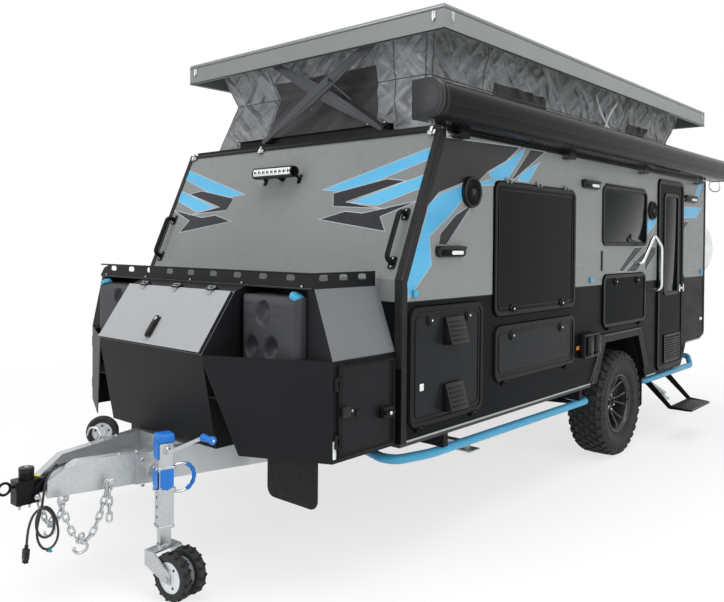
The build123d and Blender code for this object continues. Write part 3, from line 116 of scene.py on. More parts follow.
@dataclass(frozen=True)
class Place:
    """A right-handed set of axes u, v, w at an origin."""

    origin: tuple
    u: tuple
    v: tuple
    w: tuple

    def at(self, a: Array, b: Array, c: Array) -> Array:
        """Points origin + a u + b v + c w, for arrays a, b, c of one shape.

        Args:
            a: distances along u.
            b: distances along v.
            c: distances along w.

        Returns:
            The points, with three coordinates on the last axis.
        """
        axes = [np.multiply.outer(np.asarray(k, float), np.asarray(d, float))
                for k, d in zip(np.broadcast_arrays(a, b, c), (self.u, self.v, self.w))]
        return np.asarray(self.origin, float) + axes[0] + axes[1] + axes[2]

    def spokes(self, turn: Array) -> tuple:
        """Unit directions away from w and round w, at angles from u.

        Args:
            turn: angles from u towards v, in radians.

        Returns:
            The directions away from w and the directions round it.
        """
        origin = np.array(self.origin)
        return (self.at(np.cos(turn), np.sin(turn), 0 * turn) - origin,
                self.at(-np.sin(turn), np.cos(turn), 0 * turn) - origin)


def side_place(side: Side, y: float = 0.0, z: float = 0.0, x: float = HALF_W) -> Place:
    """Axes on a side wall: u is +y, v is +z and w points out of the wall."""
    return Place((side.value * x, y, z), (0, 1, 0), (0, 0, 1), (side.value, 0, 0))


def end_place(origin: tuple, out: float) -> Place:
    """Axes on an upright face across the body: u is +x, v is +z and w points out along y."""
    return Place(origin, (1, 0, 0), (0, 0, 1), (0, out, 0))


def top_place(origin: tuple) -> Place:
    """Axes on a level face: u is +x, v is +y and w points up."""
    return Place(origin, (1, 0, 0), (0, 1, 0), (0, 0, 1))


def slope_place(x: float, z: float, out: float = 0.0) -> Place:
    """Axes on the leaning front wall: u is +x, v runs up the slope and w points out of it.

    Args:
        x: the origin's x.
        z: the height at which the origin lies on the wall.
        out: how far it is then moved out of the wall.

    Returns:
        The place on the wall.
    """
    length = hypot(SLOPE_BACK, BODY_TOP - KNEE_Z)
    up = np.array([0.0, SLOPE_BACK / length, (BODY_TOP - KNEE_Z) / length])
    face = np.array([0.0, -up[2], up[1]])
    origin = np.array([x, (z - KNEE_Z) * up[1] / up[2], z]) + face * out
    return Place(tuple(origin), (1, 0, 0), tuple(up), tuple(face))


def grid_skin(points: Array, wrap_u: bool = False, wrap_v: bool = False, caps: bool = False) -> Skin:
    """A surface through a grid of points.

    Args:
        points: an (n, m, 3) array; a quad joins each four neighbours.
        wrap_u: the last row joins the first.
        wrap_v: the last point of each row joins its first.
        caps: the first and last rows are filled with one face each.

    Returns:
        The skin, closed when nothing is left open.
    """
    rows, columns = points.shape[:2]
    number = np.arange(rows * columns).reshape(rows, columns)
    wide = np.concatenate([number, number[:, :1]], 1) if wrap_v else number
    wide = np.concatenate([wide, wide[:1]], 0) if wrap_u else wide
    quads = np.stack([wide[:-1, :-1], wide[1:, :-1], wide[1:, 1:], wide[:-1, 1:]], -1)
    faces = quads.reshape(-1, 4).tolist()
    if caps:
        faces += [number[0].tolist(), number[-1][::-1].tolist()]
    return Skin(points.reshape(-1, 3), faces, wrap_v and (wrap_u or caps)).outward()


def two_faced(front: Array, back: Array) -> Skin:
    """A closed skin from two grids of one layout, joined round their borders.

    Args:
        front: grid of points of one face.
        back: grid of the other face, in the same layout.

    Returns:
        The closed skin.
    """
    rows, columns = front.shape[:2]
    number = np.arange(rows * columns).reshape(rows, columns)
    quads = np.stack([number[:-1, :-1], number[1:, :-1], number[1:, 1:], number[:-1, 1:]], -1)
    quads = quads.reshape(-1, 4)
    rim = np.concatenate([number[0, :-1], number[:-1, -1], number[-1, :0:-1], number[:0:-1, 0]])
    after = np.roll(rim, -1)
    shift = rows * columns
    band = np.stack([rim, after, after + shift, rim + shift], -1)
    faces = quads.tolist() + (quads[:, ::-1] + shift).tolist() + band.tolist()
    return Skin(np.concatenate([front.reshape(-1, 3), back.reshape(-1, 3)]), faces).outward()


def offset(outline: Array, inset: Array) -> Array:
    """Move a closed (k, 2) outline inwards along its mitred normals, once for each inset.

    Args:
        outline: its corners in order.
        inset: distances inwards; one below 0 moves it outwards.

    Returns:
        An (n, k, 2) array, one outline for each inset.
    """
    step = np.roll(outline, -1, 0) - outline
    step /= np.linalg.norm(step, axis=1, keepdims=True)
    area = np.cross(outline, np.roll(outline, -1, 0)).sum()
    normal = np.stack([-step[:, 1], step[:, 0]], 1) * np.sign(area)
    before = np.roll(normal, 1, 0)
    mitre = (normal + before) / (1 + np.einsum("ij,ij->i", normal, before))[:, None]
    return outline[None] + np.asarray(inset)[:, None, None] * mitre[None]


def slab(outline: Array, place: Place, depth: float, bevel: float = 0.002, steps: int = 3) -> Skin:
    """An outline raised by depth along w, with both rims rounded.

    The rounding follows a quarter circle: inset = bevel (1 - sin t), height = bevel (1 - cos t).

    Args:
        outline: (k, 2) points, anticlockwise.
        place: axes the outline lies on.
        depth: height of the slab, negative to sink it.
        bevel: radius of the rims.
        steps: rows in each rim.

    Returns:
        One closed skin.
    """
    bevel = min(bevel, depth / 2)
    turn = np.linspace(0, pi / 2, steps)
    inset = bevel * (1 - np.sin(turn))
    rise = bevel * (1 - np.cos(turn))
    insets = np.concatenate([inset, inset[::-1]])
    heights = np.concatenate([rise, depth - rise[::-1]])
    rings = offset(outline, insets)
    points = place.at(rings[..., 0], rings[..., 1], np.repeat(heights[:, None], len(outline), 1))
    return grid_skin(points, wrap_v=True, caps=True)


def ring_slab(outline: Array, place: Place, width: float, depth: float, bevel: float = 0.002) -> Skin:
    """A frame of one width along the inside of an outline, raised by depth along w.

    Args:
        outline: (k, 2) points of the outer edge.
        place: axes the outline lies on.
        width: width of the frame, inwards.
        depth: height of the frame.
        bevel: bevel of its two edges.

    Returns:
        One closed ring.
    """
    insets = np.array([0, 0, bevel, width - bevel, width, width])
    heights = np.array([0, depth - bevel, depth, depth, depth - bevel, 0])
    rings = offset(outline, insets)
    points = place.at(rings[..., 0], rings[..., 1], np.repeat(heights[:, None], len(outline), 1))
    return grid_skin(points, wrap_u=True, wrap_v=True)


def round_rect(y0: float, y1: float, z0: float, z1: float, corner: float, steps: int = 6) -> Array:
    """A round-cornered rectangle as (k, 2) points: corner centre + corner (cos t, sin t).

    Args:
        y0: least first coordinate.
        y1: greatest first coordinate.
        z0: least second coordinate.
        z1: greatest second coordinate.
        corner: corner radius.
        steps: points in each corner.

    Returns:
        The outline, anticlockwise.
    """
    turn = np.linspace(0, pi / 2, steps)
    centres = np.array([[y1 - corner, z1 - corner], [y0 + corner, z1 - corner],
                        [y0 + corner, z0 + corner], [y1 - corner, z0 + corner]])
    turns = turn[None] + np.arange(4)[:, None] * pi / 2
    arcs = centres[:, None] + corner * np.stack([np.cos(turns), np.sin(turns)], -1)
    return arcs.reshape(-1, 2)


def circle(radius: float, count: int = 24, stretch: float = 1.0) -> Array:
    """Points (radius cos t, stretch radius sin t) round a circle or an oval."""
    turn = np.linspace(0, 2 * pi, count, endpoint=False)
    return radius * np.stack([np.cos(turn), stretch * np.sin(turn)], 1)


def polygon(points: tuple) -> Array:
    """A (k, 2) array of outline corners."""
    return np.array(points, float)


def turned(profile: tuple, place: Place, steps: int = 32, caps: bool = True) -> Skin:
    """A profile of (radius, height) pairs turned about w: (r cos t, r sin t, h).

    Args:
        profile: (radius, height) pairs.
        place: axes, with w as the axis of turning.
        steps: points round the axis.
        caps: whether both ends are closed by a disc.

    Returns:
        One closed skin.
    """
    rh = np.array(profile, float)
    turn = np.linspace(0, 2 * pi, steps, endpoint=False)
    radius, height = rh[:, :1], rh[:, 1:]
    points = place.at(radius * np.cos(turn), radius * np.sin(turn), height + 0 * turn)
    return grid_skin(points, wrap_u=not caps, wrap_v=True, caps=caps)


def smooth_path(points: tuple, steps: int = 8, loop: bool = False) -> Array:
    """A Catmull-Rom curve: each run is the cubic through its ends with the neighbours' slopes.

    Args:
        points: knots that the curve passes through.
        steps: points in each run.
        loop: whether the curve closes.

    Returns:
        The points along the curve.
    """
    knots = np.array(points, float)
    if loop:
        ends = (knots[-1:], knots, knots[:2])
    else:
        ends = (2 * knots[:1] - knots[1:2], knots, 2 * knots[-1:] - knots[-2:-1])
    p = np.concatenate(ends)
    t = np.linspace(0, 1, steps, endpoint=False)[None, :, None]
    a, b, c, d = p[:-3, None], p[1:-2, None], p[2:-1, None], p[3:, None]
    run = 0.5 * (2 * b + (c - a) * t + (2 * a - 5 * b + 4 * c - d) * t ** 2
                 + (3 * b - a - 3 * c + d) * t ** 3)
    path = run.reshape(-1, 3)
    return path if loop else np.concatenate([path, knots[-1:]])


def carried(profile: Array, path: Array, up: tuple, loop: bool = False) -> Skin:
    """A closed (k, 2) profile carried along a path.

    At each path point the profile's first axis is tangent x up and its second completes the set.

    Args:
        profile: (k, 2) outline.
        path: (n, 3) points.
        up: direction that keeps the profile upright.
        loop: whether the path closes on itself.

    Returns:
        One closed skin.
    """
    if loop:
        tangent = np.roll(path, -1, 0) - np.roll(path, 1, 0)
    else:
        tangent = np.gradient(path, axis=0)
    tangent /= np.linalg.norm(tangent, axis=1, keepdims=True)
    across = np.cross(tangent, np.array(up, float))
    across /= np.linalg.norm(across, axis=1, keepdims=True)
    rise = np.cross(across, tangent)
    points = (path[:, None] + across[:, None] * profile[None, :, :1]
              + rise[:, None] * profile[None, :, 1:])
    return grid_skin(points, wrap_u=loop, wrap_v=True, caps=not loop)


def tube(points: tuple, radius: float, up: tuple, steps: int = 8, sides: int = 14) -> Skin:
    """A round bar along a smooth path."""
    return carried(circle(radius, sides), smooth_path(points, steps), up)


def straight(start: tuple, end: tuple, radius: float, sides: int = 16, bevel: float = 0.0015) -> Skin:
    """A round bar between two points with softened ends.

    Args:
        start: centre of one end.
        end: centre of the other end.
        radius: the bar's radius.
        sides: points round the bar.
        bevel: softening of the ends.

    Returns:
        One closed skin.
    """
    a, b = np.array(start, float), np.array(end, float)
    axis = (b - a) / np.linalg.norm(b - a)
    helper = np.array([0.0, 0.0, 1.0]) if abs(axis[2]) < 0.9 else np.array([1.0, 0.0, 0.0])
    u = np.cross(helper, axis)
    u /= np.linalg.norm(u)
    place = Place(tuple(a), tuple(u), tuple(np.cross(axis, u)), tuple(axis))
    length = float(np.linalg.norm(b - a))
    profile = ((radius - bevel, 0), (radius, bevel), (radius, length - bevel), (radius - bevel, length))
    return turned(profile, place, sides)


def bolt_head(centre: tuple, axis: tuple, radius: float = 0.009, height: float = 0.007) -> Skin:
    """A six-sided bolt head with a chamfered rim.

    Args:
        centre: middle of the face it stands on.
        axis: direction it stands in.
        radius: distance from the middle to a corner.
        height: height of the head.

    Returns:
        One closed skin.
    """
    w = np.array(axis, float) / np.linalg.norm(axis)
    helper = np.array([0.0, 0.0, 1.0]) if abs(w[2]) < 0.9 else np.array([1.0, 0.0, 0.0])
    u = np.cross(helper, w)
    u /= np.linalg.norm(u)
    place = Place(tuple(centre), tuple(u), tuple(np.cross(w, u)), tuple(w))
    return turned(((radius, 0), (radius, 0.8 * height), (0.86 * radius, height)), place, 6)


def boxes(centres: Array, axes: Array, halves: Array, taper: float = 1.0) -> Skin:
    """Many small blocks at once.

    Args:
        centres: (n, 3) block centres.
        axes: (n, 3, 3) unit axes of each block, by rows.
        halves: (n, 3) or (3,) half sizes along those axes.
        taper: size of the face at +third axis, as a share of the opposite one.

    Returns:
        One skin of n separate closed blocks.
    """
    signs = np.array([[-1, -1, -1], [1, -1, -1], [1, 1, -1], [-1, 1, -1],
                      [-1, -1, 1], [1, -1, 1], [1, 1, 1], [-1, 1, 1]], float)
    shrink = np.where(signs[:, 2:] > 0, taper, 1.0)
    local = signs * np.concatenate([shrink, shrink, np.ones_like(shrink)], 1)
    sized = local[None] * np.broadcast_to(halves, centres.shape)[:, None]
    points = centres[:, None] + np.einsum("nkj,njc->nkc", sized, axes)
    quads = np.array([[0, 3, 2, 1], [4, 5, 6, 7], [0, 1, 5, 4], [1, 2, 6, 5], [2, 3, 7, 6], [3, 0, 4, 7]])
    hand = np.sign(np.einsum("ni,ni->n", np.cross(axes[:, 0], axes[:, 1]), axes[:, 2]))
    turned_quads = np.where(hand[:, None, None] > 0, quads[None], quads[None, :, ::-1])
    faces = (turned_quads + 8 * np.arange(len(centres))[:, None, None]).reshape(-1, 4)
    return Skin(points.reshape(-1, 3), faces.tolist(), False)


class Piece:
    """Skins gathered into one named mesh that rides on a body."""

    def __init__(self, name: str, body: str, slot: str) -> None:
        """Start an empty piece."""
        self.name, self.body, self.slot = name, body, slot
        self.skins: list = []

    def add(self, finish: "Finish", *skins: Skin) -> "Piece":
        """Add skins of one finish and return the piece."""
        self.skins += [(finish, skin) for skin in skins]
        return self

    def add_mirrored(self, finish: "Finish", *skins: Skin) -> "Piece":
        """Add skins of one finish on both sides of the caravan and return the piece.

        Args:
            finish: finish of all the skins.
            skins: skins of one side, mirrored in x for the other.

        Returns:
            The piece itself.
        """
        for skin in skins:
            flipped = Skin(skin.points * np.array([-1.0, 1.0, 1.0]), [f[::-1] for f in skin.faces],
                           skin.closed)
            self.skins += [(finish, skin), (finish, flipped)]
        return self

    def make(self, sharp: float = 32.0, replaces: tuple = ()) -> bpy.types.Object:
        """Build the mesh, dress it and hand it to its body.

        Args:
            sharp: edges that turn by more than this many degrees stay crisp.
            replaces: CAD nodes that this piece stands for.

        Returns:
            The new object, which sits at the frame's origin.
        """
        starts = np.cumsum([0] + [len(skin.points) for _, skin in self.skins])
        points = np.concatenate([skin.points for _, skin in self.skins]) - ORIGIN
        faces, numbers, finishes = [], [], []
        for start, (finish, skin) in zip(starts, self.skins):
            if finish not in finishes:
                finishes.append(finish)
            faces += [[i + int(start) for i in f] for f in skin.faces]
            numbers += [finishes.index(finish)] * len(skin.faces)
        mesh = bpy.data.meshes.new(self.name)
        mesh.from_pydata(points.tolist(), [], faces)
        for finish in finishes:
            mesh.materials.append(finish.material())
        mesh.polygons.foreach_set("material_index", numbers)
        mesh.polygons.foreach_set("use_smooth", [True] * len(faces))
        mesh.set_sharp_from_angle(angle=radians(sharp))
        mesh.update()
        piece = bpy.data.objects.new(self.name, mesh)
        bpy.context.scene.collection.objects.link(piece)
        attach(piece, self.body)
        if replaces:
            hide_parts(*replaces)
        log.info("%s: %d points, %d faces", self.name, len(points), len(faces))
        return piece


# -------------------------------------------------------------------------------------- finishes
class Recipe:
    """The node tree of one material, built from small steps."""

    def __init__(self, name: str) -> None:
        """Start a material whose shader is a single Principled BSDF.

        Args:
            name: name of the material.
        """
        self.material = bpy.data.materials.new(name)
        self.material.use_nodes = True
        self.tree = self.material.node_tree
        self.shader = self.tree.nodes["Principled BSDF"]
        self.objects = self.node("ShaderNodeTexCoord").outputs["Object"]

    def node(self, kind: str, **settings: object) -> bpy.types.Node:
        """Add a node and set its plain properties.

        Args:
            kind: type of the node.
            settings: plain properties by name.

        Returns:
            The new node.
        """
        made = self.tree.nodes.new(kind)
        for key, value in settings.items():
            setattr(made, key, value)
        return made

    def feed(self, socket: bpy.types.NodeSocket, value: object) -> None:
        """Link a socket to an output, or write a plain value into it.

        Args:
            socket: the input to fill.
            value: an output, or a plain value.
        """
        if isinstance(value, bpy.types.NodeSocket):
            self.tree.links.new(value, socket)
        else:
            socket.default_value = value

    def mapped(self, scale: tuple = (1, 1, 1), turn: tuple = (0, 0, 0)) -> bpy.types.NodeSocket:
        """Object coordinates counted from the foot of the front wall, scaled and turned.

        Args:
            scale: factor on each axis.
            turn: rotation about each axis, in radians.

        Returns:
            The mapped coordinates.
        """
        centred = self.node("ShaderNodeMapping")
        self.feed(centred.inputs["Vector"], self.objects)
        centred.inputs["Location"].default_value = tuple(ORIGIN)
        spread = self.node("ShaderNodeMapping")
        self.feed(spread.inputs["Vector"], centred.outputs[0])
        spread.inputs["Rotation"].default_value = turn
        spread.inputs["Scale"].default_value = scale
        return spread.outputs[0]

    def noise(self, scale: float, detail: float = 3.0, vector: object = None,
              rough: float = 0.5) -> bpy.types.NodeSocket:
        """Cloudy noise between 0 and 1.

        Args:
            scale: spots for each metre, or for each unit of the vector.
            detail: number of finer layers.
            vector: coordinates, or none for object ones.
            rough: share of the finer layers.

        Returns:
            The noise's value.
        """
        made = self.node("ShaderNodeTexNoise")
        self.feed(made.inputs["Vector"], vector or self.objects)
        made.inputs["Scale"].default_value = scale
        made.inputs["Detail"].default_value = detail
        made.inputs["Roughness"].default_value = rough
        return made.outputs["Fac"]

    def cells(self, scale: float, feature: str = "F1", output: str = "Distance",
              vector: object = None) -> bpy.types.NodeSocket:
        """Voronoi cells: distances or a colour for each cell.

        Args:
            scale: cells for each metre.
            feature: which distance is taken.
            output: name of the output.
            vector: coordinates, or none for object ones.

        Returns:
            The chosen output.
        """
        made = self.node("ShaderNodeTexVoronoi", feature=feature)
        self.feed(made.inputs["Vector"], vector or self.objects)
        made.inputs["Scale"].default_value = scale
        return made.outputs[output]

    def math(self, kind: str, a: object, b: object = 0.0) -> bpy.types.NodeSocket:
        """One sum on two numbers.

        Args:
            kind: the sum's name.
            a: first number or output.
            b: second number or output.

        Returns:
            The result.
        """
        made = self.node("ShaderNodeMath", operation=kind)
        self.feed(made.inputs[0], a)
        self.feed(made.inputs[1], b)
        return made.outputs[0]

    def axis(self, vector: object, name: str) -> bpy.types.NodeSocket:
        """One coordinate of a vector.

        Args:
            vector: an output that gives a vector, or a plain one.
            name: X, Y or Z.

        Returns:
            The coordinate.
        """
        made = self.node("ShaderNodeSeparateXYZ")
        self.feed(made.inputs[0], vector)
        return made.outputs[name]

    def between(self, value: object, low: float, high: float, out_low: float,
                out_high: float) -> bpy.types.NodeSocket:
        """Stretch a number from one span onto another, held at its ends.

        Args:
            value: the number to stretch.
            low: where it starts.
            high: where it ends.
            out_low: result at the start.
            out_high: result at the end.

        Returns:
            The stretched number.
        """
        made = self.node("ShaderNodeMapRange")
        for number, item in enumerate((value, low, high, out_low, out_high)):
            self.feed(made.inputs[number], item)
        return made.outputs[0]

    def blend(self, amount: object, first: object, second: object) -> bpy.types.NodeSocket:
        """Mix two colours.

        Args:
            amount: 0 for the first colour, 1 for the second.
            first: a colour or output.
            second: a colour or output.

        Returns:
            The mixed colour.
        """
        made = self.node("ShaderNodeMix", data_type="RGBA")
        self.feed(made.inputs[0], amount)
        self.feed(made.inputs[6], first)
        self.feed(made.inputs[7], second)
        return made.outputs[2]

    def bump(self, height: object, depth: float, strength: float = 1.0,
             under: object = None) -> bpy.types.NodeSocket:
        """Surface relief of the given depth in metres.

        Args:
            height: relief between 0 and 1.
            depth: height of the relief in metres.
            strength: share of it that shows.
            under: a normal to add it to, or none.

        Returns:
            The bent normal.
        """
        made = self.node("ShaderNodeBump")
        self.feed(made.inputs["Height"], height)
        made.inputs["Distance"].default_value = depth
        made.inputs["Strength"].default_value = strength
        if under:
            self.feed(made.inputs["Normal"], under)
        return made.outputs[0]

    def finish(self, colour: object, rough: object, normal: object = None, metal: float = 0.0,
               shine: object = 0.5, **sockets: float) -> bpy.types.Material:
        """Fill the shader's sockets and return the material; 0.5 is the usual shine.

        Args:
            colour: base colour.
            rough: roughness.
            normal: bent normal, or none.
            metal: 1 for bare metal.
            shine: strength of the mirror part.
            sockets: further sockets of the shader by name.

        Returns:
            The finished material.
        """
        self.feed(self.shader.inputs["Base Color"], colour)
        self.feed(self.shader.inputs["Roughness"], rough)
        self.feed(self.shader.inputs["Metallic"], metal)
        self.feed(self.shader.inputs["Specular IOR Level"], shine)
        if normal:
            self.feed(self.shader.inputs["Normal"], normal)
        for key, value in sockets.items():
            self.feed(self.shader.inputs[key.replace("_", " ").title()], value)
        return self.material


def tint(code: str, factor: float = 1.0) -> tuple:
    """A colour from its six-digit screen code, as linear light, brightened by a factor.

    Args:
        code: six hexadecimal digits, red first.
        factor: factor on the linear light, which stays at 1 or below.

    Returns:
        Red, green, blue and an opacity of 1.
    """
    screen = np.array([int(code[i:i + 2], 16) for i in (0, 2, 4)]) / 255
    linear = np.where(screen <= 0.04045, screen / 12.92, ((screen + 0.055) / 1.055) ** 2.4) * factor
    return (*np.minimum(linear, 1.0).tolist(), 1.0)


class Finish:
    """A surface finish that is mixed once and then shared."""

    def material(self) -> bpy.types.Material:
        """The finish's material."""
        return mixed(self)

    def mix(self) -> bpy.types.Material:
        """Build the material."""
        raise NotImplementedError


@lru_cache(maxsize=None)
def mixed(finish: Finish) -> bpy.types.Material:
    """Mix each finish only once."""
    return finish.mix()


@dataclass(frozen=True)
class SatinPaint(Finish):
    """Sprayed paint with a faint orange peel and slow colour drift."""

    name: str
    colour: str
    rough: float = 0.38
    drift: float = 0.10
    peel: float = 0.00012
    shine: float = 0.25

    def mix(self) -> bpy.types.Material:
        """Base colour drifts by a low noise; a fine noise lifts the surface.

        Returns:
            The material.
        """
        r = Recipe(self.name)
        cloud = r.noise(2.2, 4.0)
        dust = r.noise(38.0, 5.0)
        colour = r.blend(cloud, tint(self.colour, 1 - self.drift), tint(self.colour, 1 + self.drift))
        rough = r.between(dust, 0.3, 0.7, self.rough - 0.06, self.rough + 0.07)
        return r.finish(colour, rough, r.bump(r.noise(420.0, 2.0), self.peel), shine=self.shine)


@dataclass(frozen=True)
class TwoTonePaint(Finish):
    """Body paint: grey above the split height, charcoal below it, with a hair line between."""

    name: str = "body_paint"
    upper: str = "828584"
    lower: str = "111315"
    split: float = SPLIT_Z
    line: float = 0.004

    def mix(self) -> bpy.types.Material:
        """The height above ground picks the colour; a narrow band round the split is darker.

        Returns:
            The material.
        """
        r = Recipe(self.name)
        height = r.axis(r.mapped(), "Z")
        above = r.math("GREATER_THAN", height, self.split)
        cloud = r.noise(1.6, 4.0)
        upper = r.blend(cloud, tint(self.upper, 0.92), tint(self.upper, 1.08))
        lower = r.blend(cloud, tint(self.lower, 0.85), tint(self.lower, 1.15))
        both = r.blend(above, lower, upper)
        gap = r.math("ABSOLUTE", r.math("SUBTRACT", height, self.split))
        seam = r.math("LESS_THAN", gap, self.line)
        colour = r.blend(seam, both, tint("1a1b1c"))
        smear = r.noise(9.0, 6.0, r.mapped((1.0, 0.25, 1.0)))
        rough = r.between(smear, 0.3, 0.7, 0.24, 0.40)
        shine = r.between(above, 0.0, 1.0, 0.035, 0.12)
        return r.finish(colour, rough, r.bump(r.noise(300.0, 2.0), 0.0001), shine=shine)


@dataclass(frozen=True)
class PowderCoat(Finish):
    """Textured powder coat: small rounded grains and, where a slope colour is given, a painted sheen on
    faces that lean back.
    """

    name: str
    colour: str
    rough: float = 0.5
    grain: float = 900.0
    relief: float = 0.00035
    # slope: colour of the painted sheen, light from above, on faces that lean back
    slope: str = ""
    shine: float = 0.15

    def mix(self) -> bpy.types.Material:
        """Voronoi grains give the relief, and their tops shine a little more.

        Faces that lean back, whose own normal rises by 0.3 to 0.9, can take a paler slope colour: a painted
        sheen that stands for light from above.

        Returns:
            The material.
        """
        r = Recipe(self.name)
        grains = r.cells(self.grain, "SMOOTH_F1")
        cloud = r.noise(3.0, 5.0)
        colour = r.blend(cloud, tint(self.colour, 0.8), tint(self.colour, 1.25))
        # painted sheen: faces that lean back turn paler, as if lit from above; a fine noise speckles it
        if self.slope:
            rise = r.axis(r.node("ShaderNodeTexCoord").outputs["Normal"], "Z")
            leaning = r.math("MULTIPLY", r.math("GREATER_THAN", rise, 0.3), r.math("LESS_THAN", rise, 0.9))
            sheen_speckle = r.between(r.noise(260.0, 4.0), 0.3, 0.7, 0.0, 1.0)
            pale = r.blend(sheen_speckle, tint(self.slope, 0.86), tint(self.slope, 1.12))
            colour = r.blend(leaning, colour, pale)
        rough = r.between(grains, 0.0, 0.6, self.rough - 0.08, self.rough + 0.12)
        return r.finish(colour, rough, r.bump(grains, self.relief, 0.6), shine=self.shine)


@dataclass(frozen=True)
class Film(Finish):
    """Cut vinyl film with a soft sheen and a slow shade from front to back."""

    name: str
    colour: str
    shade: str
    rough: float = 0.3

    def mix(self) -> bpy.types.Material:
        """A stretched noise runs between the colour and its shade.

        Returns:
            The material.
        """
        r = Recipe(self.name)
        run = r.noise(1.5, 2.0, r.mapped((0.6, 1.0, 1.4), (0.5, 0.0, 0.0)))
        colour = r.blend(r.between(run, 0.35, 0.65, 0.0, 1.0), tint(self.colour), tint(self.shade))
        rough = r.between(r.noise(60.0, 3.0), 0.3, 0.7, self.rough - 0.05, self.rough + 0.08)
        return r.finish(colour, rough, r.bump(r.noise(140.0, 2.0), 0.00006), shine=0.25)


@dataclass(frozen=True)
class Gloss(Finish):
    """Gloss sheet, acrylic or dark glass with faint smears."""

    name: str
    colour: str
    rough: float = 0.07
    shine: float = 0.2

    def mix(self) -> bpy.types.Material:
        """Smears raise the roughness in soft patches.

        Returns:
            The material.
        """
        r = Recipe(self.name)
        smear = r.noise(3.5, 6.0, r.mapped((1.0, 0.5, 1.6)))
        rough = r.between(smear, 0.35, 0.75, self.rough, self.rough + 0.10)
        colour = r.blend(smear, tint(self.colour, 0.9), tint(self.colour, 1.15))
        return r.finish(colour, rough, r.bump(r.noise(5.0, 2.0), 0.0004, 0.3), shine=self.shine)


@dataclass(frozen=True)
class Galvanised(Finish):
    """Hot-dip zinc: dull crystals of several greys with fine runs."""

    name: str = "zinc"
    colour: str = "b9bdbf"
    spangle: float = 90.0
    metal: float = 0.75

    def mix(self) -> bpy.types.Material:
        """Each Voronoi cell takes its own grey and roughness.

        Returns:
            The material.
        """
        r = Recipe(self.name)
        cell = r.axis(r.cells(self.spangle, "F1", "Color"), "X")
        cloud = r.noise(7.0, 5.0)
        mixed_in = r.math("ADD", r.math("MULTIPLY", cell, 0.45), r.math("MULTIPLY", cloud, 0.55))
        colour = r.blend(mixed_in, tint(self.colour, 0.86), tint(self.colour, 1.12))
        rough = r.between(cell, 0.0, 1.0, 0.34, 0.52)
        return r.finish(colour, rough, r.bump(r.noise(160.0, 4.0), 0.00025, 0.5), self.metal)


@dataclass(frozen=True)
class BrushedMetal(Finish):
    """Brushed or polished metal with streaks along one axis."""

    name: str
    colour: str
    rough: float = 0.25
    stretch: tuple = (400.0, 6.0, 400.0)

    def mix(self) -> bpy.types.Material:
        """Noise stretched along the brushing direction drives roughness and relief.

        Returns:
            The material.
        """
        r = Recipe(self.name)
        streak = r.noise(1.0, 3.0, r.mapped(self.stretch))
        colour = r.blend(streak, tint(self.colour, 0.85), tint(self.colour, 1.12))
        rough = r.between(streak, 0.3, 0.7, self.rough - 0.07, self.rough + 0.1)
        return r.finish(colour, rough, r.bump(streak, 0.00008), 0.95)


@dataclass(frozen=True)
class Rubber(Finish):
    """Dull rubber with fine mould grain and dust in its hollows."""

    name: str
    colour: str = "1d1e20"
    dust: str = "3b3b3b"
    rough: float = 0.72

    def mix(self) -> bpy.types.Material:
        """Dust follows a broken noise; the grain is a fine relief.

        Returns:
            The material.
        """
        r = Recipe(self.name)
        worn = r.between(r.noise(24.0, 6.0, rough=0.65), 0.5, 0.75, 0.0, 0.7)
        colour = r.blend(worn, tint(self.colour), tint(self.dust))
        return r.finish(colour, self.rough, r.bump(r.noise(700.0, 3.0), 0.00025), shine=0.25)


@dataclass(frozen=True)
class Moulded(Finish):
    """Moulded plastic with a leather-like grain."""

    name: str
    colour: str
    rough: float = 0.45
    grain: float = 600.0

    def mix(self) -> bpy.types.Material:
        """Cell borders make the grain; a slow noise fades the colour.

        Returns:
            The material.
        """
        r = Recipe(self.name)
        cloud = r.noise(6.0, 4.0)
        colour = r.blend(cloud, tint(self.colour, 0.85), tint(self.colour, 1.18))
        edge = r.cells(self.grain, "DISTANCE_TO_EDGE")
        rough = r.between(r.noise(40.0, 3.0), 0.3, 0.7, self.rough - 0.06, self.rough + 0.08)
        return r.finish(colour, rough, r.bump(edge, 0.0002, 0.5), shine=0.3)


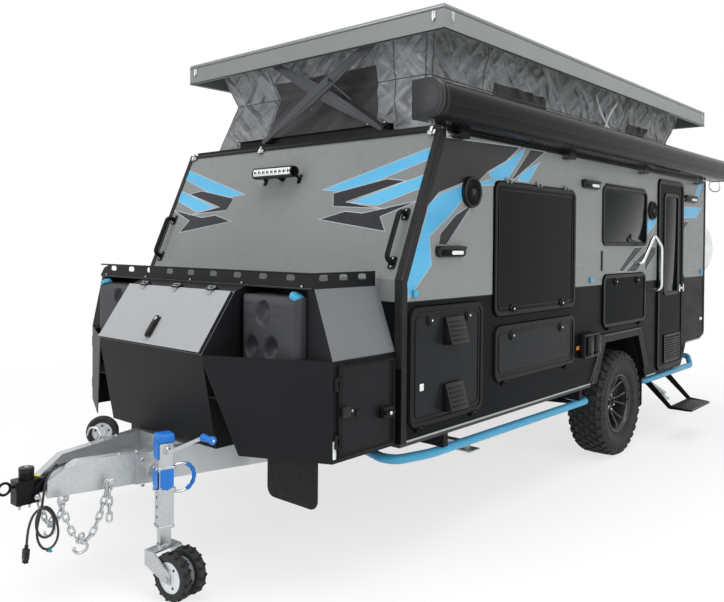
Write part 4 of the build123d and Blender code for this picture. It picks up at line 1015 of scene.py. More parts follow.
@dataclass(frozen=True)
class Cloth(Finish):
    """Woven, coated cloth with crossing threads, a slight sheen and, where it hangs, slanted drapes; its
    colour holds painted shade in the wrinkles and painted highlights on the drapes' crests.
    """

    name: str
    # light is the painted lit tone of wrinkle tops and crests; dark is the painted shade in the hollows
    light: str
    dark: str
    thread: float = 900.0
    rough: float = 0.55
    sheen: float = 0.25
    crumple: float = 1.0
    drape: float = 0.0
    slant: float = 1.15
    over: float = 3.3
    along: float = 0.55
    crest: float = 0.13

    def drapes(self, r: Recipe, across: object, up: object, swap: float) -> bpy.types.NodeSocket:
        """Height of long slanted ridges, for one of the two slants.

        Args:
            r: the material's recipe.
            across: coordinate along the wall.
            up: height coordinate.
            swap: 1 or -1 for the slant's direction.

        Returns:
            A ridged noise, 1 on the crests, that changes quickly over the slant and slowly along it.
        """
        lean = r.math("MULTIPLY", up, self.slant * swap)
        place = r.node("ShaderNodeCombineXYZ")
        r.feed(place.inputs[0], r.math("MULTIPLY", r.math("ADD", across, lean), self.over))
        r.feed(place.inputs[1], r.math("MULTIPLY", r.math("SUBTRACT", across, lean), self.along))
        r.feed(place.inputs[2], 3.0 * swap)
        cloud = r.noise(1.0, 2.0, place.outputs[0], 0.45)
        off = r.math("ABSOLUTE", r.math("SUBTRACT", cloud, 0.5))
        return r.between(off, 0.0, self.crest, 1.0, 0.0)

    def mix(self) -> bpy.types.Material:
        """Threads are the larger of two sine ridges; wrinkles come from a stretched noise, which also
        paints shade in their hollows and light on their tops.

        Returns:
            The material.
        """
        r = Recipe(self.name)
        where = r.mapped()
        across = r.math("ADD", r.axis(where, "X"), r.axis(where, "Y"))
        warp = r.math("ABSOLUTE", r.math("SINE", r.math("MULTIPLY", across, self.thread)))
        weft = r.math("ABSOLUTE", r.math("SINE", r.math("MULTIPLY", r.axis(where, "Z"), self.thread)))
        weave = r.math("MAXIMUM", warp, weft)
        crease = r.noise(5.0, 6.0, r.mapped((1.0, 1.0, 2.2), (0.6, 0.4, 0.0)), 0.6)
        fine = r.noise(19.0, 4.0, r.mapped((1.0, 1.0, 1.7), (0.9, 0.2, 0.0)), 0.6)
        # painted shade and light: hollows of the wrinkle relief take the dark colour and its tops the light
        # one
        colour = r.blend(r.between(crease, 0.3, 0.7, 0.0, 1.0), tint(self.dark), tint(self.light))
        weft_relief = r.bump(fine, 0.004 * self.crumple, 0.6, r.bump(weave, 0.0003, 0.6))
        relief = r.bump(crease, 0.02 * self.crumple, 0.6, weft_relief)
        if self.drape:
            up = r.axis(where, "Z")
            crest = r.math("MAXIMUM", self.drapes(r, across, up, 1.0), self.drapes(r, across, up, -1.0))
            # painted highlight: drape crests are lightened towards 1.7 times the light colour
            painted_crest_highlight = r.math("MULTIPLY", r.math("POWER", crest, 2.0), 0.55)
            colour = r.blend(painted_crest_highlight, colour, tint(self.light, 1.7))
            relief = r.bump(crest, self.drape, 0.9, relief)
        rough = r.between(fine, 0.3, 0.7, self.rough - 0.1, self.rough + 0.1)
        return r.finish(colour, rough, relief, sheen_weight=self.sheen)


@dataclass(frozen=True)
class Screen(Finish):
    """Insect mesh: dark threads over darker gaps; the gaps' near black is painted shade of the inside, and
    the folds carry painted shade.
    """

    name: str = "insect_mesh"
    thread: str = "3c3e40"
    # gap: painted shade of the inside, seen through the holes
    gap: str = "121314"
    pitch: float = 1400.0

    def mix(self) -> bpy.types.Material:
        """A square grid of sine ridges picks thread or gap; in the folds' hollows the threads are painted
        darker, as shade.

        Returns:
            The material.
        """
        r = Recipe(self.name)
        where = r.mapped()
        across = r.math("ADD", r.axis(where, "X"), r.axis(where, "Y"))
        warp = r.math("ABSOLUTE", r.math("SINE", r.math("MULTIPLY", across, self.pitch)))
        weft = r.math("ABSOLUTE", r.math("SINE", r.math("MULTIPLY", r.axis(where, "Z"), self.pitch)))
        ridge = r.math("MAXIMUM", warp, weft)
        fold = r.noise(6.0, 5.0, r.mapped((1.0, 1.0, 2.0), (0.6, 0.3, 0.0)))
        # painted shade: threads fade to the gap colour where the fold relief is low
        colour = r.blend(r.math("MULTIPLY", ridge, fold), tint(self.gap), tint(self.thread))
        return r.finish(colour, 0.6, r.bump(ridge, 0.0003, 0.6, r.bump(fold, 0.02, 0.5)))


@dataclass(frozen=True)
class Lens(Finish):
    """A pressed lamp lens with fine ribs."""

    name: str
    colour: str
    rib: float = 900.0

    def mix(self) -> bpy.types.Material:
        """Sine ribs across the lens break up its shine.

        Returns:
            The material.
        """
        r = Recipe(self.name)
        ribs = r.math("SINE", r.math("MULTIPLY", r.axis(r.mapped(), "Y"), self.rib))
        colour = r.blend(r.noise(80.0), tint(self.colour, 0.85), tint(self.colour, 1.1))
        return r.finish(colour, 0.12, r.bump(ribs, 0.0006, 0.5), coat_weight=0.5)


@dataclass(frozen=True)
class Sheath(Finish):
    """Cable sheath: smooth rubber with a faint twist of the cores."""

    name: str = "cable_sheath"
    colour: str = "1b1a1e"

    def mix(self) -> bpy.types.Material:
        """A stretched, slanted noise gives the twist.

        Returns:
            The material.
        """
        r = Recipe(self.name)
        twist = r.noise(30.0, 2.0, r.mapped((1.0, 1.0, 3.0), (0.5, 0.5, 0.0)))
        colour = r.blend(twist, tint(self.colour, 0.8), tint(self.colour, 1.5))
        return r.finish(colour, r.between(twist, 0.3, 0.7, 0.32, 0.48), r.bump(twist, 0.0006, 0.4))


@dataclass(frozen=True)
class BoardLining(Finish):
    """Interior board: laminate or vinyl plank with a fine grain along y and, where given, a darker colour
    on faces that don't look up.
    """

    name: str
    colour: str
    grain: str
    side_colour: str = ""

    def mix(self) -> bpy.types.Material:
        """Noise stretched along y makes the grain; faces that don't look up can take a darker colour.

        Returns:
            The material.
        """
        r = Recipe(self.name)
        grain = r.noise(1.0, 6.0, r.mapped((60.0, 3.0, 60.0)), 0.6)
        colour = r.blend(r.between(grain, 0.35, 0.65, 0.0, 1.0), tint(self.colour), tint(self.grain))
        # faces that don't look up, such as the floor's edges and underside, take the darker side colour
        if self.side_colour:
            facing = r.axis(r.node("ShaderNodeTexCoord").outputs["Normal"], "Z")
            colour = r.blend(r.math("GREATER_THAN", facing, 0.5), tint(self.side_colour), colour)
        return r.finish(colour, 0.45, r.bump(grain, 0.0002, 0.5))


BODY_PAINT = TwoTonePaint()
ROOF_PAINT = SatinPaint("roof_paint", "7d8180", 0.34, shine=0.4)
PANEL_BLACK = SatinPaint("panel_black", "101214", 0.16, 0.04, 0.00002, 0.014)
HATCH_DARK = SatinPaint("hatch_dark", "1e2022", 0.26, 0.04, 0.00003, 0.09)
GLOSS_BLACK = Gloss("gloss_black", "0c0d0f", 0.05, 0.05)
FRAME_BLACK = SatinPaint("frame_black", "111214", 0.3, shine=0.12)
GLASS_DARK = Gloss("tinted_glass", "121618", 0.04, 0.08)
# The slope colours of the two box coats are a painted sheen of light from above on faces that lean back.
BOX_COAT = PowderCoat("box_coat", "151618", 0.42, slope="707375")
BOX_LID_COAT = PowderCoat("box_lid_coat", "232427", 0.34, slope="a2a3a4")
LIFT_COAT = PowderCoat("lift_coat", "4c4d50", 0.45, 700.0, 0.0002)
CHASSIS_COAT = PowderCoat("chassis_coat", "131414", 0.5)
AWNING_COAT = SatinPaint("awning_coat", "121315", 0.22, 0.04, 0.00002, 0.065)
AWNING_CAP = SatinPaint("awning_cap", "2b2c2e", 0.30, shine=0.2)
ZINC = Galvanised()
PLATED = BrushedMetal("plated_steel", "b9bdc0", 0.28)
CHROME = BrushedMetal("polished_steel", "dcdfe0", 0.12)
ALLOY = BrushedMetal("alloy_trim", "a9adae", 0.3)
DARK_STEEL = BrushedMetal("dark_steel", "44474a", 0.34)
RAIL_BLUE = SatinPaint("rail_blue", "4a9fc4", 0.34, 0.14)
JOCKEY_BLUE = Moulded("jockey_blue", "1f73c9", 0.34)
TYRE_RUBBER = Rubber("tyre_rubber", "2c2d2e", "47484a")
TRIM_RUBBER = Rubber("trim_rubber", "161718", "2a2b2c", 0.6)
BLACK_PLASTIC = Moulded("black_plastic", "131416", 0.42)
CAN_PLASTIC = Moulded("can_plastic", "36373a", 0.46)
TANK_PLASTIC = Moulded("tank_plastic", "5d6163", 0.5)
# Cloths: the first colour is the painted lit tone of wrinkle tops, the second the painted shade in their
# hollows.
COVER_VINYL = Cloth("cover_vinyl", "f2f4f3", "d9dddb", 500.0, 0.42, 0.1, 0.3)
CANVAS_CLOTH = Cloth("canvas_cloth", "828486", "5d5f61", 900.0, 0.32, 0.3, 0.8, 0.045)
CANVAS_DARK = Cloth("canvas_dark", "3a3c3c", "232425")
STRAP_CLOTH = Cloth("strap_cloth", "d9dbdb", "b5b8b8", 1500.0, 0.6, 0.1)
MESH_SCREEN = Screen()
LENS_PALE = Lens("pale_lens", "e6e9e6")
LENS_AMBER = Lens("amber_lens", "d8862a")
LENS_RED = Lens("red_lens", "a8201c")
SKY_FILM = Film("sky_film", "5fb3da", "4a9cc6")
DARK_FILM = Film("dark_film", "232427", "1a1b1d")
PALE_FILM = Film("pale_film", "b4bbbe", "9aa2a6")
LINING = BoardLining("cabin_lining", "b9b7b0", "a6a49c")
FLOOR_BOARD = BoardLining("floor_board", "7a6a57", "5f5243", "151617")
RIM_COAT = SatinPaint("rim_coat", "2c2d2f", 0.28, shine=0.5)
YELLOW_TAG = Moulded("yellow_tag", "d8d21c", 0.4)
TEAL_TAG = Moulded("teal_tag", "1f8f97", 0.4)
WHITE_RIM = Moulded("white_rim", "d9dcdd", 0.38)
LABEL_PALE = SatinPaint("label_pale", "c9cccd", 0.4)
CABLE_SHEATH = Sheath()


# ---------------------------------------------------------------------------------------- studio
@dataclass
class Studio:
    """Camera, soft lights, pale floor and white surroundings."""

    eye: tuple = (3.3554, -2.8614, 1.6162)
    heading: float = 41.429
    dip: float = 0.851
    roll: float = 0.4131
    lens: float = 37.26
    shift_y: float = -0.0654
    floor_glow: float = 0.72
    fade: tuple = (3.2, 6.5)

    def camera(self) -> None:
        """Camera axes: heading is turned left from +y, dip is below level, roll is clockwise."""
        yaw, pitch, roll = radians(self.heading), radians(self.dip), radians(self.roll)
        ahead = Vector((-sin(yaw) * cos(pitch), cos(yaw) * cos(pitch), -sin(pitch)))
        right = Vector((cos(yaw), sin(yaw), 0.0))
        above = right.cross(ahead)
        right2 = right * cos(roll) + above * sin(roll)
        above2 = above * cos(roll) - right * sin(roll)
        camera = bpy.data.objects.new("camera", bpy.data.cameras.new("camera"))
        camera.data.lens = self.lens
        camera.data.sensor_width = 36.0
        camera.data.shift_y = self.shift_y
        camera.data.clip_end = 400.0
        turn = Matrix((right2, above2, -ahead)).transposed().to_4x4()
        camera.matrix_world = Matrix.Translation(Vector(self.eye) - Vector(ORIGIN)) @ turn
        bpy.context.scene.collection.objects.link(camera)
        bpy.context.scene.camera = camera

    def lamp(self, name: str, place: tuple, target: tuple, size: float, power: float) -> None:
        """A large square area lamp that looks at a target.

        Args:
            name: the lamp's name.
            place: where it hangs.
            target: what it looks at.
            size: side of its square.
            power: watts.
        """
        lamp = bpy.data.objects.new(name, bpy.data.lights.new(name, "AREA"))
        lamp.data.energy = power
        lamp.data.size = size
        aim = Vector(target) - Vector(place)
        lamp.matrix_world = Matrix.Translation(place) @ aim.to_track_quat("-Z", "Y").to_matrix().to_4x4()
        bpy.context.scene.collection.objects.link(lamp)

    def lights(self) -> None:
        """An even grey-white sky, a broad lamp above and a softer one each side."""
        world = bpy.context.scene.world or bpy.data.worlds.new("world")
        bpy.context.scene.world = world
        world.use_nodes = True
        tree = world.node_tree
        tree.nodes.clear()
        path = tree.nodes.new("ShaderNodeLightPath")
        seen = tree.nodes.new("ShaderNodeMath")
        seen.operation = "MAXIMUM"
        seen_too = tree.nodes.new("ShaderNodeMath")
        seen_too.operation = "MAXIMUM"
        tree.links.new(path.outputs["Is Camera Ray"], seen.inputs[0])
        tree.links.new(path.outputs["Is Transmission Ray"], seen.inputs[1])
        tree.links.new(seen.outputs[0], seen_too.inputs[0])
        tree.links.new(path.outputs["Is Glossy Ray"], seen_too.inputs[1])
        plain = tree.nodes.new("ShaderNodeBackground")
        plain.inputs["Color"].default_value = (0.92, 0.96, 1.0, 1.0)
        plain.inputs["Strength"].default_value = 0.42
        white = tree.nodes.new("ShaderNodeBackground")
        white.inputs["Color"].default_value = (1.0, 1.0, 1.0, 1.0)
        white.inputs["Strength"].default_value = 1.0
        either = tree.nodes.new("ShaderNodeMixShader")
        out = tree.nodes.new("ShaderNodeOutputWorld")
        tree.links.new(seen_too.outputs[0], either.inputs[0])
        tree.links.new(plain.outputs[0], either.inputs[1])
        tree.links.new(white.outputs[0], either.inputs[2])
        tree.links.new(either.outputs[0], out.inputs["Surface"])
        self.lamp("lamp_above", (0.5, -0.5, 8.0), (0, 0, 1.2), 8.0, 620.0)
        self.lamp("lamp_side", (8.5, -1.5, 4.5), (0.5, 0.5, 1.2), 6.0, 300.0)
        self.lamp("lamp_front", (-2.5, -10.0, 4.5), (0, -1.0, 1.3), 6.0, 330.0)

    def floor(self) -> None:
        """A wide pale floor that keeps soft shadows and turns into the white surroundings far out."""
        half = 150.0
        mesh = bpy.data.meshes.new("floor_stage")
        mesh.from_pydata([(-half, -half, -0.001), (half, -half, -0.001), (half, half, -0.001),
                          (-half, half, -0.001)], [], [(0, 1, 2, 3)])
        recipe = Recipe("floor_stage")
        tree = recipe.tree
        recipe.finish(tint("f7f7f7"), 0.9)
        path = recipe.node("ShaderNodeLightPath")
        glow = recipe.node("ShaderNodeEmission")
        glow.inputs["Color"].default_value = (1.0, 1.0, 1.0, 1.0)
        seen = recipe.math("MAXIMUM", path.outputs["Is Camera Ray"], path.outputs["Is Glossy Ray"])
        seen = recipe.math("MAXIMUM", seen, path.outputs["Is Transmission Ray"])
        where = recipe.objects
        away = recipe.math("SQRT", recipe.math("ADD", recipe.math("POWER", recipe.axis(where, "X"), 2.0),
                                               recipe.math("POWER", recipe.axis(where, "Y"), 2.0)))
        glow_share = recipe.between(away, self.fade[0], self.fade[1], self.floor_glow, 1.0)
        share = recipe.math("MULTIPLY", seen, glow_share)
        either = recipe.node("ShaderNodeMixShader")
        recipe.feed(either.inputs[0], share)
        tree.links.new(recipe.shader.outputs[0], either.inputs[1])
        tree.links.new(glow.outputs[0], either.inputs[2])
        tree.links.new(either.outputs[0], tree.nodes["Material Output"].inputs["Surface"])
        mesh.materials.append(recipe.material)
        floor = bpy.data.objects.new("floor_stage", mesh)
        bpy.context.scene.collection.objects.link(floor)

    def build(self) -> None:
        """Set the camera, the lights and the floor."""
        bpy.context.scene.view_settings.view_transform = "Standard"
        self.camera()
        self.lights()
        self.floor()


# ----------------------------------------------------------------------------------------- cable
@dataclass
class TrailerCable:
    """The trailer cable: one smooth line along the drawbar, two hanging loops, tags and plug."""

    diameter: float = 0.011
    length: float = 1.773
    route: tuple = ((40, -652, 560), (40, -700, 557), (42, -760, 544), (37, -825, 539),
                    (25, -890, 538), (13, -950, 539), (8, -1010, 543), (12, -1065, 552),
                    (20, -1118, 568), (34, -1163, 580), (46, -1206, 582), (59, -1248, 569),
                    (69, -1279, 534), (72, -1290, 484), (73, -1297, 430), (74, -1312, 378),
                    (75, -1325, 320), (76, -1318, 262), (77, -1288, 222), (79, -1249, 226),
                    (81, -1226, 268), (83, -1230, 322), (85, -1245, 372), (86, -1268, 410),
                    (88, -1297, 427), (90, -1325, 405), (92, -1337, 360), (94, -1328, 313),
                    (96, -1300, 284), (98, -1267, 292), (100, -1253, 332), (102, -1262, 380),
                    (103, -1288, 415), (105, -1322, 428), (107, -1355, 408), (109, -1374, 366),
                    (110, -1382, 322), (110, -1385, 284))

    def line(self) -> bpy.types.Object:
        """The cable as one open curve whose control points are the route, in metres.

        Returns:
            The cable's curve.
        """
        points = np.array(self.route, float) / 1000 - ORIGIN
        curve = bpy.data.curves.new("trailer_cable_line", "CURVE")
        curve.dimensions = "3D"
        spline = curve.splines.new("NURBS")
        spline.points.add(len(points) - 1)
        spline.points.foreach_set("co", np.c_[points, np.ones(len(points))].ravel())
        spline.order_u = 3
        spline.use_endpoint_u = True
        spline.resolution_u = 10
        curve.bevel_depth = self.diameter / 2
        curve.bevel_resolution = 3
        curve.use_fill_caps = True
        curve.materials.append(CABLE_SHEATH.material())
        cable = bpy.data.objects.new("trailer_cable_line", curve)
        bpy.context.scene.collection.objects.link(cable)
        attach(cable, "body")
        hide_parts("trailer_cable")
        return cable

    def plug(self) -> bpy.types.Object:
        """Flat seven-way plug with a ribbed boot, pointing down.

        Returns:
            The plug's object.
        """
        end = np.array(self.route[-1], float) / 1000
        run = end - np.array(self.route[-2], float) / 1000
        w = run / np.linalg.norm(run)
        u = np.cross((0.0, 1.0, 0.0), w)
        u /= np.linalg.norm(u)
        place = Place(tuple(end), tuple(u), tuple(np.cross(w, u)), tuple(w))
        ribs = tuple((0.0088 - 0.0018 * (k % 2), 0.0005 + 0.0018 * k) for k in range(9))
        boot = turned(((0.0062, -0.001),) + ribs + ((0.0088, 0.0165),), place, 20)
        start = tuple(end + w * 0.0155)
        body_place = Place(start, tuple(u), tuple(np.cross(w, u)), tuple(w))
        body = slab(round_rect(-0.0165, 0.0165, -0.0115, 0.0115, 0.005), body_place, 0.046, 0.003)
        collar = slab(round_rect(-0.0169, 0.0169, -0.0119, 0.0119, 0.005),
                      Place(tuple(end + w * 0.03), tuple(u), tuple(np.cross(w, u)), tuple(w)),
                      0.006, 0.001)
        nose = slab(round_rect(-0.0140, 0.0140, -0.0095, 0.0095, 0.004),
                    Place(tuple(end + w * 0.060), tuple(u), tuple(np.cross(w, u)), tuple(w)),
                    0.0165, 0.001)
        piece = Piece("seven_way_plug", "body", "black_plastic")
        piece.add(BLACK_PLASTIC, body, boot).add(TRIM_RUBBER, collar, nose)
        return piece.make(replaces=("cable_plug",))

    def tags(self) -> list:
        """Two folded teal tags on the cable, one on the drawbar and one on a hanging loop.

        Returns:
            The two tags' objects.
        """
        made = []
        for number, (x, y, z, turn) in enumerate(((0.0115, -1.030, 0.5445, 0.2),
                                                  (0.077, -1.270, 0.2185, 0.5))):
            u = (cos(turn), 0.0, -sin(turn))
            w = (0.0, 1.0, 0.0)
            v = tuple(np.cross(w, u))
            fold = Place((x, y - 0.0075, z), u, v, w)
            collar = ring_slab(circle(0.0082, 20), fold, 0.0023, 0.015, 0.0006)
            leaf = slab(round_rect(-0.002, 0.022, -0.009, -0.0065, 0.0008, 3), fold, 0.015, 0.0005)
            piece = Piece(f"cable_tag_{number + 1}", "body", "cable")
            made.append(piece.add(TEAL_TAG, collar, leaf).make())
        return made

    def build(self) -> None:
        cable = self.line()
        plug = self.plug()
        tags = self.tags()


# ------------------------------------------------------------------------------------------ body
@dataclass
class BodyTrims:
    """Corner strips, edge lines, coloured films and small brackets on the body shell."""

    strip: float = 0.042
    proud: float = 0.004
    edge_line: float = 0.010

    def strips(self) -> None:
        """Ribbed black strips down both front corners and up the slope edges."""
        profile = polygon(((-0.021, 0.0), (-0.021, 0.003), (-0.014, 0.005), (-0.007, 0.003),
                           (0.0, 0.005), (0.007, 0.003), (0.014, 0.005), (0.021, 0.003), (0.021, 0.0)))
        run = SLOPE_BACK / (BODY_TOP - KNEE_Z)
        inset = self.strip / 2
        low = (HALF_W - 0.0005, inset, 0.634)
        knee = (HALF_W - 0.0005, inset, KNEE_Z - 0.01)
        top = (HALF_W - 0.0005, inset + run * (BODY_TOP - KNEE_Z - 0.012) + 0.004, BODY_TOP - 0.004)
        side = carried(profile, np.array([low, knee, top]), (1, 0, 0))
        front_low = (HALF_W - inset, 0.0005, 1.0)
        front_knee = (HALF_W - inset, 0.0005, KNEE_Z)
        lean = slope_place(HALF_W - inset, BODY_TOP - 0.012)
        front = carried(profile, np.array([front_low, front_knee, lean.origin]), (0, -1, 0.2))
        rear_low = (HALF_W - 0.0005, BODY_LEN - inset, 0.80)
        rear_top = (HALF_W - 0.0005, BODY_LEN - inset, BODY_TOP - 0.004)
        rear = carried(profile, np.array([rear_low, rear_top]), (1, 0, 0))
        piece = Piece("corner_strips", "body", "rubber")
        piece.add_mirrored(TRIM_RUBBER, side, front, rear).make(20)

    def lines(self) -> None:
        """Aluminium edging along the bottom of the walls, round the arches and under the roof rim."""
        half = self.edge_line / 2
        profile = polygon(((-half, 0.0), (-half, 0.0025), (0.0, 0.0035), (half, 0.0025), (half, 0.0)))
        x = HALF_W - 0.0005
        bottom = (((x, 0.044, 0.636), (x, 2.140, 0.636)),
                  ((x, 3.175, 0.556), (x, 3.375, 0.556)),
                  ((x, 4.115, 0.741), (x, 4.49, 0.741), (x, 4.612, 0.780)))
        arch = ((x + 0.0095, 2.105, 0.640), (x + 0.0095, 2.338, 0.958), (x + 0.0095, 3.014, 0.958),
                (x + 0.0095, 3.180, 0.640))
        skins = [carried(profile, np.array(run, float), (1, 0, 0)) for run in bottom]
        piece = Piece("edge_lines", "body", "steel")
        piece.add_mirrored(ALLOY, *skins)
        piece.add_mirrored(DARK_STEEL, carried(profile, np.array(arch, float), (1, 0, 0))).make(25)
        top = slab(polygon(((0.36, 2.196), (BODY_LEN - 0.01, 2.196), (BODY_LEN - 0.01, 2.217),
                            (0.37, 2.217))),
                   side_place(Side.NEAR), 0.006, 0.002)
        brow = slab(round_rect(-1.085, 1.085, -0.022, 0.0, 0.004, 2), slope_place(0.0, BODY_TOP - 0.004),
                    0.008)
        Piece("top_edging", "body", "grey_panel").add_mirrored(FRAME_BLACK, top).add(FRAME_BLACK,
                                                                                     brow).make()

    def brackets(self) -> None:
        """Small plated toggle brackets at the top front corners and along the brow."""
        piece = Piece("corner_brackets", "body", "steel")
        for x in (1.03, -1.03, -0.32):
            place = slope_place(x, 2.192, 0.008)
            piece.add(PLATED, slab(round_rect(-0.026, 0.026, -0.013, 0.013, 0.010), place, 0.006),
                      slab(round_rect(-0.010, 0.010, -0.020, 0.030, 0.006), place, 0.014, 0.003))
            piece.add(CHROME, turned(((0.007, 0.0), (0.007, 0.016), (0.004, 0.018)), place, 16))
        for side in Side:
            place = side_place(side, 0.375, 2.19)
            piece.add(PLATED, slab(round_rect(-0.020, 0.020, -0.020, 0.016, 0.006), place, 0.009))
            piece.add(CHROME, bolt_head((side.value * (HALF_W + 0.009), 0.375, 2.187), (side.value, 0, 0)))
        piece.make()

    def film(self, name: str, place: Place, stripes: tuple) -> None:
        """Cut films laid on a face, each with a pale border a few millimetres wide.

        Args:
            name: the piece's name.
            place: the face, whose first two axes hold the outlines.
            stripes: (finish, outline) pairs.
        """
        piece = Piece(name, "body", "grey_panel")
        for level, (coat, outline) in enumerate(stripes):
            shape = polygon(outline)
            border = offset(shape, np.array([-0.005]))[0]
            lift = 0.0002 + 0.0003 * (level % 3)
            low = Place(tuple(place.at(0.0, 0.0, lift)), place.u, place.v, place.w)
            high = Place(tuple(place.at(0.0, 0.0, lift + 0.0001)), place.u, place.v, place.w)
            piece.add(PALE_FILM, slab(border, low, 0.0004, 0.0001, 2))
            piece.add(coat, slab(shape, high, 0.0006, 0.0001, 2))
        piece.make()

    def films(self) -> None:
        """Sky-blue and graphite sweeps on both sides and on the leaning front wall."""
        blue, dark = SKY_FILM, DARK_FILM
        side = ((dark, ((0.350, 2.165), (1.120, 2.190), (0.968, 2.098), (0.767, 2.020), (0.689, 1.968),
                        (0.526, 1.945), (0.300, 1.878), (0.208, 1.806))),
                (blue, ((0.046, 1.440), (0.198, 1.765), (0.212, 1.810), (0.305, 1.865), (0.526, 1.930),
                        (0.538, 1.872), (0.425, 1.779), (0.217, 1.649), (0.238, 1.504), (0.055, 1.345))),
                (dark, ((0.592, 1.811), (0.571, 1.812), (0.456, 1.764), (0.318, 1.664), (0.305, 1.610),
                        (0.368, 1.607))),
                (blue, ((0.678, 1.947), (0.826, 1.986), (0.838, 1.951), (0.689, 1.940))),
                (blue, ((0.783, 2.016), (0.968, 2.091), (1.183, 2.190), (1.158, 2.150), (0.977, 1.992),
                        (0.826, 1.979))),
                (dark, ((1.255, 2.190), (1.430, 2.192), (1.063, 2.000), (1.032, 1.994))),
                (blue, ((1.363, 2.118), (1.228, 1.994), (1.104, 1.994), (1.160, 2.044))),
                (blue, ((3.147, 1.769), (3.318, 1.912), (3.352, 1.930), (3.350, 1.791), (3.150, 1.698))),
                (dark, ((2.905, 1.590), (3.084, 1.596), (2.676, 1.412), (2.607, 1.418))),
                (dark, ((3.200, 1.596), (3.320, 1.596), (2.933, 1.405), (2.745, 1.410))),
                (dark, ((3.155, 1.531), (3.344, 1.600), (3.346, 1.539), (3.113, 1.402))),
                (blue, ((4.005, 1.948), (4.490, 1.960), (4.360, 1.868), (4.005, 1.859))),
                (blue, ((4.440, 2.188), (4.560, 2.188), (4.499, 2.147), (4.354, 2.024), (4.337, 2.093))),
                (dark, ((4.005, 1.820), (4.164, 1.825), (4.020, 1.752))))
        for which in Side:
            self.film(f"side_films_{which.name.lower()}", side_place(which, x=HALF_W), side)
        front = ((blue, ((0.356, 1.916), (1.045, 2.109), (1.062, 2.051), (0.571, 1.896))),
                 (blue, ((0.602, 1.836), (1.045, 1.961), (1.060, 1.900), (0.795, 1.815))),
                 (dark, ((0.442, 1.890), (0.809, 1.954), (0.932, 1.938), (0.551, 1.838), (0.787, 1.800),
                         (0.472, 1.818))),
                 (dark, ((0.400, 1.744), (0.573, 1.784), (0.704, 1.771), (1.040, 1.825), (0.831, 1.753),
                         (0.891, 1.677))))
        stretch = hypot(SLOPE_BACK, BODY_TOP - KNEE_Z) / (BODY_TOP - KNEE_Z)
        for which in Side:
            laid = tuple((coat, tuple((which.value * x, (z - KNEE_Z) * stretch) for x, z in outline))
                         for coat, outline in front)
            self.film(f"front_films_{which.name.lower()}", slope_place(0.0, KNEE_Z), laid)

    def build(self) -> None:
        """Make every trim of the body."""
        self.strips()
        self.lines()
        self.brackets()
        self.films()


@dataclass(frozen=True)
class PanelSize:
    """A hinged side panel: its body and its opening along y and z."""

    body: str
    side: Side
    y0: float
    y1: float
    z0: float
    z1: float


BOOT_NEAR = PanelSize("boot_hatch_left", Side.NEAR, 0.055, 0.720, 0.690, 1.295)
BOOT_FAR = PanelSize("boot_hatch_right", Side.FAR, 0.055, 0.720, 0.690, 1.295)
GALLEY = PanelSize("galley_hatch", Side.NEAR, 0.835, 1.860, 1.195, 1.975)
LOWER = PanelSize("lower_hatch", Side.NEAR, 0.845, 1.860, 0.815, 1.140)
SMALL = PanelSize("small_hatch", Side.NEAR, 2.315, 3.115, 1.010, 1.395)
DOOR = PanelSize("entry_door", Side.NEAR, 3.380, 3.980, 0.570, 2.160)


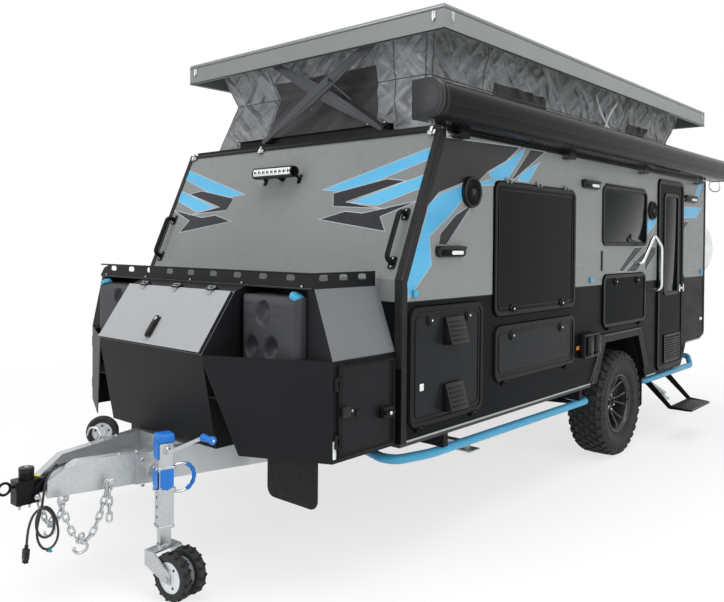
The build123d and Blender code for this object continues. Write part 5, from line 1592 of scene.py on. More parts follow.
@dataclass
class SideHatches:
    """Framed hatches with paddle latches and cowls."""

    face: float = PANEL_FACE
    frame_width: float = 0.026
    corner: float = 0.060

    def frame_of(self, panel: PanelSize, piece: Piece, inner: bool = True) -> None:
        """A raised bead along the inside of the panel's edge and, when inner is set, a thinner second bead
        within it.

        Args:
            panel: the panel to dress.
            piece: the piece that takes the beads.
            inner: whether the second bead is there.
        """
        place = side_place(panel.side, x=self.face)
        outline = round_rect(panel.y0 + 0.002, panel.y1 - 0.002, panel.z0 + 0.002, panel.z1 - 0.002,
                             self.corner - 0.002, 8)
        piece.add(FRAME_BLACK, ring_slab(outline, place, self.frame_width, 0.006, 0.002))
        if inner:
            second = round_rect(panel.y0 + 0.042, panel.y1 - 0.042, panel.z0 + 0.042, panel.z1 - 0.042,
                                self.corner - 0.02, 8)
            piece.add(FRAME_BLACK, ring_slab(second, place, 0.010, 0.004, 0.0015))

    def latch(self, panel: PanelSize, y: float, z: float, piece: Piece) -> None:
        """A round lock with a raised paddle across it.

        Args:
            panel: the panel it sits on.
            y: place along the body.
            z: height.
            piece: the piece that takes it.
        """
        place = side_place(panel.side, y, z, self.face + 0.003)
        dish = turned(((0.031, 0.0), (0.031, 0.003), (0.028, 0.006), (0.022, 0.0045), (0.001, 0.004)),
                      place, 28)
        paddle = slab(round_rect(-0.009, 0.009, -0.024, 0.024, 0.008), place, 0.0105, 0.003)
        lock = turned(((0.006, 0.0), (0.006, 0.0115), (0.0045, 0.0125), (0.001, 0.012)), place, 16)
        piece.add(BLACK_PLASTIC, dish, paddle).add(CHROME, lock)

    def cowl(self, z: float, piece: Piece) -> None:
        """A wedge vent, deeper at the bottom, with slots across its face.

        Args:
            z: height of the vent's foot.
            piece: the piece that takes it.
        """
        x0 = self.face
        wide = 0.161
        bottom = (x0 + 0.0605, z + 0.0055)
        top = (x0 + 0.0185, z + 0.1445)
        outline = polygon(((x0 + 0.001, z - 0.0005), bottom, top, (x0 + 0.001, z + 0.1445)))
        place = end_place((0.0, 0.3395, 0.0), 1)
        piece.add(BLACK_PLASTIC, slab(outline, place, wide, 0.0015))
        slope = np.array([top[0] - bottom[0], 0.0, top[1] - bottom[1]])
        length = float(np.linalg.norm(slope))
        slope /= length
        outward = (slope[2], 0.0, -slope[0])
        face = Place((bottom[0], 0.420, bottom[1]), (0, 1, 0), tuple(slope), outward)
        for step in range(5):
            level = 0.018 + step * 0.024
            rib = slab(round_rect(-0.066, 0.066, level, level + 0.009, 0.004, 3), face, 0.0022, 0.0009)
            piece.add(FRAME_BLACK, rib)

    def build(self) -> None:
        """Dress each hatch and add what moves with it."""
        for panel, name in ((BOOT_NEAR, "boot_trim_near"), (BOOT_FAR, "boot_trim_far")):
            piece = Piece(name, panel.body, "dark_panel")
            self.frame_of(panel, piece)
            for y, z in ((0.227, 1.222), (0.575, 1.225)):
                self.latch(panel, y, z, piece)
            pad = slab(round_rect(0.140, 0.174, 0.872, 0.908, 0.004, 3),
                       side_place(panel.side, x=self.face), 0.0012, 0.0004)
            piece.add(LENS_PALE, pad)
            if panel.side is Side.NEAR:
                self.cowl(1.086, piece)
                self.cowl(0.739, piece)
            piece.make()
        for panel, name, spots in ((GALLEY, "galley_trim", ((1.046, 1.232), (1.671, 1.232))),
                                   (LOWER, "lower_trim", ((1.044, 1.074), (1.665, 1.074))),
                                   (SMALL, "small_trim", ((2.535, 1.341), (2.945, 1.341)))):
            piece = Piece(name, panel.body, "gloss_black")
            self.frame_of(panel, piece, inner=panel is not SMALL)
            for y, z in spots:
                self.latch(panel, y, z, piece)
            piece.make()


@dataclass
class EntryDoor:
    """Entry door: gloss frame, tall dark glass, louvred vent, lock and catch."""

    face: float = PANEL_FACE
    glass: tuple = (3.530, 3.840, 1.210, 2.030)
    vent: tuple = (3.530, 3.910, 0.620, 0.857)
    louvres: int = 9

    def build(self) -> None:
        """All of it rides on the door."""
        place = side_place(Side.NEAR, x=self.face)
        edge = round_rect(DOOR.y0 + 0.002, DOOR.y1 - 0.002, DOOR.z0 + 0.002, DOOR.z1 - 0.002, 0.058, 8)
        piece = Piece("door_trim", "entry_door", "grey_panel")
        piece.add(GLOSS_BLACK, ring_slab(edge, place, 0.036, 0.007, 0.0025))
        y0, y1, z0, z1 = self.glass
        rim = round_rect(y0 - 0.022, y1 + 0.022, z0 - 0.022, z1 + 0.022, 0.055, 8)
        piece.add(FRAME_BLACK, ring_slab(rim, place, 0.030, 0.008, 0.003))
        pane = round_rect(y0 + 0.001, y1 - 0.001, z0 + 0.001, z1 - 0.001, 0.038, 8)
        low = side_place(Side.NEAR, x=self.face - 0.0075)
        piece.add(GLASS_DARK, slab(pane, low, 0.0065, 0.0015))
        y0, y1, z0, z1 = self.vent
        outer = round_rect(y0, y1, z0, z1, 0.012, 4)
        piece.add(BLACK_PLASTIC, ring_slab(outer, side_place(Side.NEAR, x=self.face + 0.002), 0.020, 0.009))
        pitch = (z1 - z0 - 0.05) / self.louvres
        for step in range(self.louvres):
            z = z0 + 0.025 + step * pitch
            blade = slab(round_rect(y0 + 0.018, y1 - 0.018, z, z + pitch * 0.55, 0.003, 2),
                         side_place(Side.NEAR, x=self.face + 0.0045), 0.0055, 0.002)
            piece.add(BLACK_PLASTIC, blade)
        lock = side_place(Side.NEAR, x=self.face + 0.004)
        piece.add(BLACK_PLASTIC, slab(round_rect(3.402, 3.458, 1.222, 1.388, 0.014), lock, 0.016, 0.004))
        piece.add(GLOSS_BLACK, slab(round_rect(3.412, 3.448, 1.262, 1.330, 0.010),
                                    side_place(Side.NEAR, x=self.face + 0.018), 0.0045, 0.002))
        piece.add(CHROME, turned(((0.008, 0.0), (0.008, 0.021), (0.005, 0.0225)),
                                 side_place(Side.NEAR, 3.430, 1.360, self.face), 16))
        catch = side_place(Side.NEAR, x=self.face + 0.002)
        for outline in (round_rect(3.852, 3.870, 1.208, 1.272, 0.005, 3),
                        round_rect(3.944, 3.962, 1.208, 1.272, 0.005, 3),
                        round_rect(3.860, 3.955, 1.232, 1.248, 0.004, 3)):
            piece.add(CHROME, slab(outline, catch, 0.0195, 0.003))
        hinge_rib = slab(round_rect(3.965, 3.974, 0.640, 2.090, 0.003, 3), place, 0.009, 0.003)
        piece.add(FRAME_BLACK, hinge_rib)
        piece.make()


@dataclass
class SideWindows:
    """Tinted windows with a black frame and a black strip along the top."""

    near: tuple = (2.300, 3.135, 1.605, 2.042)
    far: tuple = ((0.900, 1.735, 1.605, 2.042), (2.900, 3.735, 1.605, 2.042))
    face: float = PANEL_FACE

    def build(self) -> None:
        """Beads and panes over each fixed window."""
        piece = Piece("window_beads", "body", "window")
        for side, area in ((Side.NEAR, self.near), (Side.FAR, self.far[0]), (Side.FAR, self.far[1])):
            y0, y1, z0, z1 = area
            place = side_place(side, x=self.face)
            outline = round_rect(y0 + 0.001, y1 - 0.001, z0 + 0.001, z1 - 0.001, 0.058, 8)
            piece.add(FRAME_BLACK, ring_slab(outline, place, 0.022, 0.0045, 0.002))
            glass = round_rect(y0 + 0.024, y1 - 0.024, z0 + 0.024, z1 - 0.024, 0.036, 8)
            piece.add(GLASS_DARK, slab(glass, side_place(side, x=HALF_W - 0.0058), 0.010, 0.003))
            sill = slab(round_rect(y0 + 0.05, y1 - 0.05, z1 + 0.002, z1 + 0.014, 0.005, 3),
                        side_place(side), 0.012, 0.004)
            piece.add(FRAME_BLACK, sill)
        piece.make()


@dataclass
class SideFittings:
    """Speakers, lamps, sockets, reflectors and markers on the side walls and the tail."""

    speakers: tuple = ((0.594, 1.895, 0.086), (3.244, 1.891, 0.075))
    lamps: tuple = ((0.400, 1.573, 0.260), (2.090, 2.030, 0.270), (4.166, 2.030, 0.300))
    vanes: int = 14

    def speaker(self, y: float, z: float, radius: float) -> Piece:
        """A round speaker: domed rim, swirl of curved vanes and a centre cap.

        Args:
            y: place along the body.
            z: height.
            radius: outer radius.

        Returns:
            The unfinished piece.
        """
        place = side_place(Side.NEAR, y, z)
        piece = Piece(f"speaker_{int(y * 1000)}", "body", "black_plastic")
        rim = turned(((radius, 0.0), (radius, 0.016), (0.97 * radius, 0.024), (0.90 * radius, 0.027),
                      (0.82 * radius, 0.022), (0.80 * radius, 0.012), (0.02 * radius, 0.012)), place, 44)
        piece.add(BLACK_PLASTIC, rim)
        t = np.linspace(0, 1, 9)
        for k in range(self.vanes):
            turn = 2 * pi * k / self.vanes + 1.1 * t
            reach = radius * (0.22 + 0.60 * t)
            path = place.at(reach * np.cos(turn), reach * np.sin(turn), 0.017 + 0.004 * np.sin(pi * t))
            piece.add(FRAME_BLACK, carried(circle(0.0036, 8), path, (1, 0, 0)))
        cap = turned(((0.26 * radius, 0.010), (0.26 * radius, 0.021), (0.20 * radius, 0.027),
                      (0.02 * radius, 0.0285)), place, 28)
        return piece.add(BLACK_PLASTIC, cap)

    def lamp(self, y: float, z: float, width: float, piece: Piece) -> None:
        """An awning lamp: rounded black body with a pale lens strip.

        Args:
            y: place along the body.
            z: height.
            width: length of the lamp.
            piece: the piece that takes it.
        """
        place = side_place(Side.NEAR, y, z)
        half = width / 2
        piece.add(BLACK_PLASTIC, slab(round_rect(-half, half, -0.030, 0.030, 0.029, 8), place, 0.026,
                                      0.010))
        brow = slab(round_rect(-half + 0.006, half - 0.006, 0.012, 0.028, 0.007, 5), place, 0.034, 0.006)
        lens = slab(round_rect(-0.10 * half, half - 0.034, -0.018, 0.004, 0.010, 6),
                    side_place(Side.NEAR, y, z, HALF_W + 0.022), 0.0075, 0.004)
        tray = slab(round_rect(-half + 0.020, half - 0.020, -0.023, 0.009, 0.015, 6),
                    side_place(Side.NEAR, y, z, HALF_W + 0.022), 0.0055, 0.002)
        piece.add(BLACK_PLASTIC, brow).add(GLOSS_BLACK, tray).add(LENS_PALE, lens)

    def socket_box(self) -> Piece:
        """Outdoor socket box with two lift-up lids and ribs.

        Returns:
            The piece, still to be made.
        """
        piece = Piece("socket_box", "body", "black_plastic")
        place = side_place(Side.NEAR, 2.064, 0.9175)
        piece.add(BLACK_PLASTIC, slab(round_rect(-0.120, 0.120, -0.0825, 0.0825, 0.016), place, 0.050,
                                      0.008))
        for shift in (-0.058, 0.058):
            lid = slab(round_rect(shift - 0.050, shift + 0.050, -0.066, 0.070, 0.012), place, 0.064, 0.006)
            grip = slab(round_rect(shift - 0.022, shift + 0.022, -0.060, -0.046, 0.005, 3), place, 0.070,
                        0.003)
            piece.add(GLOSS_BLACK, lid).add(FRAME_BLACK, grip)
        return piece

    def tail_lamp(self, side: Side, piece: Piece) -> None:
        """Upright tail lamp: black bezel with red, amber and pale lenses.

        Args:
            side: the side of the rear wall it is on.
            piece: the piece that takes it.
        """
        x0, x1 = sorted((side.value * 0.930, side.value * 1.040))
        place = Place((0.0, BODY_LEN, 0.0), (-1, 0, 0), (0, 0, 1), (0, 1, 0))
        outline = round_rect(-x1, -x0, 0.880, 1.140, 0.020)
        piece.add(BLACK_PLASTIC, slab(outline, place, 0.027, 0.008))
        for coat, z0, z1 in ((LENS_RED, 1.052, 1.128), (LENS_AMBER, 0.972, 1.046),
                             (LENS_PALE, 0.892, 0.966)):
            lens = slab(round_rect(-x1 + 0.012, -x0 - 0.012, z0, z1, 0.012, 4), place, 0.034, 0.006)
            piece.add(coat, lens)

    def build(self) -> None:
        """Make all of it and stand in for the plain fittings."""
        made = [self.speaker(*spot) for spot in self.speakers]
        made[0].make(replaces=("side_fittings",))
        made[1].make()
        self.socket_box().make()
        piece = Piece("side_lamps", "body", "black_plastic")
        for y, z, width in self.lamps:
            self.lamp(y, z, width, piece)
        piece.add(BLACK_PLASTIC, slab(round_rect(2.288, 2.312, 1.423, 1.569, 0.011), side_place(Side.NEAR),
                                      0.0078, 0.003))
        for y in (0.097, 2.111, 4.493):
            piece.add(RAIL_BLUE, slab(round_rect(y - 0.018, y + 0.018, 1.347, 1.383, 0.006),
                                      side_place(Side.NEAR), 0.018, 0.004))
        for y, z in ((1.937, 0.908), (4.512, 0.927)):
            for side in Side:
                flat = slab(round_rect(y - 0.030, y + 0.030, z - 0.014, z + 0.014, 0.006), side_place(side),
                            0.006, 0.002)
                piece.add(LENS_AMBER if y < 3 else LENS_PALE, flat)
        piece.make()
        tail = Piece("tail_lamps", "body", "black_plastic")
        for side in Side:
            self.tail_lamp(side, tail)
        plate = Place((0.0, BODY_LEN, 0.0), (-1, 0, 0), (0, 0, 1), (0, 1, 0))
        tail.add(FRAME_BLACK, slab(round_rect(-0.200, 0.200, 0.800, 0.920, 0.010), plate, 0.010))
        tail.add(LABEL_PALE, slab(round_rect(-0.186, 0.186, 0.808, 0.912, 0.006), plate, 0.0125, 0.001))
        tail.make()
        self.far_side()

    def far_side(self) -> None:
        """Gas and water hatches, inlet flap and a round cap on the far wall."""
        piece = Piece("far_fittings", "body", "black_plastic")
        far = side_place(Side.FAR)
        for y0, y1, z0, z1 in ((0.980, 1.420, 1.020, 1.260), (1.950, 2.210, 0.820, 1.010),
                               (3.600, 3.780, 0.900, 1.020)):
            piece.add(BLACK_PLASTIC, slab(round_rect(y0, y1, z0, z1, 0.020), far, 0.012, 0.004))
            rim = round_rect(y0 + 0.016, y1 - 0.016, z0 + 0.016, z1 - 0.016, 0.012)
            piece.add(FRAME_BLACK, ring_slab(rim, side_place(Side.FAR, x=HALF_W + 0.0115), 0.006, 0.0025,
                                             0.001))
        cap = turned(((0.040, 0.0), (0.040, 0.010), (0.036, 0.016), (0.001, 0.017)),
                     side_place(Side.FAR, 3.30, 0.98), 28)
        piece.add(BLACK_PLASTIC, cap)
        piece.make()


@dataclass
class SlopeFittings:
    """Light bar on its bracket and the two grab handles on the leaning front wall."""

    bar_z: float = 2.000
    bar: tuple = (-0.200, 0.150)

    def build(self) -> None:
        """A finned light bar with round lenses, and feet for the handles."""
        piece = Piece("light_bar", "body", "black_coat")
        base = slope_place(-0.025, self.bar_z, 0.048)
        y, z = base.origin[1] - 0.026, base.origin[2] + 0.012
        middle, half = sum(self.bar) / 2, (self.bar[1] - self.bar[0]) / 2
        front = Place((middle, y, z), (1, 0, 0), (0, 0.12, 0.9928), (0, -0.9928, 0.12))
        back = Place((middle, y, z), (-1, 0, 0), (0, 0.12, 0.9928), (0, 0.9928, -0.12))
        piece.add(BLACK_PLASTIC, slab(round_rect(-half, half, -0.0318, 0.0318, 0.008), front, 0.029, 0.005),
                  slab(round_rect(-half, half, -0.0315, 0.0315, 0.008), back, 0.022, 0.008))
        lens = Place(tuple(front.at(0.0, 0.0, 0.027)), front.u, front.v, front.w)
        piece.add(LENS_PALE, slab(round_rect(-half + 0.012, half - 0.012, -0.021, 0.021, 0.006), lens,
                                  0.004))
        for step in range(9):
            x = -half + 0.030 + step * (2 * half - 0.060) / 8
            centre = Place(tuple(front.at(x, 0.0, 0.0295)), front.u, front.v, front.w)
            piece.add(CHROME, turned(((0.0155, 0.0), (0.0155, 0.0022), (0.0140, 0.0030), (0.0070, 0.0018),
                                      (0.0010, 0.0014)), centre, 20))
        for step in range(11):
            x = -half + 0.014 + step * (2 * half - 0.028) / 10
            fin = Place(tuple(back.at(x, 0.0, 0.010)), back.u, back.v, back.w)
            piece.add(BLACK_PLASTIC, slab(round_rect(-0.002, 0.002, -0.030, 0.030, 0.0015, 2), fin, 0.020,
                                          0.001))
        for x in (-0.175, 0.125):
            foot = slope_place(x, self.bar_z - 0.010)
            piece.add(FRAME_BLACK, slab(round_rect(-0.014, 0.014, -0.030, 0.030, 0.006), foot, 0.006),
                      straight(foot.at(0.0, 0.0, 0.004), (x, y + 0.004, z), 0.007))
        piece.make()
        feet = Piece("grab_feet", "body", "black_coat")
        for x in (1.005, -1.005):
            for z in (1.515, 1.760):
                foot = slope_place(x, z)
                feet.add(FRAME_BLACK, slab(round_rect(-0.024, 0.024, -0.034, 0.034, 0.014), foot, 0.008,
                                           0.003))
                for shift in (-0.022, 0.022):
                    feet.add(PLATED, bolt_head(foot.at(0.0, shift, 0.008), foot.w, 0.005, 0.003))
        feet.make()


# ------------------------------------------------------------------------------------ roof, canvas
@dataclass
class LiftRoof:
    """Trim lines, corner catches and the vent hatch of the lifting roof."""

    half_w: float = 1.0975
    y0: float = 0.327
    y1: float = 4.530
    bottom: float = 2.728
    top: float = 2.862

    def ring(self, level: float, high: float, proud: float) -> Skin:
        """A strip all round the roof's skirt.

        Args:
            level: height of its lower edge.
            high: its own height.
            proud: how far it stands out.

        Returns:
            One closed ring.
        """
        outline = round_rect(-self.half_w, self.half_w, self.y0, self.y1, 0.004, 3)
        insets = np.array([0.001, -proud, -proud, 0.001])
        heights = np.array([level, level + 0.0015, level + high - 0.0015, level + high])
        rings = offset(outline, insets)
        points = np.concatenate([rings, np.repeat(heights[:, None, None], len(outline), 1)], -1)
        return grid_skin(points, wrap_u=True, wrap_v=True)

    def build(self) -> None:
        """Make the trims of the roof; all ride on it."""
        piece = Piece("roof_trims", "roof", "white_roof")
        piece.add(FRAME_BLACK, self.ring(self.top - 0.030, 0.005, 0.0015))
        piece.add(ALLOY, self.ring(self.top - 0.020, 0.005, 0.0022))
        piece.add(TRIM_RUBBER, self.ring(self.bottom - 0.003, 0.008, 0.003))
        piece.make()
        catches = Piece("roof_catches", "roof", "steel")
        for side in Side:
            for y in (self.y0 + 0.075, self.y1 - 0.075):
                place = side_place(side, y, self.top - 0.046, self.half_w)
                hook = 0.005 if side is Side.NEAR else 0.013
                catches.add(PLATED, slab(round_rect(-0.013, 0.013, -0.030, 0.012, 0.005), place, 0.003,
                                         0.001),
                            slab(round_rect(-0.006, 0.006, -0.042, 0.010, 0.004), place, hook, 0.0015))
        for x in (1.030, -1.030):
            front = end_place((x, self.y0, self.top - 0.046), -1)
            catches.add(PLATED, slab(round_rect(-0.013, 0.013, -0.030, 0.012, 0.005), front, 0.006),
                        slab(round_rect(-0.006, 0.006, -0.042, 0.010, 0.004), front, 0.013, 0.003))
        catches.make()
        up = top_place((0.0, 0.0, self.top + 0.040))
        vent = Piece("roof_vent", "roof", "black_plastic")
        vent.add(GLASS_DARK, slab(round_rect(-0.235, 0.235, 2.165, 2.635, 0.045), up, 0.0065, 0.003))
        edge = top_place((0.0, 0.0, self.top))
        vent.add(BLACK_PLASTIC, ring_slab(round_rect(-0.280, 0.280, 2.120, 2.680, 0.060), edge, 0.045,
                                          0.014))
        vent.make()


@dataclass
class CanvasWalls:
    """The canvas between the body's rim and the roof: one hung sheet, screens, seams and straps."""

    low: tuple = (0.955, 0.450, 4.370, 2.2430)
    seam: tuple = (0.843, 0.535, 4.290, 2.5650)
    high: tuple = (0.927, 0.435, 4.390, 2.8190)
    thick: float = 0.002
    keep: float = 0.165
    columns: int = 960
    rows: int = 48

    def level(self, share: Array) -> tuple:
        """Half width, front and rear of the sheet at a share of its height.

        The sheet runs straight from its foot to the middle seam and from there to its head.

        Args:
            share: 0 at the foot of the sheet and 1 at its head.

        Returns:
            Half width, front, rear and height.
        """
        knots = np.array([self.low, self.seam, self.high])
        z = knots[0, 3] + share * (knots[2, 3] - knots[0, 3])
        return tuple(np.interp(z, knots[:, 3], knots[:, k]) for k in range(3)) + (z,)

    def ring_at(self, around: Array, share: Array, out: float = 0.0) -> Array:
        """Points round the four walls.

        Args:
            around: place along the girth from 0 to 4, one unit for each wall, from the front near corner.
            share: height from foot 0 to head 1, of the same shape.
            out: distance outwards.

        Returns:
            Points whose plan is a rounded rectangle at the height's own size.
        """
        half, front, rear, z = self.level(share)
        corner = 0.035
        wall = np.floor(around) % 4
        t = around - np.floor(around)
        x_run = half - 2 * half * t
        y_run = front + (rear - front) * t
        x = np.select([wall == 0, wall == 1, wall == 2],
                      [half * np.ones_like(t), x_run, -half * np.ones_like(t)],
                      -x_run)
        y = np.select([wall == 0, wall == 1, wall == 2],
                      [y_run, rear * np.ones_like(t), rear + front - y_run],
                      front * np.ones_like(t))
        middle = (front + rear) / 2
        span = (rear - front) / 2
        dx, dy = np.abs(x) - (half - corner), np.abs(y - middle) - (span - corner)
        both = (dx > 0) & (dy > 0)
        scale = np.where(both, corner / np.maximum(np.hypot(dx, dy), 1e-9), 1.0)
        x = np.where(both, np.sign(x) * (half - corner + dx * scale), x)
        y = np.where(both, middle + np.sign(y - middle) * (span - corner + dy * scale), y)
        normal_x = np.select([wall == 0, wall == 2], [1.0, -1.0], 0.0)
        normal_y = np.select([wall == 1, wall == 3], [1.0, -1.0], 0.0)
        blend_x = np.where(both, np.sign(x) * np.clip(dx / corner, 0, 1), normal_x)
        blend_y = np.where(both, np.sign(y - middle) * np.clip(dy / corner, 0, 1), normal_y)
        size = np.maximum(np.hypot(blend_x, blend_y), 1e-9)
        wave = self.folds(around, share, z) + out
        return np.stack([x + blend_x / size * wave, y + blend_y / size * wave, z], -1)

    def folds(self, around: Array, share: Array, z: Array) -> Array:
        """Depth of the cloth's folds.

        Four slanted families of creases fade out at the foot, the head and the middle seam; each is
        a sine of a slanted line, two of them folded by a power into narrow ridges, and two of them
        take turns along the girth. Near every corner a fan of ridges spreads from the corner's end of
        the seam: it is a sine of the angle round that end, and dies away along the wall. All are
        shallower on the end walls, and between seam and foot or head the cloth bellies out.

        Args:
            around: place along the girth.
            share: height from foot 0 to head 1.
            z: height above ground.

        Returns:
            Distances outwards, in metres.
        """
        mid = (self.seam[3] - self.low[3]) / (self.high[3] - self.low[3])
        part = np.where(share < mid, share / mid, (share - mid) / (1 - mid))
        hold = np.sin(pi * part) ** 0.7
        wall = np.floor(around) % 4
        length = np.where((wall == 0) | (wall == 2), 3.9, 1.9)
        run = (around - np.floor(around)) * length + wall * 1.7
        lean = np.where(share < mid, 1.0, -1.0)
        one = np.sin(9.1 * run + lean * 6.0 * z + 1.3 * np.sin(1.9 * run))
        two = np.sin(17.7 * run - lean * 15.5 * z + 1.8 * np.sin(3.1 * run + 1.0))
        three = np.sin(33.0 * run + lean * 29.0 * z + 1.6 * np.sin(5.3 * run))
        four = np.sin(23.0 * run - lean * 34.0 * z + 2.6 * np.sin(2.3 * run + 0.4))
        deep = np.where((wall == 0) | (wall == 2), 1.0, 0.70)
        patch = 0.5 + 0.5 * np.sin(3.7 * run + 1.1 + lean)
        crease = deep * (0.0075 * one + 0.0065 * (1 - 2 * np.abs(two) ** 0.6) + 0.0040 * patch * three
                         + 0.0055 * (1 - patch) * (1 - 2 * np.abs(four) ** 0.6))
        t = around - np.floor(around)
        reach = np.minimum(t, 1 - t) * length
        angle = np.arctan2(np.abs(z - self.seam[3]), reach + 0.03)
        fan = 0.0090 * deep * np.exp(-reach / 0.40) * (1 - 2 * np.abs(np.sin(8.5 * angle + lean)) ** 0.6)
        edge = np.clip(reach / 0.12, 0.0, 1.0)
        gather = 0.0060 * np.sin(70.0 * run) * (1 - edge) ** 2
        return hold * ((1.25 * crease + fan + 0.011) * edge + gather) - 0.006

    def sheet_piece(self) -> bpy.types.Object:
        """The whole sheet as a thin closed shell.

        Returns:
            The sheet's object.
        """
        around, share = np.meshgrid(np.linspace(0, 4, self.columns, endpoint=False),
                                    np.linspace(0, 1, self.rows))
        outer = self.ring_at(around, share)
        inner = self.ring_at(around, share, -self.thick)
        skin = grid_skin(np.concatenate([outer, inner[::-1]]), wrap_u=True, wrap_v=True)
        piece = Piece("canvas_walls", "body", "canvas")
        return piece.add(CANVAS_CLOTH, skin).make(60, replaces=("canvas",))

    def patch(self, name: str, finish: Finish, a0: float, a1: float, s0: float, s1: float,
              out: float = 0.0035) -> bpy.types.Object:
        """A sewn-on panel that follows the sheet's folds.

        Args:
            name: the piece's name.
            finish: its cloth.
            a0: start along the girth.
            a1: end along the girth.
            s0: lower edge as a share of the height.
            s1: upper edge as a share of the height.
            out: distance off the sheet.

        Returns:
            The finished object.
        """
        around, share = np.meshgrid(np.linspace(a0, a1, 60), np.linspace(s0, s1, 18))
        front = self.ring_at(around, share, out)
        back = self.ring_at(around, share, out - 0.0025)
        piece = Piece(name, "body", "canvas")
        return piece.add(finish, two_faced(front, back)).make(60)

    def seams(self) -> bpy.types.Object:
        """Piping along the middle seam and welted upright seams.

        Returns:
            The seams' object.
        """
        piece = Piece("canvas_seams", "body", "canvas")
        around = np.linspace(0, 4, 480, endpoint=False)
        mid = (self.seam[3] - self.low[3]) / (self.high[3] - self.low[3])
        path = self.ring_at(around, np.full_like(around, mid), 0.003)
        piece.add(CANVAS_DARK, carried(circle(0.0030, 8), path, (0, 0, 1), loop=True))
        shares = np.linspace(0.01, 0.99, 40)
        for spot in (0.012, 0.150, 0.702, 0.988, 1.012, 1.35, 1.65, 1.988, 2.012, 2.298, 2.850, 2.988,
                     3.012, 3.27, 3.86, 3.988):
            line = self.ring_at(np.full_like(shares, spot), shares, 0.0020)
            up = (1, 0, 0) if int(spot) % 2 == 0 else (0, 1, 0)
            piece.add(CANVAS_DARK, carried(circle(0.0022, 6), line, up))
        return piece.make(60)

    def straps(self) -> bpy.types.Object:
        """Crossed tie straps on the near wall.

        Returns:
            The straps' object.
        """
        piece = Piece("canvas_straps", "body", "canvas")
        flat = polygon(((-0.011, -0.001), (0.011, -0.001), (0.011, 0.001), (-0.011, 0.001)))
        for (ya, za), (yb, zb) in (((2.520, 2.735), (2.810, 2.480)), ((2.900, 2.735), (2.650, 2.476))):
            t = np.linspace(0, 1, 18)
            x = 0.938 - 0.018 * np.sin(pi * t) + 0.008 * (ya > 2.6)
            path = np.stack([x, ya + (yb - ya) * t, za + (zb - za) * t], -1)
            piece.add(STRAP_CLOTH, carried(flat, path, (1, 0, 0)))
        return piece.make(60)

    def build(self) -> None:
        sheet = self.sheet_piece()
        parts = [self.seams(), self.straps(),
                 self.patch("screen_near_front", MESH_SCREEN, 0.184, 0.366, 0.42, 0.66),
                 self.patch("screen_near_rear", MESH_SCREEN, 0.738, 0.846, 0.42, 0.66),
                 self.patch("screen_far_front", MESH_SCREEN, 2.154, 2.262, 0.42, 0.66),
                 self.patch("screen_far_rear", MESH_SCREEN, 2.634, 2.816, 0.42, 0.66),
                 self.patch("screen_front", MESH_SCREEN, 3.28, 3.78, 0.06, 0.72),
                 self.patch("screen_rear", MESH_SCREEN, 1.36, 1.64, 0.30, 0.72)]
        for piece in [sheet] + parts:
            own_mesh(piece)


@dataclass
class ScissorLift:
    """Wide tapered plates, bolts and washers on the crossed arms at both ends."""

    pivot_x: float = 0.620
    roller_x: float = -0.365
    low_z: float = 2.265
    high_z: float = 2.797
    wide: float = 0.040
    narrow: float = 0.0135

    def plate(self, end: str, layer: int) -> Piece:
        """One arm's plate: its half width swells from the ends to the middle as a raised sine.

        Args:
            end: front or rear.
            layer: 0 for the inner arm, low at its pivot; 1 for the outer arm, high there.

        Returns:
            The piece, still to be made.
        """
        front_y, into = (0.3959, 1.0) if end == "front" else (4.4611, -1.0)
        start_z, end_z = (self.low_z, self.high_z) if layer == 0 else (self.high_z, self.low_z)
        a = np.array([self.pivot_x, start_z])
        b = np.array([self.roller_x, end_z])
        along = (b - a) / np.linalg.norm(b - a)
        across = np.array([-along[1], along[0]])
        t = np.linspace(0.0, 1.0, 25)
        half = self.narrow + (self.wide - self.narrow) * np.sin(pi * t) ** 1.3
        centre = a[None] + (b - a)[None] * t[:, None]
        turn = np.linspace(pi / 2, -pi / 2, 8)
        outline = np.concatenate([centre + across * half[:, None],
                                  b + self.narrow * (np.outer(np.cos(turn), along)
                                                     + np.outer(np.sin(turn), across)),
                                  (centre - across * half[:, None])[::-1],
                                  a + self.narrow * (np.outer(-np.cos(turn), along)
                                                     - np.outer(np.sin(turn), across))])
        keep = np.linalg.norm(np.roll(outline, -1, 0) - outline, axis=1) > 1e-4
        face = front_y - into * (0.0017 + layer * 0.009)
        place = end_place((0.0, face, 0.0), -into)
        name = "low" if layer == 0 else "high"
        body = f"arm_{name}_{end}"
        piece = Piece(f"{body}_plate", body, "black_steel")
        piece.add(LIFT_COAT, slab(outline[keep], place, 0.0066, 0.001))
        spots = (a, b, centre[12] + along * 0.075,
                 centre[12] - along * 0.075) + ((centre[12],) if layer else ())
        for spot in spots:
            base = np.array([spot[0], face - into * 0.0064, spot[1]])
            washer = end_place(tuple(base), -into)
            if layer or np.linalg.norm(spot - centre[12]) > 0.2:
                piece.add(PLATED, turned(((0.011, 0.0), (0.011, 0.0012), (0.0062, 0.0016), (0.0062, 0.0028),
                                          (0.0010, 0.0029)), washer, 18))
        return piece

    def build(self) -> None:
        """Plates on both arms at both ends, and the bolts that hold the lift to the rim."""
        for end in ("front", "rear"):
            for layer in (0, 1):
                self.plate(end, layer).make(25)
        foot = Piece("lift_feet", "body", "black_coat")
        for y in (0.368, 4.489):
            for x in (-0.610, -0.380, 0.540, 0.665):
                base = top_place((x, y, 2.2895))
                foot.add(PLATED, turned(((0.0065, 0.0), (0.0065, 0.0010), (0.0045, 0.0014),
                                         (0.0040, 0.0042),
                                         (0.0008, 0.0045)), base, 6))
        foot.make()


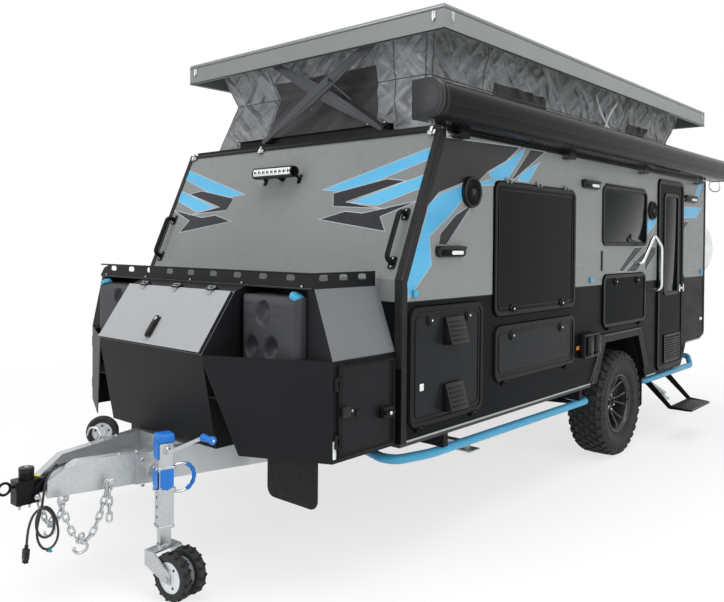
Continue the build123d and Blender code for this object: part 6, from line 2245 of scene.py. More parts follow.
@dataclass
class Awning:
    """End caps, seams, bracket bolts and pull loop of the rolled awning."""

    x0: float = 1.105
    x1: float = 1.285
    y0: float = 0.050
    y1: float = 4.750
    z0: float = 2.220
    z1: float = 2.410

    def outline(self, grow: float) -> Array:
        """The case's section in x and z: flat back, rounded front.

        Args:
            grow: how far it stands out beyond the case, except at the back.

        Returns:
            A (k, 2) array of x and z.
        """
        corner = 0.080
        turn = np.linspace(-pi / 2, 0, 9)
        low = np.stack([self.x1 - corner + (corner + grow) * np.cos(turn),
                        self.z0 + corner + (corner + grow) * np.sin(turn)], -1)
        high = np.stack([self.x1 - corner + (corner + grow) * np.cos(turn + pi / 2),
                         self.z1 - corner + (corner + grow) * np.sin(turn + pi / 2)], -1)
        back = np.array([[self.x0 + 0.002, self.z1 + grow], [self.x0 + 0.002, self.z0 - grow]])
        return np.concatenate([low, high, back])

    def build(self) -> None:
        """Caps with a raised lip, three long seams, bracket bolts and the loop at the rear end."""
        piece = Piece("awning_caps", "body", "charcoal")
        for y, out in ((self.y0 + 0.0275, -1.0), (self.y1 - 0.0275, 1.0)):
            place = end_place((0.0, y, 0.0), out)
            piece.add(AWNING_CAP, slab(self.outline(0.003), place, 0.0285, 0.006))
            inner = offset(self.outline(0.0), np.array([0.016]))[0]
            lip = end_place((0.0, y + out * 0.0275, 0.0), out)
            piece.add(AWNING_CAP, slab(inner, lip, 0.003, 0.0015))
            gap = end_place((0.0, y - out * 0.034, 0.0), out)
            piece.add(FRAME_BLACK, slab(self.outline(0.0015), gap, 0.034, 0.001))
        piece.make()
        seams = Piece("awning_seams", "body", "charcoal")
        span = (self.y0 + 0.030, self.y1 - 0.030)
        profile = circle(0.0022, 8)
        for x, z in ((self.x1 - 0.0010, self.z0 + 0.070), (self.x1 - 0.030, self.z0 + 0.0165),
                     (self.x0 + 0.060, self.z1 - 0.0002)):
            line = np.array([[x, span[0], z], [x, sum(span) / 2, z], [x, span[1], z]])
            seams.add(FRAME_BLACK, carried(profile, line, (0, 0, 1)))
        seams.make()
        loop = Piece("awning_loop", "body", "steel")
        loop.add(PLATED, tube(((1.120, 4.650, 2.221), (1.112, 4.652, 2.160), (1.150, 4.654, 2.122),
                               (1.200, 4.654, 2.130), (1.205, 4.652, 2.180), (1.196, 4.650, 2.2205)),
                              0.005, (0, 1, 0), 8, 10))
        for y in (0.459, 1.716, 2.993, 4.300):
            for shift in (-0.026, 0.026):
                loop.add(PLATED, bolt_head((PANEL_FACE, y + shift, 2.176), (0, 0, 1), 0.005, 0.004))
        loop.make()


# ------------------------------------------------------------------------------- drawbar and box
@dataclass
class FrontBox:
    """Latches, edge strips, reflector and fold lines of the drawbar box."""

    side_x: float = 1.050
    door_face: float = 1.0743
    ledge: float = 1.080

    def lid_place(self, along: float, out: float) -> Place:
        """Axes on the lid, whose slope runs from the nose edge up to the deck.

        Args:
            along: distance up the slope from the nose edge.
            out: distance out of the lid.

        Returns:
            The place on the lid.
        """
        low, high = np.array([0.0, -0.720, self.ledge]), np.array([0.0, -0.520, 1.372])
        up = (high - low) / np.linalg.norm(high - low)
        face = np.array([0.0, -up[2], up[1]])
        return Place(tuple(low + up * along + face * out), (1, 0, 0), tuple(up), tuple(face))

    def latch(self, place: Place, piece: Piece) -> None:
        """A flush whale-tail latch: dished plate, paddle and lock.

        Args:
            place: its middle, with w out of the panel and v along the latch.
            piece: the piece that takes it.
        """
        piece.add(FRAME_BLACK, slab(round_rect(-0.022, 0.022, -0.064, 0.064, 0.020), place, 0.004, 0.002))
        piece.add(BLACK_PLASTIC, slab(round_rect(-0.013, 0.013, -0.050, 0.026, 0.011), place, 0.012, 0.004))
        lock = Place(tuple(place.at(0.0, 0.044, 0.0)), place.u, place.v, place.w)
        piece.add(PLATED, turned(((0.010, 0.0), (0.010, 0.006), (0.008, 0.008), (0.001, 0.0075)), lock, 18))

    def build(self) -> None:
        """Dress the lid, the side doors and the shell."""
        lid = Piece("lid_latch", "box_lid", "black_coat")
        self.latch(self.lid_place(0.100, 0.0295), lid)
        hem = slab(round_rect(-0.458, 0.458, -0.004, 0.010, 0.003, 3), self.lid_place(0.006, 0.018), 0.003)
        lid.add(BOX_LID_COAT, hem).make()
        for side, body in ((Side.NEAR, "box_door_left"), (Side.FAR, "box_door_right")):
            door = Piece(f"{body}_trim", body, "black_coat")
            flat = side_place(side, x=self.door_face)
            door.add(BLACK_PLASTIC, slab(round_rect(-0.402, -0.350, 0.826, 0.874, 0.005, 4), flat, 0.0055,
                                         0.002))
            door.add(PLATED, turned(((0.006, 0.0), (0.006, 0.0075), (0.001, 0.0085)),
                                    side_place(side, -0.342, 0.852, self.door_face), 14))
            knob = side_place(side, -0.095, 0.805, self.door_face + 0.006)
            door.add(FRAME_BLACK, slab(round_rect(-0.042, 0.042, -0.028, 0.028, 0.010), knob, 0.007, 0.003),
                     slab(round_rect(-0.036, 0.036, -0.009, 0.009, 0.008), knob, 0.0275, 0.005))
            door.add(CHROME, turned(((0.009, 0.0), (0.009, 0.029), (0.006, 0.0305), (0.001, 0.030)),
                                    Place(knob.origin, knob.u, knob.v, knob.w), 18))
            edge = round_rect(-0.408, -0.028, 0.642, 1.058, 0.012)
            door.add(FRAME_BLACK, ring_slab(edge, flat, 0.008, 0.0025, 0.001)).make()
        shell = Piece("box_trims", "body", "black_coat")
        for side in Side:
            strip = side_place(side, x=self.side_x)
            shell.add(LENS_PALE, slab(round_rect(-0.4385, -0.4175, 0.640, 0.722, 0.003, 3), strip, 0.003,
                                      0.001))
            shell.add(FRAME_BLACK, slab(round_rect(-0.436, 0.0, 1.072, 1.082, 0.003, 3), strip, 0.004,
                                        0.0015))
        front = end_place((0.0, -0.450, 1.400), -1)
        shell.add(FRAME_BLACK, slab(round_rect(-0.925, 0.925, 0.066, 0.0748, 0.003, 3), front, 0.003,
                                    0.001))
        shell.add(BOX_LID_COAT, slab(round_rect(-0.925, 0.925, -0.004, 0.004, 0.003, 3), front, 0.004,
                                     0.001))
        for x in (-0.86, -0.43, 0.0, 0.43, 0.86):
            shell.add(PLATED, bolt_head((x, -0.4525, 1.412), (0, -1, 0), 0.006, 0.003))
        shell.make()


@dataclass
class WaterCans:
    """Moulded cans with finger dimples, pressed squares and a ribbed blue cap."""

    x0: float = 0.476
    y_front: float = -0.500
    y_back: float = -0.335
    z0: float = 0.880
    wide: float = 0.400
    tall: float = 0.480
    corner: float = 0.040
    dimples: tuple = ((0.165, 0.400), (0.085, 0.228), (0.228, 0.228))

    def face(self, s: Array, t: Array, sign: float) -> Array:
        """One broad face of the can.

        Its depth is a quarter-round towards the rim, less a smooth dish for every dimple, less two
        shallow pressed squares.

        Args:
            s: place across the can.
            t: place up the can.
            sign: 1 or -1 for the two faces.

        Returns:
            Points of the face.
        """
        rim = np.minimum(np.minimum(s, self.wide - s), np.minimum(t, self.tall - t))
        drop = np.clip(1 - rim / self.corner, 0, 1)
        sag = self.corner * (1 - np.sqrt(1 - 0.96 * drop ** 2))
        for ds, dt in self.dimples:
            away = np.hypot((s - ds), (t - dt) * 0.8) / 0.036
            sag = sag + 0.040 * np.clip(1.25 - away, 0, 1) ** 0.5
        for ds, half in ((0.072, 0.034), (0.262, 0.024)):
            inside = np.maximum(np.abs(s - ds), np.abs(t - 0.400)) / half
            sag = sag + 0.0022 * (np.abs(inside - 0.95) < 0.12)
        y = self.y_front if sign < 0 else self.y_back
        return np.stack([self.x0 + s, y - sign * sag, self.z0 + 0.001 + t], -1)

    def build(self) -> None:
        """Both cans, with neck, cap and moulded lip."""
        piece = Piece("water_can_shells", "body", "can")
        ease = 0.5 - 0.5 * np.cos(np.linspace(0, pi, 62))
        line_s = self.wide * (0.35 * ease + 0.65 * np.linspace(0, 1, 62))
        line_t = self.tall * (0.35 * ease + 0.65 * np.linspace(0, 1, 62))
        s, t = np.meshgrid(line_s, line_t)
        body = two_faced(self.face(s, t, -1.0), self.face(s, t, 1.0))
        lean = radians(25)
        neck = Place((self.x0 + self.wide - 0.050, -0.4640, self.z0 + self.tall - 0.026),
                     (cos(lean), 0, -sin(lean)), (0, 1, 0), (sin(lean), 0, cos(lean)))
        stem = turned(((0.026, 0.0), (0.022, 0.010), (0.0215, 0.022), (0.0235, 0.024), (0.0215, 0.026)),
                      neck, 28)
        top = Place(tuple(neck.at(0.0, 0.0, 0.020)), neck.u, neck.v, neck.w)
        turn = np.linspace(0, 2 * pi, 96, endpoint=False)
        ripple = 1 + 0.03 * np.sign(np.sin(24 * turn))
        profile = np.array([(0.0320, 0.0), (0.0335, 0.003), (0.0335, 0.018), (0.0310, 0.0225),
                            (0.006, 0.0240)])
        radius = profile[:, :1] * np.where(profile[:, 1:] > 0.020, 1.0, ripple[None])
        cap = grid_skin(top.at(radius * np.cos(turn), radius * np.sin(turn), profile[:, 1:] + 0 * turn),
                        wrap_v=True, caps=True)
        piece.add_mirrored(CAN_PLASTIC, body, stem).add_mirrored(RAIL_BLUE, cap)
        seam = carried(circle(0.0018, 6), smooth_path(
            tuple((self.x0 + a, (self.y_front + self.y_back) / 2, self.z0 + b) for a, b in
                  ((0.0, 0.05), (0.0, 0.25), (0.0, 0.44), (0.030, 0.4800), (0.20, 0.4812),
                   (0.32, 0.4808))), 5),
            (0, 1, 0))
        piece.add_mirrored(CAN_PLASTIC, seam).make(50, replaces=("water_cans",))


@dataclass
class Coupling:
    """Details of the coupling head: ribs, lever, grease nipple, hanging bolts and tag."""

    y: float = -1.350
    z0: float = 0.450

    def build(self) -> None:
        """All ride on the body."""
        piece = Piece("coupling_details", "body", "black_steel")
        for z in (0.462, 0.486, 0.510):
            rib = slab(round_rect(-0.0395, 0.0395, -1.393, -1.291, 0.011), Place(
                (0, 0, z), (1, 0, 0), (0, 1, 0), (0, 0, 1)), 0.006, 0.002)
            piece.add(FRAME_BLACK, rib)
        up = top_place((0.0, -1.336, 0.5905))
        piece.add(BLACK_PLASTIC, turned(((0.0335, -0.016), (0.0335, -0.003), (0.028, 0.001), (0.012, 0.002),
                                         (0.001, 0.002)), up, 32))
        piece.add(PLATED, turned(((0.010, 0.0), (0.010, 0.004), (0.001, 0.006)), up, 6))
        lever = tube(((0.040, -1.315, 0.500), (0.052, -1.300, 0.520), (0.052, -1.255, 0.560),
                      (0.046, -1.215, 0.588)), 0.006, (1, 0, 0), 6, 12)
        piece.add(FRAME_BLACK, lever)
        for y in (-1.375, -1.330, -1.292):
            piece.add(PLATED, bolt_head((0.018, y, 0.4352), (0, 0, -1), 0.009, 0.010),
                      turned(((0.0055, 0.0), (0.0055, 0.020), (0.004, 0.022)), Place(
                          (0.018, y, 0.4352), (1, 0, 0), (0, -1, 0), (0, 0, -1)), 12))
        piece.add(PLATED, bolt_head((0.053, -1.314, 0.464), (1, 0, 0), 0.013, 0.008))
        tag = Place((-0.010, -1.295, 0.543), (0.94, 0.34, 0), (-0.34, 0.94, 0), (0, 0, 1))
        piece.add(YELLOW_TAG, slab(round_rect(-0.012, 0.030, -0.010, 0.010, 0.003, 3), tag, 0.004, 0.001))
        piece.make()


@dataclass
class ChainEnds:
    """Shackles on the studs and the grab hook that hangs from each loop."""

    low_link: tuple = (0.146, -1.150, 0.262)

    def build(self) -> None:
        """One hook and two nuts on each side."""
        x, y, z = self.low_link
        hook = tube(((x, y, z - 0.004), (x + 0.004, y + 0.002, z - 0.022),
                     (x + 0.012, y + 0.022, z - 0.040),
                     (x + 0.008, y + 0.016, z - 0.064), (x, y - 0.014, z - 0.072),
                     (x - 0.004, y - 0.036, z - 0.052),
                     (x - 0.002, y - 0.030, z - 0.040)), 0.0065, (1, 0, 0), 6, 12)
        eye = carried(circle(0.005, 10), np.array(
            [[x, y + 0.012 * cos(a), z + 0.002 + 0.014 * sin(a)] for a in np.linspace(0, 2 * pi, 20)[:-1]]),
            (1, 0, 0), loop=True)
        nuts = [bolt_head((0.1435, -1.2435, 0.452), (0.955, -0.297, 0), 0.013, 0.008),
                bolt_head((0.2335, -1.0500, 0.512), (0.955, -0.297, 0), 0.013, 0.008)]
        piece = Piece("chain_ends", "body", "galvanised")
        piece.add_mirrored(PLATED, hook, eye, *nuts).make()


@dataclass
class Drawbar:
    """Weld beads, tie bolts and the stowed spare jockey wheel behind the far rail."""

    def build(self) -> None:
        """Small parts fixed to the drawbar."""
        run = (0.432 - 0.046) / (0.120 + 1.266)
        piece = Piece("drawbar_details", "body", "galvanised")
        rough = circle(0.004, 8)
        for y, z0, z1 in ((-1.188, 0.470, 0.540), (-0.615, 0.455, 0.598)):
            x = 0.046 + (y + 1.266) * run - 0.026
            line = np.linspace((x, y - 0.026, z0), (x, y - 0.026, z1), 30)
            line[:, 0] += 0.0008 * np.sin(np.arange(30) * 2.1)
            piece.add_mirrored(ZINC, carried(rough, line, (0, 1, 0)))
        for y in (-0.95, -0.87, -0.78):
            x = 0.046 + (y + 1.266) * run
            piece.add_mirrored(PLATED, bolt_head((x, y, 0.600), (0, 0, 1), 0.010, 0.007))
        piece.make()
        centre = Place((-0.262, -0.815, 0.612), (0.6, 0.8, 0.0), (0, 0, 1), (0.8, -0.6, 0.0))
        stowed = Piece("stowed_wheel", "body", "rubber")
        hub = turned(((0.052, -0.016), (0.052, 0.016), (0.044, 0.019), (0.024, 0.012), (0.020, 0.024),
                      (0.001, 0.024)), centre, 36)
        tyre = turned(((0.052, -0.021), (0.074, -0.021), (0.082, -0.012), (0.083, 0.0), (0.082, 0.012),
                       (0.074, 0.021), (0.052, 0.021)), centre, 48, caps=False)
        stowed.add(WHITE_RIM, hub).add(TYRE_RUBBER, tyre)
        for k in range(5):
            turn = 2 * pi * k / 5 + 0.3
            spot = Place(tuple(centre.at(0.036 * cos(turn), 0.036 * sin(turn), 0.0162)), centre.u,
                         centre.v, centre.w)
            stowed.add(FRAME_BLACK, turned(((0.006, 0.0), (0.006, 0.0012), (0.001, 0.0014)), spot, 12))
        arm = straight((-0.262, -0.815, 0.612), (-0.245, -0.860, 0.560), 0.010)
        plate = slab(round_rect(-0.030, 0.030, -0.075, 0.010, 0.008),
                     Place(tuple(centre.at(0.0, 0.0, -0.028)), centre.u, centre.v, centre.w), 0.005)
        clamp = tube(((-0.214, -0.85, 0.604), (-0.235, -0.862, 0.640), (-0.270, -0.880, 0.640),
                      (-0.290, -0.885, 0.600)), 0.006, (0, 1, 0), 6, 10)
        stowed.add(PLATED, arm, plate, clamp).make()


@dataclass
class JockeyWheel:
    """Jockey leg with blue fittings, and its twin treaded wheels."""

    x: float = 0.400
    y: float = -0.880
    turn: float = 15.6
    fork_turn: float = -6.3
    out: float = 0.070
    trail: float = 0.110
    radius: float = 0.110
    width: float = 0.050
    track: float = 0.086
    lugs: int = 30

    def axes(self) -> tuple:
        """Unit vectors outwards from the drawbar, along it and up."""
        a = radians(self.turn)
        return (cos(a), -sin(a), 0.0), (sin(a), cos(a), 0.0), (0.0, 0.0, 1.0)

    def place(self, u: float, v: float, z: float, order: str = "uvw") -> Place:
        """Axes at a local point, in the given order of the leg's own axes.

        Args:
            u: distance along the first axis.
            v: distance along the second axis.
            z: height above ground.
            order: which axis serves as u, v and w.

        Returns:
            The axes at that point.
        """
        axes = dict(zip("uvw", self.axes()))
        base = np.array([self.x, self.y, 0.0])
        origin = base + np.array(axes["u"]) * u + np.array(axes["v"]) * v + np.array(axes["w"]) * z
        return Place(tuple(origin), *(axes[k] for k in order))

    def point(self, u: float, v: float, z: float) -> tuple:
        """A local point in the modelling frame."""
        return self.place(u, v, z).origin

    def leg(self) -> None:
        """Outer tube, cap, crank, D handle, clamp plates, blank shield and bolts."""
        half = self.out / 2
        square = round_rect(-half, half, -half, half, 0.006, 4)
        hole = 0.027
        insets = np.array([0.0, 0.0, 0.002, half - hole, half - hole])
        heights = np.array([0.002, 0.388, 0.390, 0.390, 0.0])
        insets = np.append(insets, 0.002)
        heights = np.append(heights, 0.0)
        rings = offset(square, insets)
        base = self.place(0.0, 0.0, 0.300)
        levels = np.repeat(heights[:, None], len(square), 1)
        outer = grid_skin(base.at(rings[..., 0], rings[..., 1], levels), wrap_u=True, wrap_v=True)
        piece = Piece("jockey_leg_dressed", "jockey_leg", "galvanised")
        piece.add(ZINC, outer)
        piece.add(ZINC, slab(round_rect(-0.032, 0.032, -0.032, 0.032, 0.004), self.place(0, 0, 0.672),
                             0.012))
        collar = ring_slab(round_rect(-0.0385, 0.0385, -0.0385, 0.0385, 0.008), self.place(0, 0, 0.300),
                           0.0033, 0.012, 0.001)
        piece.add(PLATED, collar)
        piece.add(JOCKEY_BLUE, slab(round_rect(-0.038, 0.038, -0.038, 0.038, 0.008),
                                    self.place(0, 0, 0.690),
                                    0.044, 0.010),
                  slab(round_rect(-0.034, 0.034, 0.620, 0.700, 0.006),
                       self.place(0, -half - 0.001, 0, "uwv"), -0.004))
        plate = slab(round_rect(-0.033, 0.033, -0.045, 0.045, 0.005),
                     self.place(-half - 0.004, 0, 0.525, "vwu"),
                     0.006)
        arm = slab(round_rect(-0.0275, 0.0275, -0.0445, 0.0445, 0.004),
                   self.place(-0.062, 0, 0.525, "vwu"), 0.030)
        piece.add(ZINC, arm).add(PLATED, plate)
        for v in (-0.024, 0.024):
            for z in (0.492, 0.558):
                piece.add(PLATED, bolt_head(self.point(-half - 0.004, v, z), self.axes()[0], 0.008, 0.009),
                          straight(self.point(-0.060, v, z), self.point(-half, v, z), 0.0045))
        for z in (0.475, 0.575):
            band = ring_slab(round_rect(-0.041, 0.041, -0.041, 0.041, 0.007), self.place(0, 0, z - 0.009),
                             0.006, 0.018, 0.002)
            piece.add(PLATED, band)
            for v in (-0.041, 0.041):
                piece.add(PLATED, bolt_head(self.point(0.020, v, z), np.sign(v) * np.array(self.axes()[1]),
                                            0.007, 0.007),
                          bolt_head(self.point(-0.020, v, z), np.sign(v) * np.array(self.axes()[1]),
                                    0.007, 0.007))
        shield = np.array([(-0.031, 0.046), (0.031, 0.046), (0.031, -0.034), (0.0, -0.052),
                           (-0.031, -0.034)])
        piece.add(JOCKEY_BLUE, slab(shield, self.place(half + 0.0045, 0, 0.528, "vwu"), 0.004, 0.001),
                  slab(shield * np.array([-1, 1]), self.place(0, -half - 0.0045, 0.528, "uwv"), -0.004,
                       0.001))
        self.handle(piece, half)
        for z in (0.395, 0.350, 0.440):
            spot = self.place(0.0, -half - 0.0002, z, "uwv")
            hollow = Place(spot.origin, spot.u, spot.v, tuple(-np.array(spot.w)))
            piece.add(FRAME_BLACK, turned(((0.0075, 0.0), (0.0075, 0.0006), (0.001, 0.0008)), hollow, 16))
        piece.make(replaces=("jockey_leg",))

    def handle(self, piece: Piece, half: float) -> None:
        """Crank with its grip, and the D handle whose middle is sleeved in blue.

        Args:
            piece: the piece that takes it.
            half: half the outer tube's width.
        """
        up = self.axes()[2]
        shaft = [self.point(half - 0.004, 0, 0.660), self.point(half + 0.030, 0, 0.660)]
        piece.add(PLATED, straight(*shaft, 0.009),
                  turned(((0.015, 0.0), (0.015, 0.010), (0.011, 0.014)),
                         self.place(half, 0, 0.660, "vwu"), 24))
        start, end = self.point(half + 0.032, -0.008, 0.657), self.point(half + 0.060, 0.150, 0.712)
        blade = carried(polygon(((-0.004, -0.0085), (0.004, -0.0085), (0.004, 0.0085), (-0.004, 0.0085))),
                        np.array([start, np.mean([start, end], 0), end]), up)
        piece.add(PLATED, blade)
        grip = [self.point(half + 0.058, 0.1497, 0.712), self.point(half + 0.150, 0.165, 0.714)]
        axis = np.array(grip[1]) - np.array(grip[0])
        long = float(np.linalg.norm(axis))
        w = axis / long
        u = np.cross(up, w)
        u /= np.linalg.norm(u)
        along = np.linspace(0, 1, 24)
        waist = 0.0165 + 0.0022 * np.cos(2 * pi * along) + 0.0006 * np.sin(40 * pi * along)
        waist[[0, -1]] = 0.011
        profile = tuple(zip(waist, along * long))
        grip_place = Place(tuple(grip[0]), tuple(u), tuple(np.cross(w, u)), tuple(w))
        piece.add(JOCKEY_BLUE, turned(profile, grip_place, 26))
        piece.add(CHROME, turned(((0.006, 0.0), (0.006, 0.0025), (0.001, 0.003)), Place(
            tuple(grip[1]), tuple(u), tuple(np.cross(w, u)), tuple(w)), 14))
        centre, z0, reach = half + 0.042, 0.515, 0.066
        a = np.linspace(-2.25, 2.25, 40)
        spots = self.place(0, centre, z0).at(0 * a, reach * np.cos(a), reach * np.sin(a))
        piece.add(PLATED, carried(circle(0.0065, 12), spots, self.axes()[0]))
        b = np.linspace(-1.15, 1.15, 60)
        sleeve = self.place(0, centre, z0).at(0 * b, reach * np.cos(b), reach * np.sin(b))
        size = (0.0095 + 0.0012 * np.cos(b * 14))[:, None, None]
        tangent = np.gradient(sleeve, axis=0)
        tangent /= np.linalg.norm(tangent, axis=1, keepdims=True)
        across = np.broadcast_to(np.array(self.axes()[0]), tangent.shape)
        rise = np.cross(across, tangent)
        ring = circle(1.0, 16)
        skin = sleeve[:, None] + size * (across[:, None] * ring[None, :, :1]
                                         + rise[:, None] * ring[None, :, 1:])
        piece.add(JOCKEY_BLUE, grid_skin(skin, wrap_v=True, caps=True))

    def wheels(self) -> None:
        """White hubs with spokes and black tyres with chevron lugs."""
        piece = Piece("jockey_wheels_dressed", "jockey_wheels", "rubber")
        half = self.width / 2
        for side in (-1, 1):
            axle = self.place(self.trail, side * self.track / 2, self.radius, "wuv")
            tyre = turned(((0.070, -half + 0.004), (0.078, -half), (0.097, -half + 0.001),
                           (0.1055, -half + 0.008),
                           (0.1076, 0.0), (0.1055, half - 0.008), (0.097, half - 0.001), (0.078, half),
                           (0.070, half - 0.004)), axle, 56, caps=False)
            piece.add(TYRE_RUBBER, tyre)
            count = np.arange(self.lugs * 2)
            turn = 2 * pi * count / self.lugs + np.where(count % 2, pi / self.lugs, 0)
            lean = np.where(count % 2, 0.5, -0.5)
            axial = np.where(count % 2, 0.0115, -0.0115)
            centres = axle.at(0.1064 * np.cos(turn), 0.1064 * np.sin(turn), axial)
            radial, around = axle.spokes(turn)
            across = np.broadcast_to(np.array(axle.w), radial.shape)
            skew = around * np.cos(lean)[:, None] + across * np.sin(lean)[:, None]
            other = np.cross(radial, skew)
            lugs = boxes(centres, np.stack([skew, other, radial], 1), np.array([0.0066, 0.0115, 0.0024]),
                         0.86)
            piece.add(TYRE_RUBBER, lugs)
            dish = turned(((0.0715, -half + 0.006), (0.0715, half - 0.006), (0.066, half - 0.004),
                           (0.063, half - 0.008), (0.030, half - 0.006), (0.026, half + 0.001),
                           (0.011, half + 0.002), (0.011, -half - 0.002), (0.026, -half - 0.001),
                           (0.030, -half + 0.006), (0.063, -half + 0.008), (0.066, -half + 0.004)),
                          axle, 48, caps=False)
            piece.add(WHITE_RIM, dish)
            for face in (-1, 1):
                for k in range(3):
                    turn = 2 * pi * k / 3 + 0.6
                    base = axle.at(0.047 * cos(turn), 0.047 * sin(turn), face * (half - 0.0075))
                    hole = Place(tuple(base), axle.u, tuple(np.array(axle.v) * face),
                                 tuple(np.array(axle.w) * face))
                    piece.add(FRAME_BLACK,
                              turned(((0.0065, 0.0), (0.0065, 0.0010), (0.001, 0.0012)), hole, 18))
        tie = self.place(self.trail, 0, self.radius, "wuv")
        piece.add(PLATED, turned(((0.022, -0.016), (0.022, 0.016), (0.011, 0.016), (0.011, -0.016)), tie,
                                 28,
                                 caps=False))
        piece.make(replaces=("jockey_wheels",))

    def build(self) -> None:
        """Leg, wheels, and nuts on the fork and the clamp."""
        self.leg()
        swivelled = replace(self, turn=self.fork_turn)
        swivelled.wheels()
        outer = self.track / 2 + self.width / 2 + 0.011
        fork = Piece("jockey_fork_nuts", "jockey_fork", "galvanised")
        for side in (-1, 1):
            fork.add(PLATED, bolt_head(swivelled.point(self.trail, side * outer, self.radius),
                                       side * np.array(swivelled.axes()[1]), 0.014, 0.009))
        fork.make()
        clamp = Piece("jockey_clamp_bolts", "body", "galvanised")
        base = np.array(self.point(0, 0, 0.525))
        out, along = np.array([0.9633, -0.2684, 0.0]), np.array([0.2684, 0.9633, 0.0])
        for a in (-0.060, 0.060):
            for z in (-0.060, 0.060):
                spot = base + along * a - out * 0.1365 + np.array([0, 0, z])
                clamp.add(PLATED, bolt_head(spot, out, 0.010, 0.008))
        clamp.make()


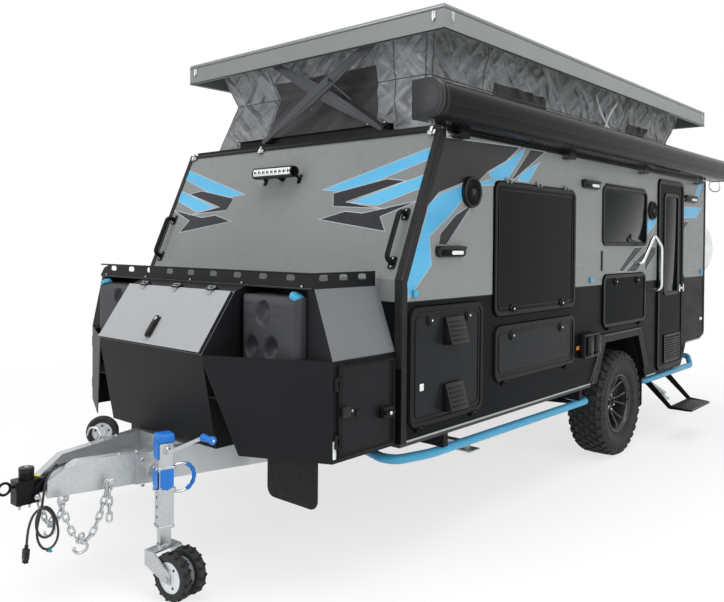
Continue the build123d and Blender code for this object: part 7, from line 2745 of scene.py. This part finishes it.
# ------------------------------------------------------------------------------------ under body
@dataclass
class RoadWheels:
    """Mud-terrain tyres with real lugs, and black spoked rims."""

    x: float = 0.9375
    y: float = 2.745
    z: float = 0.400
    radius: float = 0.400
    half: float = 0.1325
    lugs: int = 34
    spokes: int = 6

    def axle(self, side: Side) -> Place:
        """Axes at the wheel's centre with w pointing out of the caravan."""
        return Place((side.value * self.x, self.y, self.z), (0, 1, 0), (0, 0, side.value),
                     (side.value, 0, 0))

    def lug_row(self, axle: Place, phase: float, axial: float, half: tuple, reach: float, skew: float,
                tip: float = 0.0, taper: float = 0.9) -> Skin:
        """One row of tread blocks.

        Args:
            axle: the wheel's axes.
            phase: share of a pitch by which the row is turned.
            axial: place across the tread.
            half: half sizes around, across and outwards.
            reach: radius of the blocks' middles.
            skew: turn of each block about its own radius.
            tip: lean of the blocks over the shoulder.
            taper: size of each block's top as a share of its foot.

        Returns:
            One skin of all the blocks of the row.
        """
        turn = 2 * pi * (np.arange(self.lugs) + phase) / self.lugs
        centres = axle.at(reach * np.cos(turn), reach * np.sin(turn), axial + 0 * turn)
        radial, around = axle.spokes(turn)
        across = np.broadcast_to(np.array(axle.w, float), radial.shape)
        up = radial * cos(tip) + across * sin(tip)
        flat = across * cos(tip) - radial * sin(tip)
        first = around * cos(skew) + flat * sin(skew)
        second = flat * cos(skew) - around * sin(skew)
        return boxes(centres, np.stack([first, second, up], 1), np.array(half), taper)

    def tyre(self, side: Side) -> None:
        """Carcass, four tread rows, shoulder lugs, side ribs and bead.

        Args:
            side: the side of the caravan it is on.
        """
        axle = self.axle(side)
        name = "left" if side is Side.NEAR else "right"
        profile = ((0.214, 0.098), (0.221, 0.106), (0.236, 0.113), (0.244, 0.1135), (0.262, 0.125),
                   (0.286, 0.1305), (0.312, 0.1315), (0.338, 0.1275), (0.362, 0.118), (0.378, 0.104),
                   (0.386, 0.080), (0.388, 0.040), (0.3885, 0.0))
        mirrored_half = tuple((r, -h) for r, h in profile[-2::-1])
        inner = ((0.214, -0.060), (0.214, 0.060))
        carcass = turned(profile + mirrored_half + inner, axle, 120, caps=False)
        piece = Piece(f"tyre_{name}_dressed", f"wheel_{name}", "tyre")
        piece.add(TYRE_RUBBER, carcass)
        for sign in (-1, 1):
            piece.add(TYRE_RUBBER,
                      self.lug_row(axle, 0.25 * sign, sign * 0.022, (0.0235, 0.0185, 0.0068), 0.3925,
                                   sign * 0.5),
                      self.lug_row(axle, 0.25 * sign + 0.5, sign * 0.064, (0.0225, 0.0190, 0.0075), 0.3905,
                                   -sign * 0.35, sign * 0.06),
                      self.lug_row(axle, 0.25 * sign, sign * 0.1060, (0.0240, 0.0200, 0.0105), 0.3800,
                                   sign * 0.10, sign * 0.50, 0.86),
                      self.lug_row(axle, 0.25 * sign, sign * 0.1245, (0.0195, 0.0175, 0.0050), 0.3500,
                                   0.0, sign * 1.28, 0.84),
                      self.lug_row(axle, 0.25 * sign + 0.5, sign * 0.1215, (0.0120, 0.0120, 0.0050), 0.3600,
                                   0.0, sign * 1.15, 0.8))
            for radius, height in ((0.318, 0.1318), (0.250, 0.1182), (0.234, 0.1125)):
                ring = axle.at(radius * np.cos(np.linspace(0, 2 * pi, 120)[:-1]),
                               radius * np.sin(np.linspace(0, 2 * pi, 120)[:-1]), sign * height)
                piece.add(TYRE_RUBBER, carried(circle(0.0016, 6), ring, axle.w, loop=True))
        count = np.arange(60)
        turn = 2 * pi * count / 60
        for sign in (-1, 1):
            centres = axle.at(0.2265 * np.cos(turn), 0.2265 * np.sin(turn), sign * 0.1095 + 0 * turn)
            radial, around = axle.spokes(turn)
            out = np.broadcast_to(np.array(axle.w) * sign, radial.shape)
            piece.add(TYRE_RUBBER, boxes(centres, np.stack([around, radial, out], 1),
                                         np.array([0.0030, 0.0055, 0.0022]), 0.7))
        piece.make(34, replaces=(f"tyre_{name}",))

    def rim(self, side: Side) -> None:
        """Barrel with rolled flanges, split spokes, hub, cap, nuts and valve.

        Args:
            side: the side of the caravan it is on.
        """
        axle = self.axle(side)
        name = "left" if side is Side.NEAR else "right"
        barrel = ((0.2155, -0.100), (0.2155, 0.094), (0.2170, 0.100), (0.2200, 0.104), (0.2200, 0.109),
                  (0.2140, 0.111), (0.2060, 0.107), (0.2020, 0.096), (0.1950, 0.088), (0.1920, 0.050),
                  (0.1880, -0.060), (0.1980, -0.100), (0.2100, -0.106))
        piece = Piece(f"rim_{name}_dressed", f"wheel_{name}", "rim")
        piece.add(RIM_COAT, turned(barrel, axle, 96, caps=False))
        hub = ((0.0240, -0.054), (0.0730, -0.054), (0.0740, 0.020), (0.0700, 0.034), (0.0560, 0.040),
               (0.0400, 0.038), (0.0360, 0.053), (0.0300, 0.0548), (0.0240, 0.054))
        piece.add(RIM_COAT, turned(hub, axle, 56, caps=False))
        piece.add(GLOSS_BLACK, turned(((0.0250, 0.046), (0.0245, 0.0562), (0.0210, 0.060),
                                       (0.0010, 0.0610)),
                                      axle, 36))
        section = circle(1.0, 14, 0.8)
        t = np.linspace(0, 1, 9)[:, None]
        for k in range(self.spokes):
            for split in (-1, 1):
                turn = 2 * pi * k / self.spokes + split * (0.10 + 0.13 * t)
                reach = 0.058 + (0.196 - 0.058) * t
                height = 0.020 + 0.052 * t ** 1.4
                wide = 0.0155 - 0.0050 * np.sin(pi * t) - 0.002 * t
                deep = 0.0150 - 0.0060 * t
                side_u = -np.sin(turn) * wide * section[:, 0]
                side_v = np.cos(turn) * wide * section[:, 0]
                points = axle.at(reach * np.cos(turn) + side_u, reach * np.sin(turn) + side_v,
                                 height + deep * section[:, 1] / 0.8)
                piece.add(RIM_COAT, grid_skin(points, wrap_v=True, caps=True))
            turn = 2 * pi * (k + 0.5) / self.spokes
            nut = axle.at(0.0555 * cos(turn), 0.0555 * sin(turn), 0.030)
            piece.add(CHROME, bolt_head(nut, axle.w, 0.0105, 0.022))
        for k in range(24):
            turn = 2 * pi * (k + 0.5) / 24
            piece.add(DARK_STEEL, bolt_head(axle.at(0.2105 * cos(turn), 0.2105 * sin(turn), 0.1085), axle.w,
                                            0.0040, 0.0030))
        valve = axle.at(0.185, 0.0, 0.085)
        piece.add(TRIM_RUBBER, straight(valve, axle.at(0.176, 0.0, 0.118), 0.004, 12))
        piece.make(34, replaces=(f"rim_{name}",))

    def build(self) -> None:
        """Tyre and rim on both sides."""
        for side in Side:
            self.tyre(side)
            self.rim(side)


@dataclass
class UnderBody:
    """Brackets on the guard tubes, spring rings, step treads, flap strips and tank straps."""

    def rails(self) -> None:
        """Flanges, bolts and end caps of the blue guard tubes."""
        piece = Piece("rail_brackets", "body", "black_coat")
        for x, y, z in ((0.700, 0.145, 0.553), (0.940, 2.229, 0.540), (0.960, 3.251, 0.540),
                        (0.860, 4.49, 0.610)):
            plate = top_place((x, y, z + 0.030))
            piece.add_mirrored(FRAME_BLACK,
                               slab(round_rect(-0.040, 0.040, -0.030, 0.030, 0.010), plate, 0.006))
            for shift in (-0.026, 0.026):
                piece.add_mirrored(PLATED, bolt_head((x + shift, y, z + 0.0362), (0, 0, 1), 0.008, 0.006))
        piece.make()

    def springs(self) -> None:
        """Air-spring rings and arm bolts."""
        piece = Piece("spring_rings", "body", "black_steel")
        for z in (0.480, 0.505, 0.530, 0.555, 0.580):
            ring = np.array([[0.655 + 0.045 * cos(a), 2.666 + 0.045 * sin(a), z]
                             for a in np.linspace(0, 2 * pi, 40)[:-1]])
            piece.add_mirrored(TRIM_RUBBER, carried(circle(0.0075, 8), ring, (0, 0, 1), loop=True))
        piece.add_mirrored(PLATED, bolt_head((0.7005, 2.215, 0.495), (1, 0, 0), 0.022, 0.012),
                           bolt_head((0.7005, 2.665, 0.415), (1, 0, 0), 0.016, 0.010))
        piece.make()

    def step(self) -> None:
        """Raised grip ribs on the step's plate."""
        top = top_place((0.0, 0.0, 0.280))
        piece = Piece("step_grips", "entry_step", "steel")
        for k in range(7):
            x = 1.198 + k * 0.024
            piece.add(TRIM_RUBBER, slab(round_rect(x - 0.004, x + 0.004, 3.465, 3.895, 0.003, 3), top,
                                        0.003, 0.001))
        piece.make()

    def flaps(self) -> None:
        """Clamp strips along the top of the rubber flaps."""
        piece = Piece("flap_strips", "body", "rubber")
        for y, x0, x1, z in ((-0.303, 0.462, 0.818, 0.600), (3.178, 0.832, 1.053, 0.530)):
            face = end_place((0.0, y, 0.0), -1)
            piece.add_mirrored(FRAME_BLACK,
                               slab(round_rect(x0, x1, z - 0.010, z + 0.012, 0.003, 3), face, 0.003))
            for share in (0.15, 0.5, 0.85):
                x = x0 + (x1 - x0) * share
                piece.add_mirrored(PLATED, bolt_head((x, y - 0.003, z), (0, -1, 0), 0.006, 0.003))
        piece.make()

    def tank(self) -> None:
        """Ribs and straps of the water tank."""
        piece = Piece("tank_straps", "body", "tank")
        for y in (1.25, 1.47, 1.69):
            line = np.array([[-0.446, y, 0.597], [-0.446, y, 0.466], [0.446, y, 0.466], [0.446, y, 0.597]])
            dense = np.concatenate([np.linspace(line[k], line[k + 1],
                                                8)[:-1] for k in range(3)] + [line[-1:]])
            piece.add(PLATED, carried(polygon(((-0.015, -0.0015), (0.015, -0.0015), (0.015, 0.0015),
                                               (-0.015, 0.0015))), dense, (0, 1, 0.001)))
        piece.make()

    def build(self) -> None:
        """Make every small part under the body."""
        self.rails()
        self.springs()
        self.step()
        self.flaps()
        self.tank()


@dataclass
class SpareCovers:
    """Soft vinyl covers over the two spare wheels on the tail, with piping and gathers."""

    x: float = 0.690
    z: float = 1.585
    y0: float = 4.675
    y1: float = 4.920
    radius: float = 0.400

    def build(self) -> None:
        """Each cover is a turned profile whose rear rim is gathered by a fast small wave."""
        piece = Piece("spare_covers", "body", "cover")
        profile = np.array([(0.060, 0.004), (0.300, 0.001), (0.352, 0.010), (0.378, 0.022), (0.392, 0.050),
                            (0.3985, 0.100), (0.3995, 0.160), (0.3960, 0.200), (0.3840, 0.226),
                            (0.3600, 0.240),
                            (0.3100, 0.2445), (0.2000, 0.2425), (0.1000, 0.2440), (0.0200, 0.2450)])
        turn = np.linspace(0, 2 * pi, 240, endpoint=False)
        radius, height = profile[:, :1], profile[:, 1:]
        gather = 0.004 * np.exp(-((height - 0.02) / 0.03) ** 2) * np.sin(52 * turn + 1.5 * np.sin(3 * turn))
        soft = 0.0020 * np.sin(5 * turn + 9 * height) * np.exp(-((height - 0.12) / 0.08) ** 2)
        ripple = radius - 0.003 + gather + soft
        place = Place((self.x, self.y0, self.z), (1, 0, 0), (0, 0, -1), (0, 1, 0))
        cover = grid_skin(place.at(ripple * np.cos(turn), ripple * np.sin(turn), height + 0 * turn),
                          wrap_v=True, caps=True)
        piece.add_mirrored(COVER_VINYL, cover)
        for reach, level in ((0.3835, 0.2265), (0.3120, 0.2455)):
            ring = place.at(reach * np.cos(turn[::2]), reach * np.sin(turn[::2]), level + 0 * turn[::2])
            piece.add_mirrored(CANVAS_DARK, carried(circle(0.0028, 8), ring, (0, 1, 0), loop=True))
        mount = slab(round_rect(-0.088, 0.088, -0.088, 0.088, 0.020),
                     Place((self.x, BODY_LEN, self.z), (1, 0, 0), (0, 0, -1), (0, 1, 0)), 0.0605, 0.004)
        piece.add_mirrored(FRAME_BLACK, mount).make(50, replaces=("spare_wheels",))


# ----------------------------------------------------------------------------------- whole scene
COATS = {"arches": BOX_COAT, "awning": AWNING_COAT, "boot_hatch_left": HATCH_DARK,
         "boot_hatch_right": HATCH_DARK, "box_door_left": BOX_COAT, "box_door_right": BOX_COAT,
         "box_lid": BOX_LID_COAT, "chassis": CHASSIS_COAT, "coupling": FRAME_BLACK, "drawbar": ZINC,
         "entry_door": PANEL_BLACK, "entry_step": FRAME_BLACK, "floor": FLOOR_BOARD, "front_box": BOX_COAT,
         "galley_hatch": GLOSS_BLACK, "grab_handle": CHROME, "jockey_clamp": ZINC, "jockey_fork": ZINC,
         "jockey_tube": PLATED, "lockers": LINING, "lower_hatch": HATCH_DARK, "mud_flaps": TRIM_RUBBER,
         "roof": ROOF_PAINT, "safety_chains": ZINC, "side_rails": RAIL_BLUE, "slope_fittings": FRAME_BLACK,
         "small_hatch": PANEL_BLACK, "suspension": FRAME_BLACK, "top_rim": FRAME_BLACK,
         "tunnel_boot": LINING, "wall_front": BODY_PAINT, "wall_left": BODY_PAINT, "wall_rear": BODY_PAINT,
         "wall_right": BODY_PAINT, "water_tank": TANK_PLASTIC, "windows": GLASS_DARK}
END_COATS = {"steady": ZINC, "arm_low": LIFT_COAT, "arm_high": LIFT_COAT, "strut_tube": FRAME_BLACK,
             "strut_rod": DARK_STEEL}


def dress_cad() -> None:
    """Give each CAD node that stays in view its finish."""
    for name in frame["nodes"]:
        coat = COATS.get(name) or next((c for start, c in END_COATS.items() if name.startswith(start)),
                                       None)
        if coat is None:
            continue
        mesh = frame["nodes"][name].data
        mesh.materials.clear()
        mesh.materials.append(coat.material())
        log.info("%s: %s", name, type(coat).__name__)


def main() -> None:
    """Build the whole scene."""
    logging.basicConfig(level=logging.INFO, format="%(message)s")
    Studio().build()
    TrailerCable().build()
    dress_cad()
    for part in (BodyTrims(), SideHatches(), EntryDoor(), SideWindows(), SideFittings(), SlopeFittings(),
                 LiftRoof(), CanvasWalls(), ScissorLift(), Awning(), FrontBox(), WaterCans(), Coupling(),
                 ChainEnds(), Drawbar(), JockeyWheel(), RoadWheels(), UnderBody(), SpareCovers()):
        part.build()


if __name__ == "__main__":
    main()
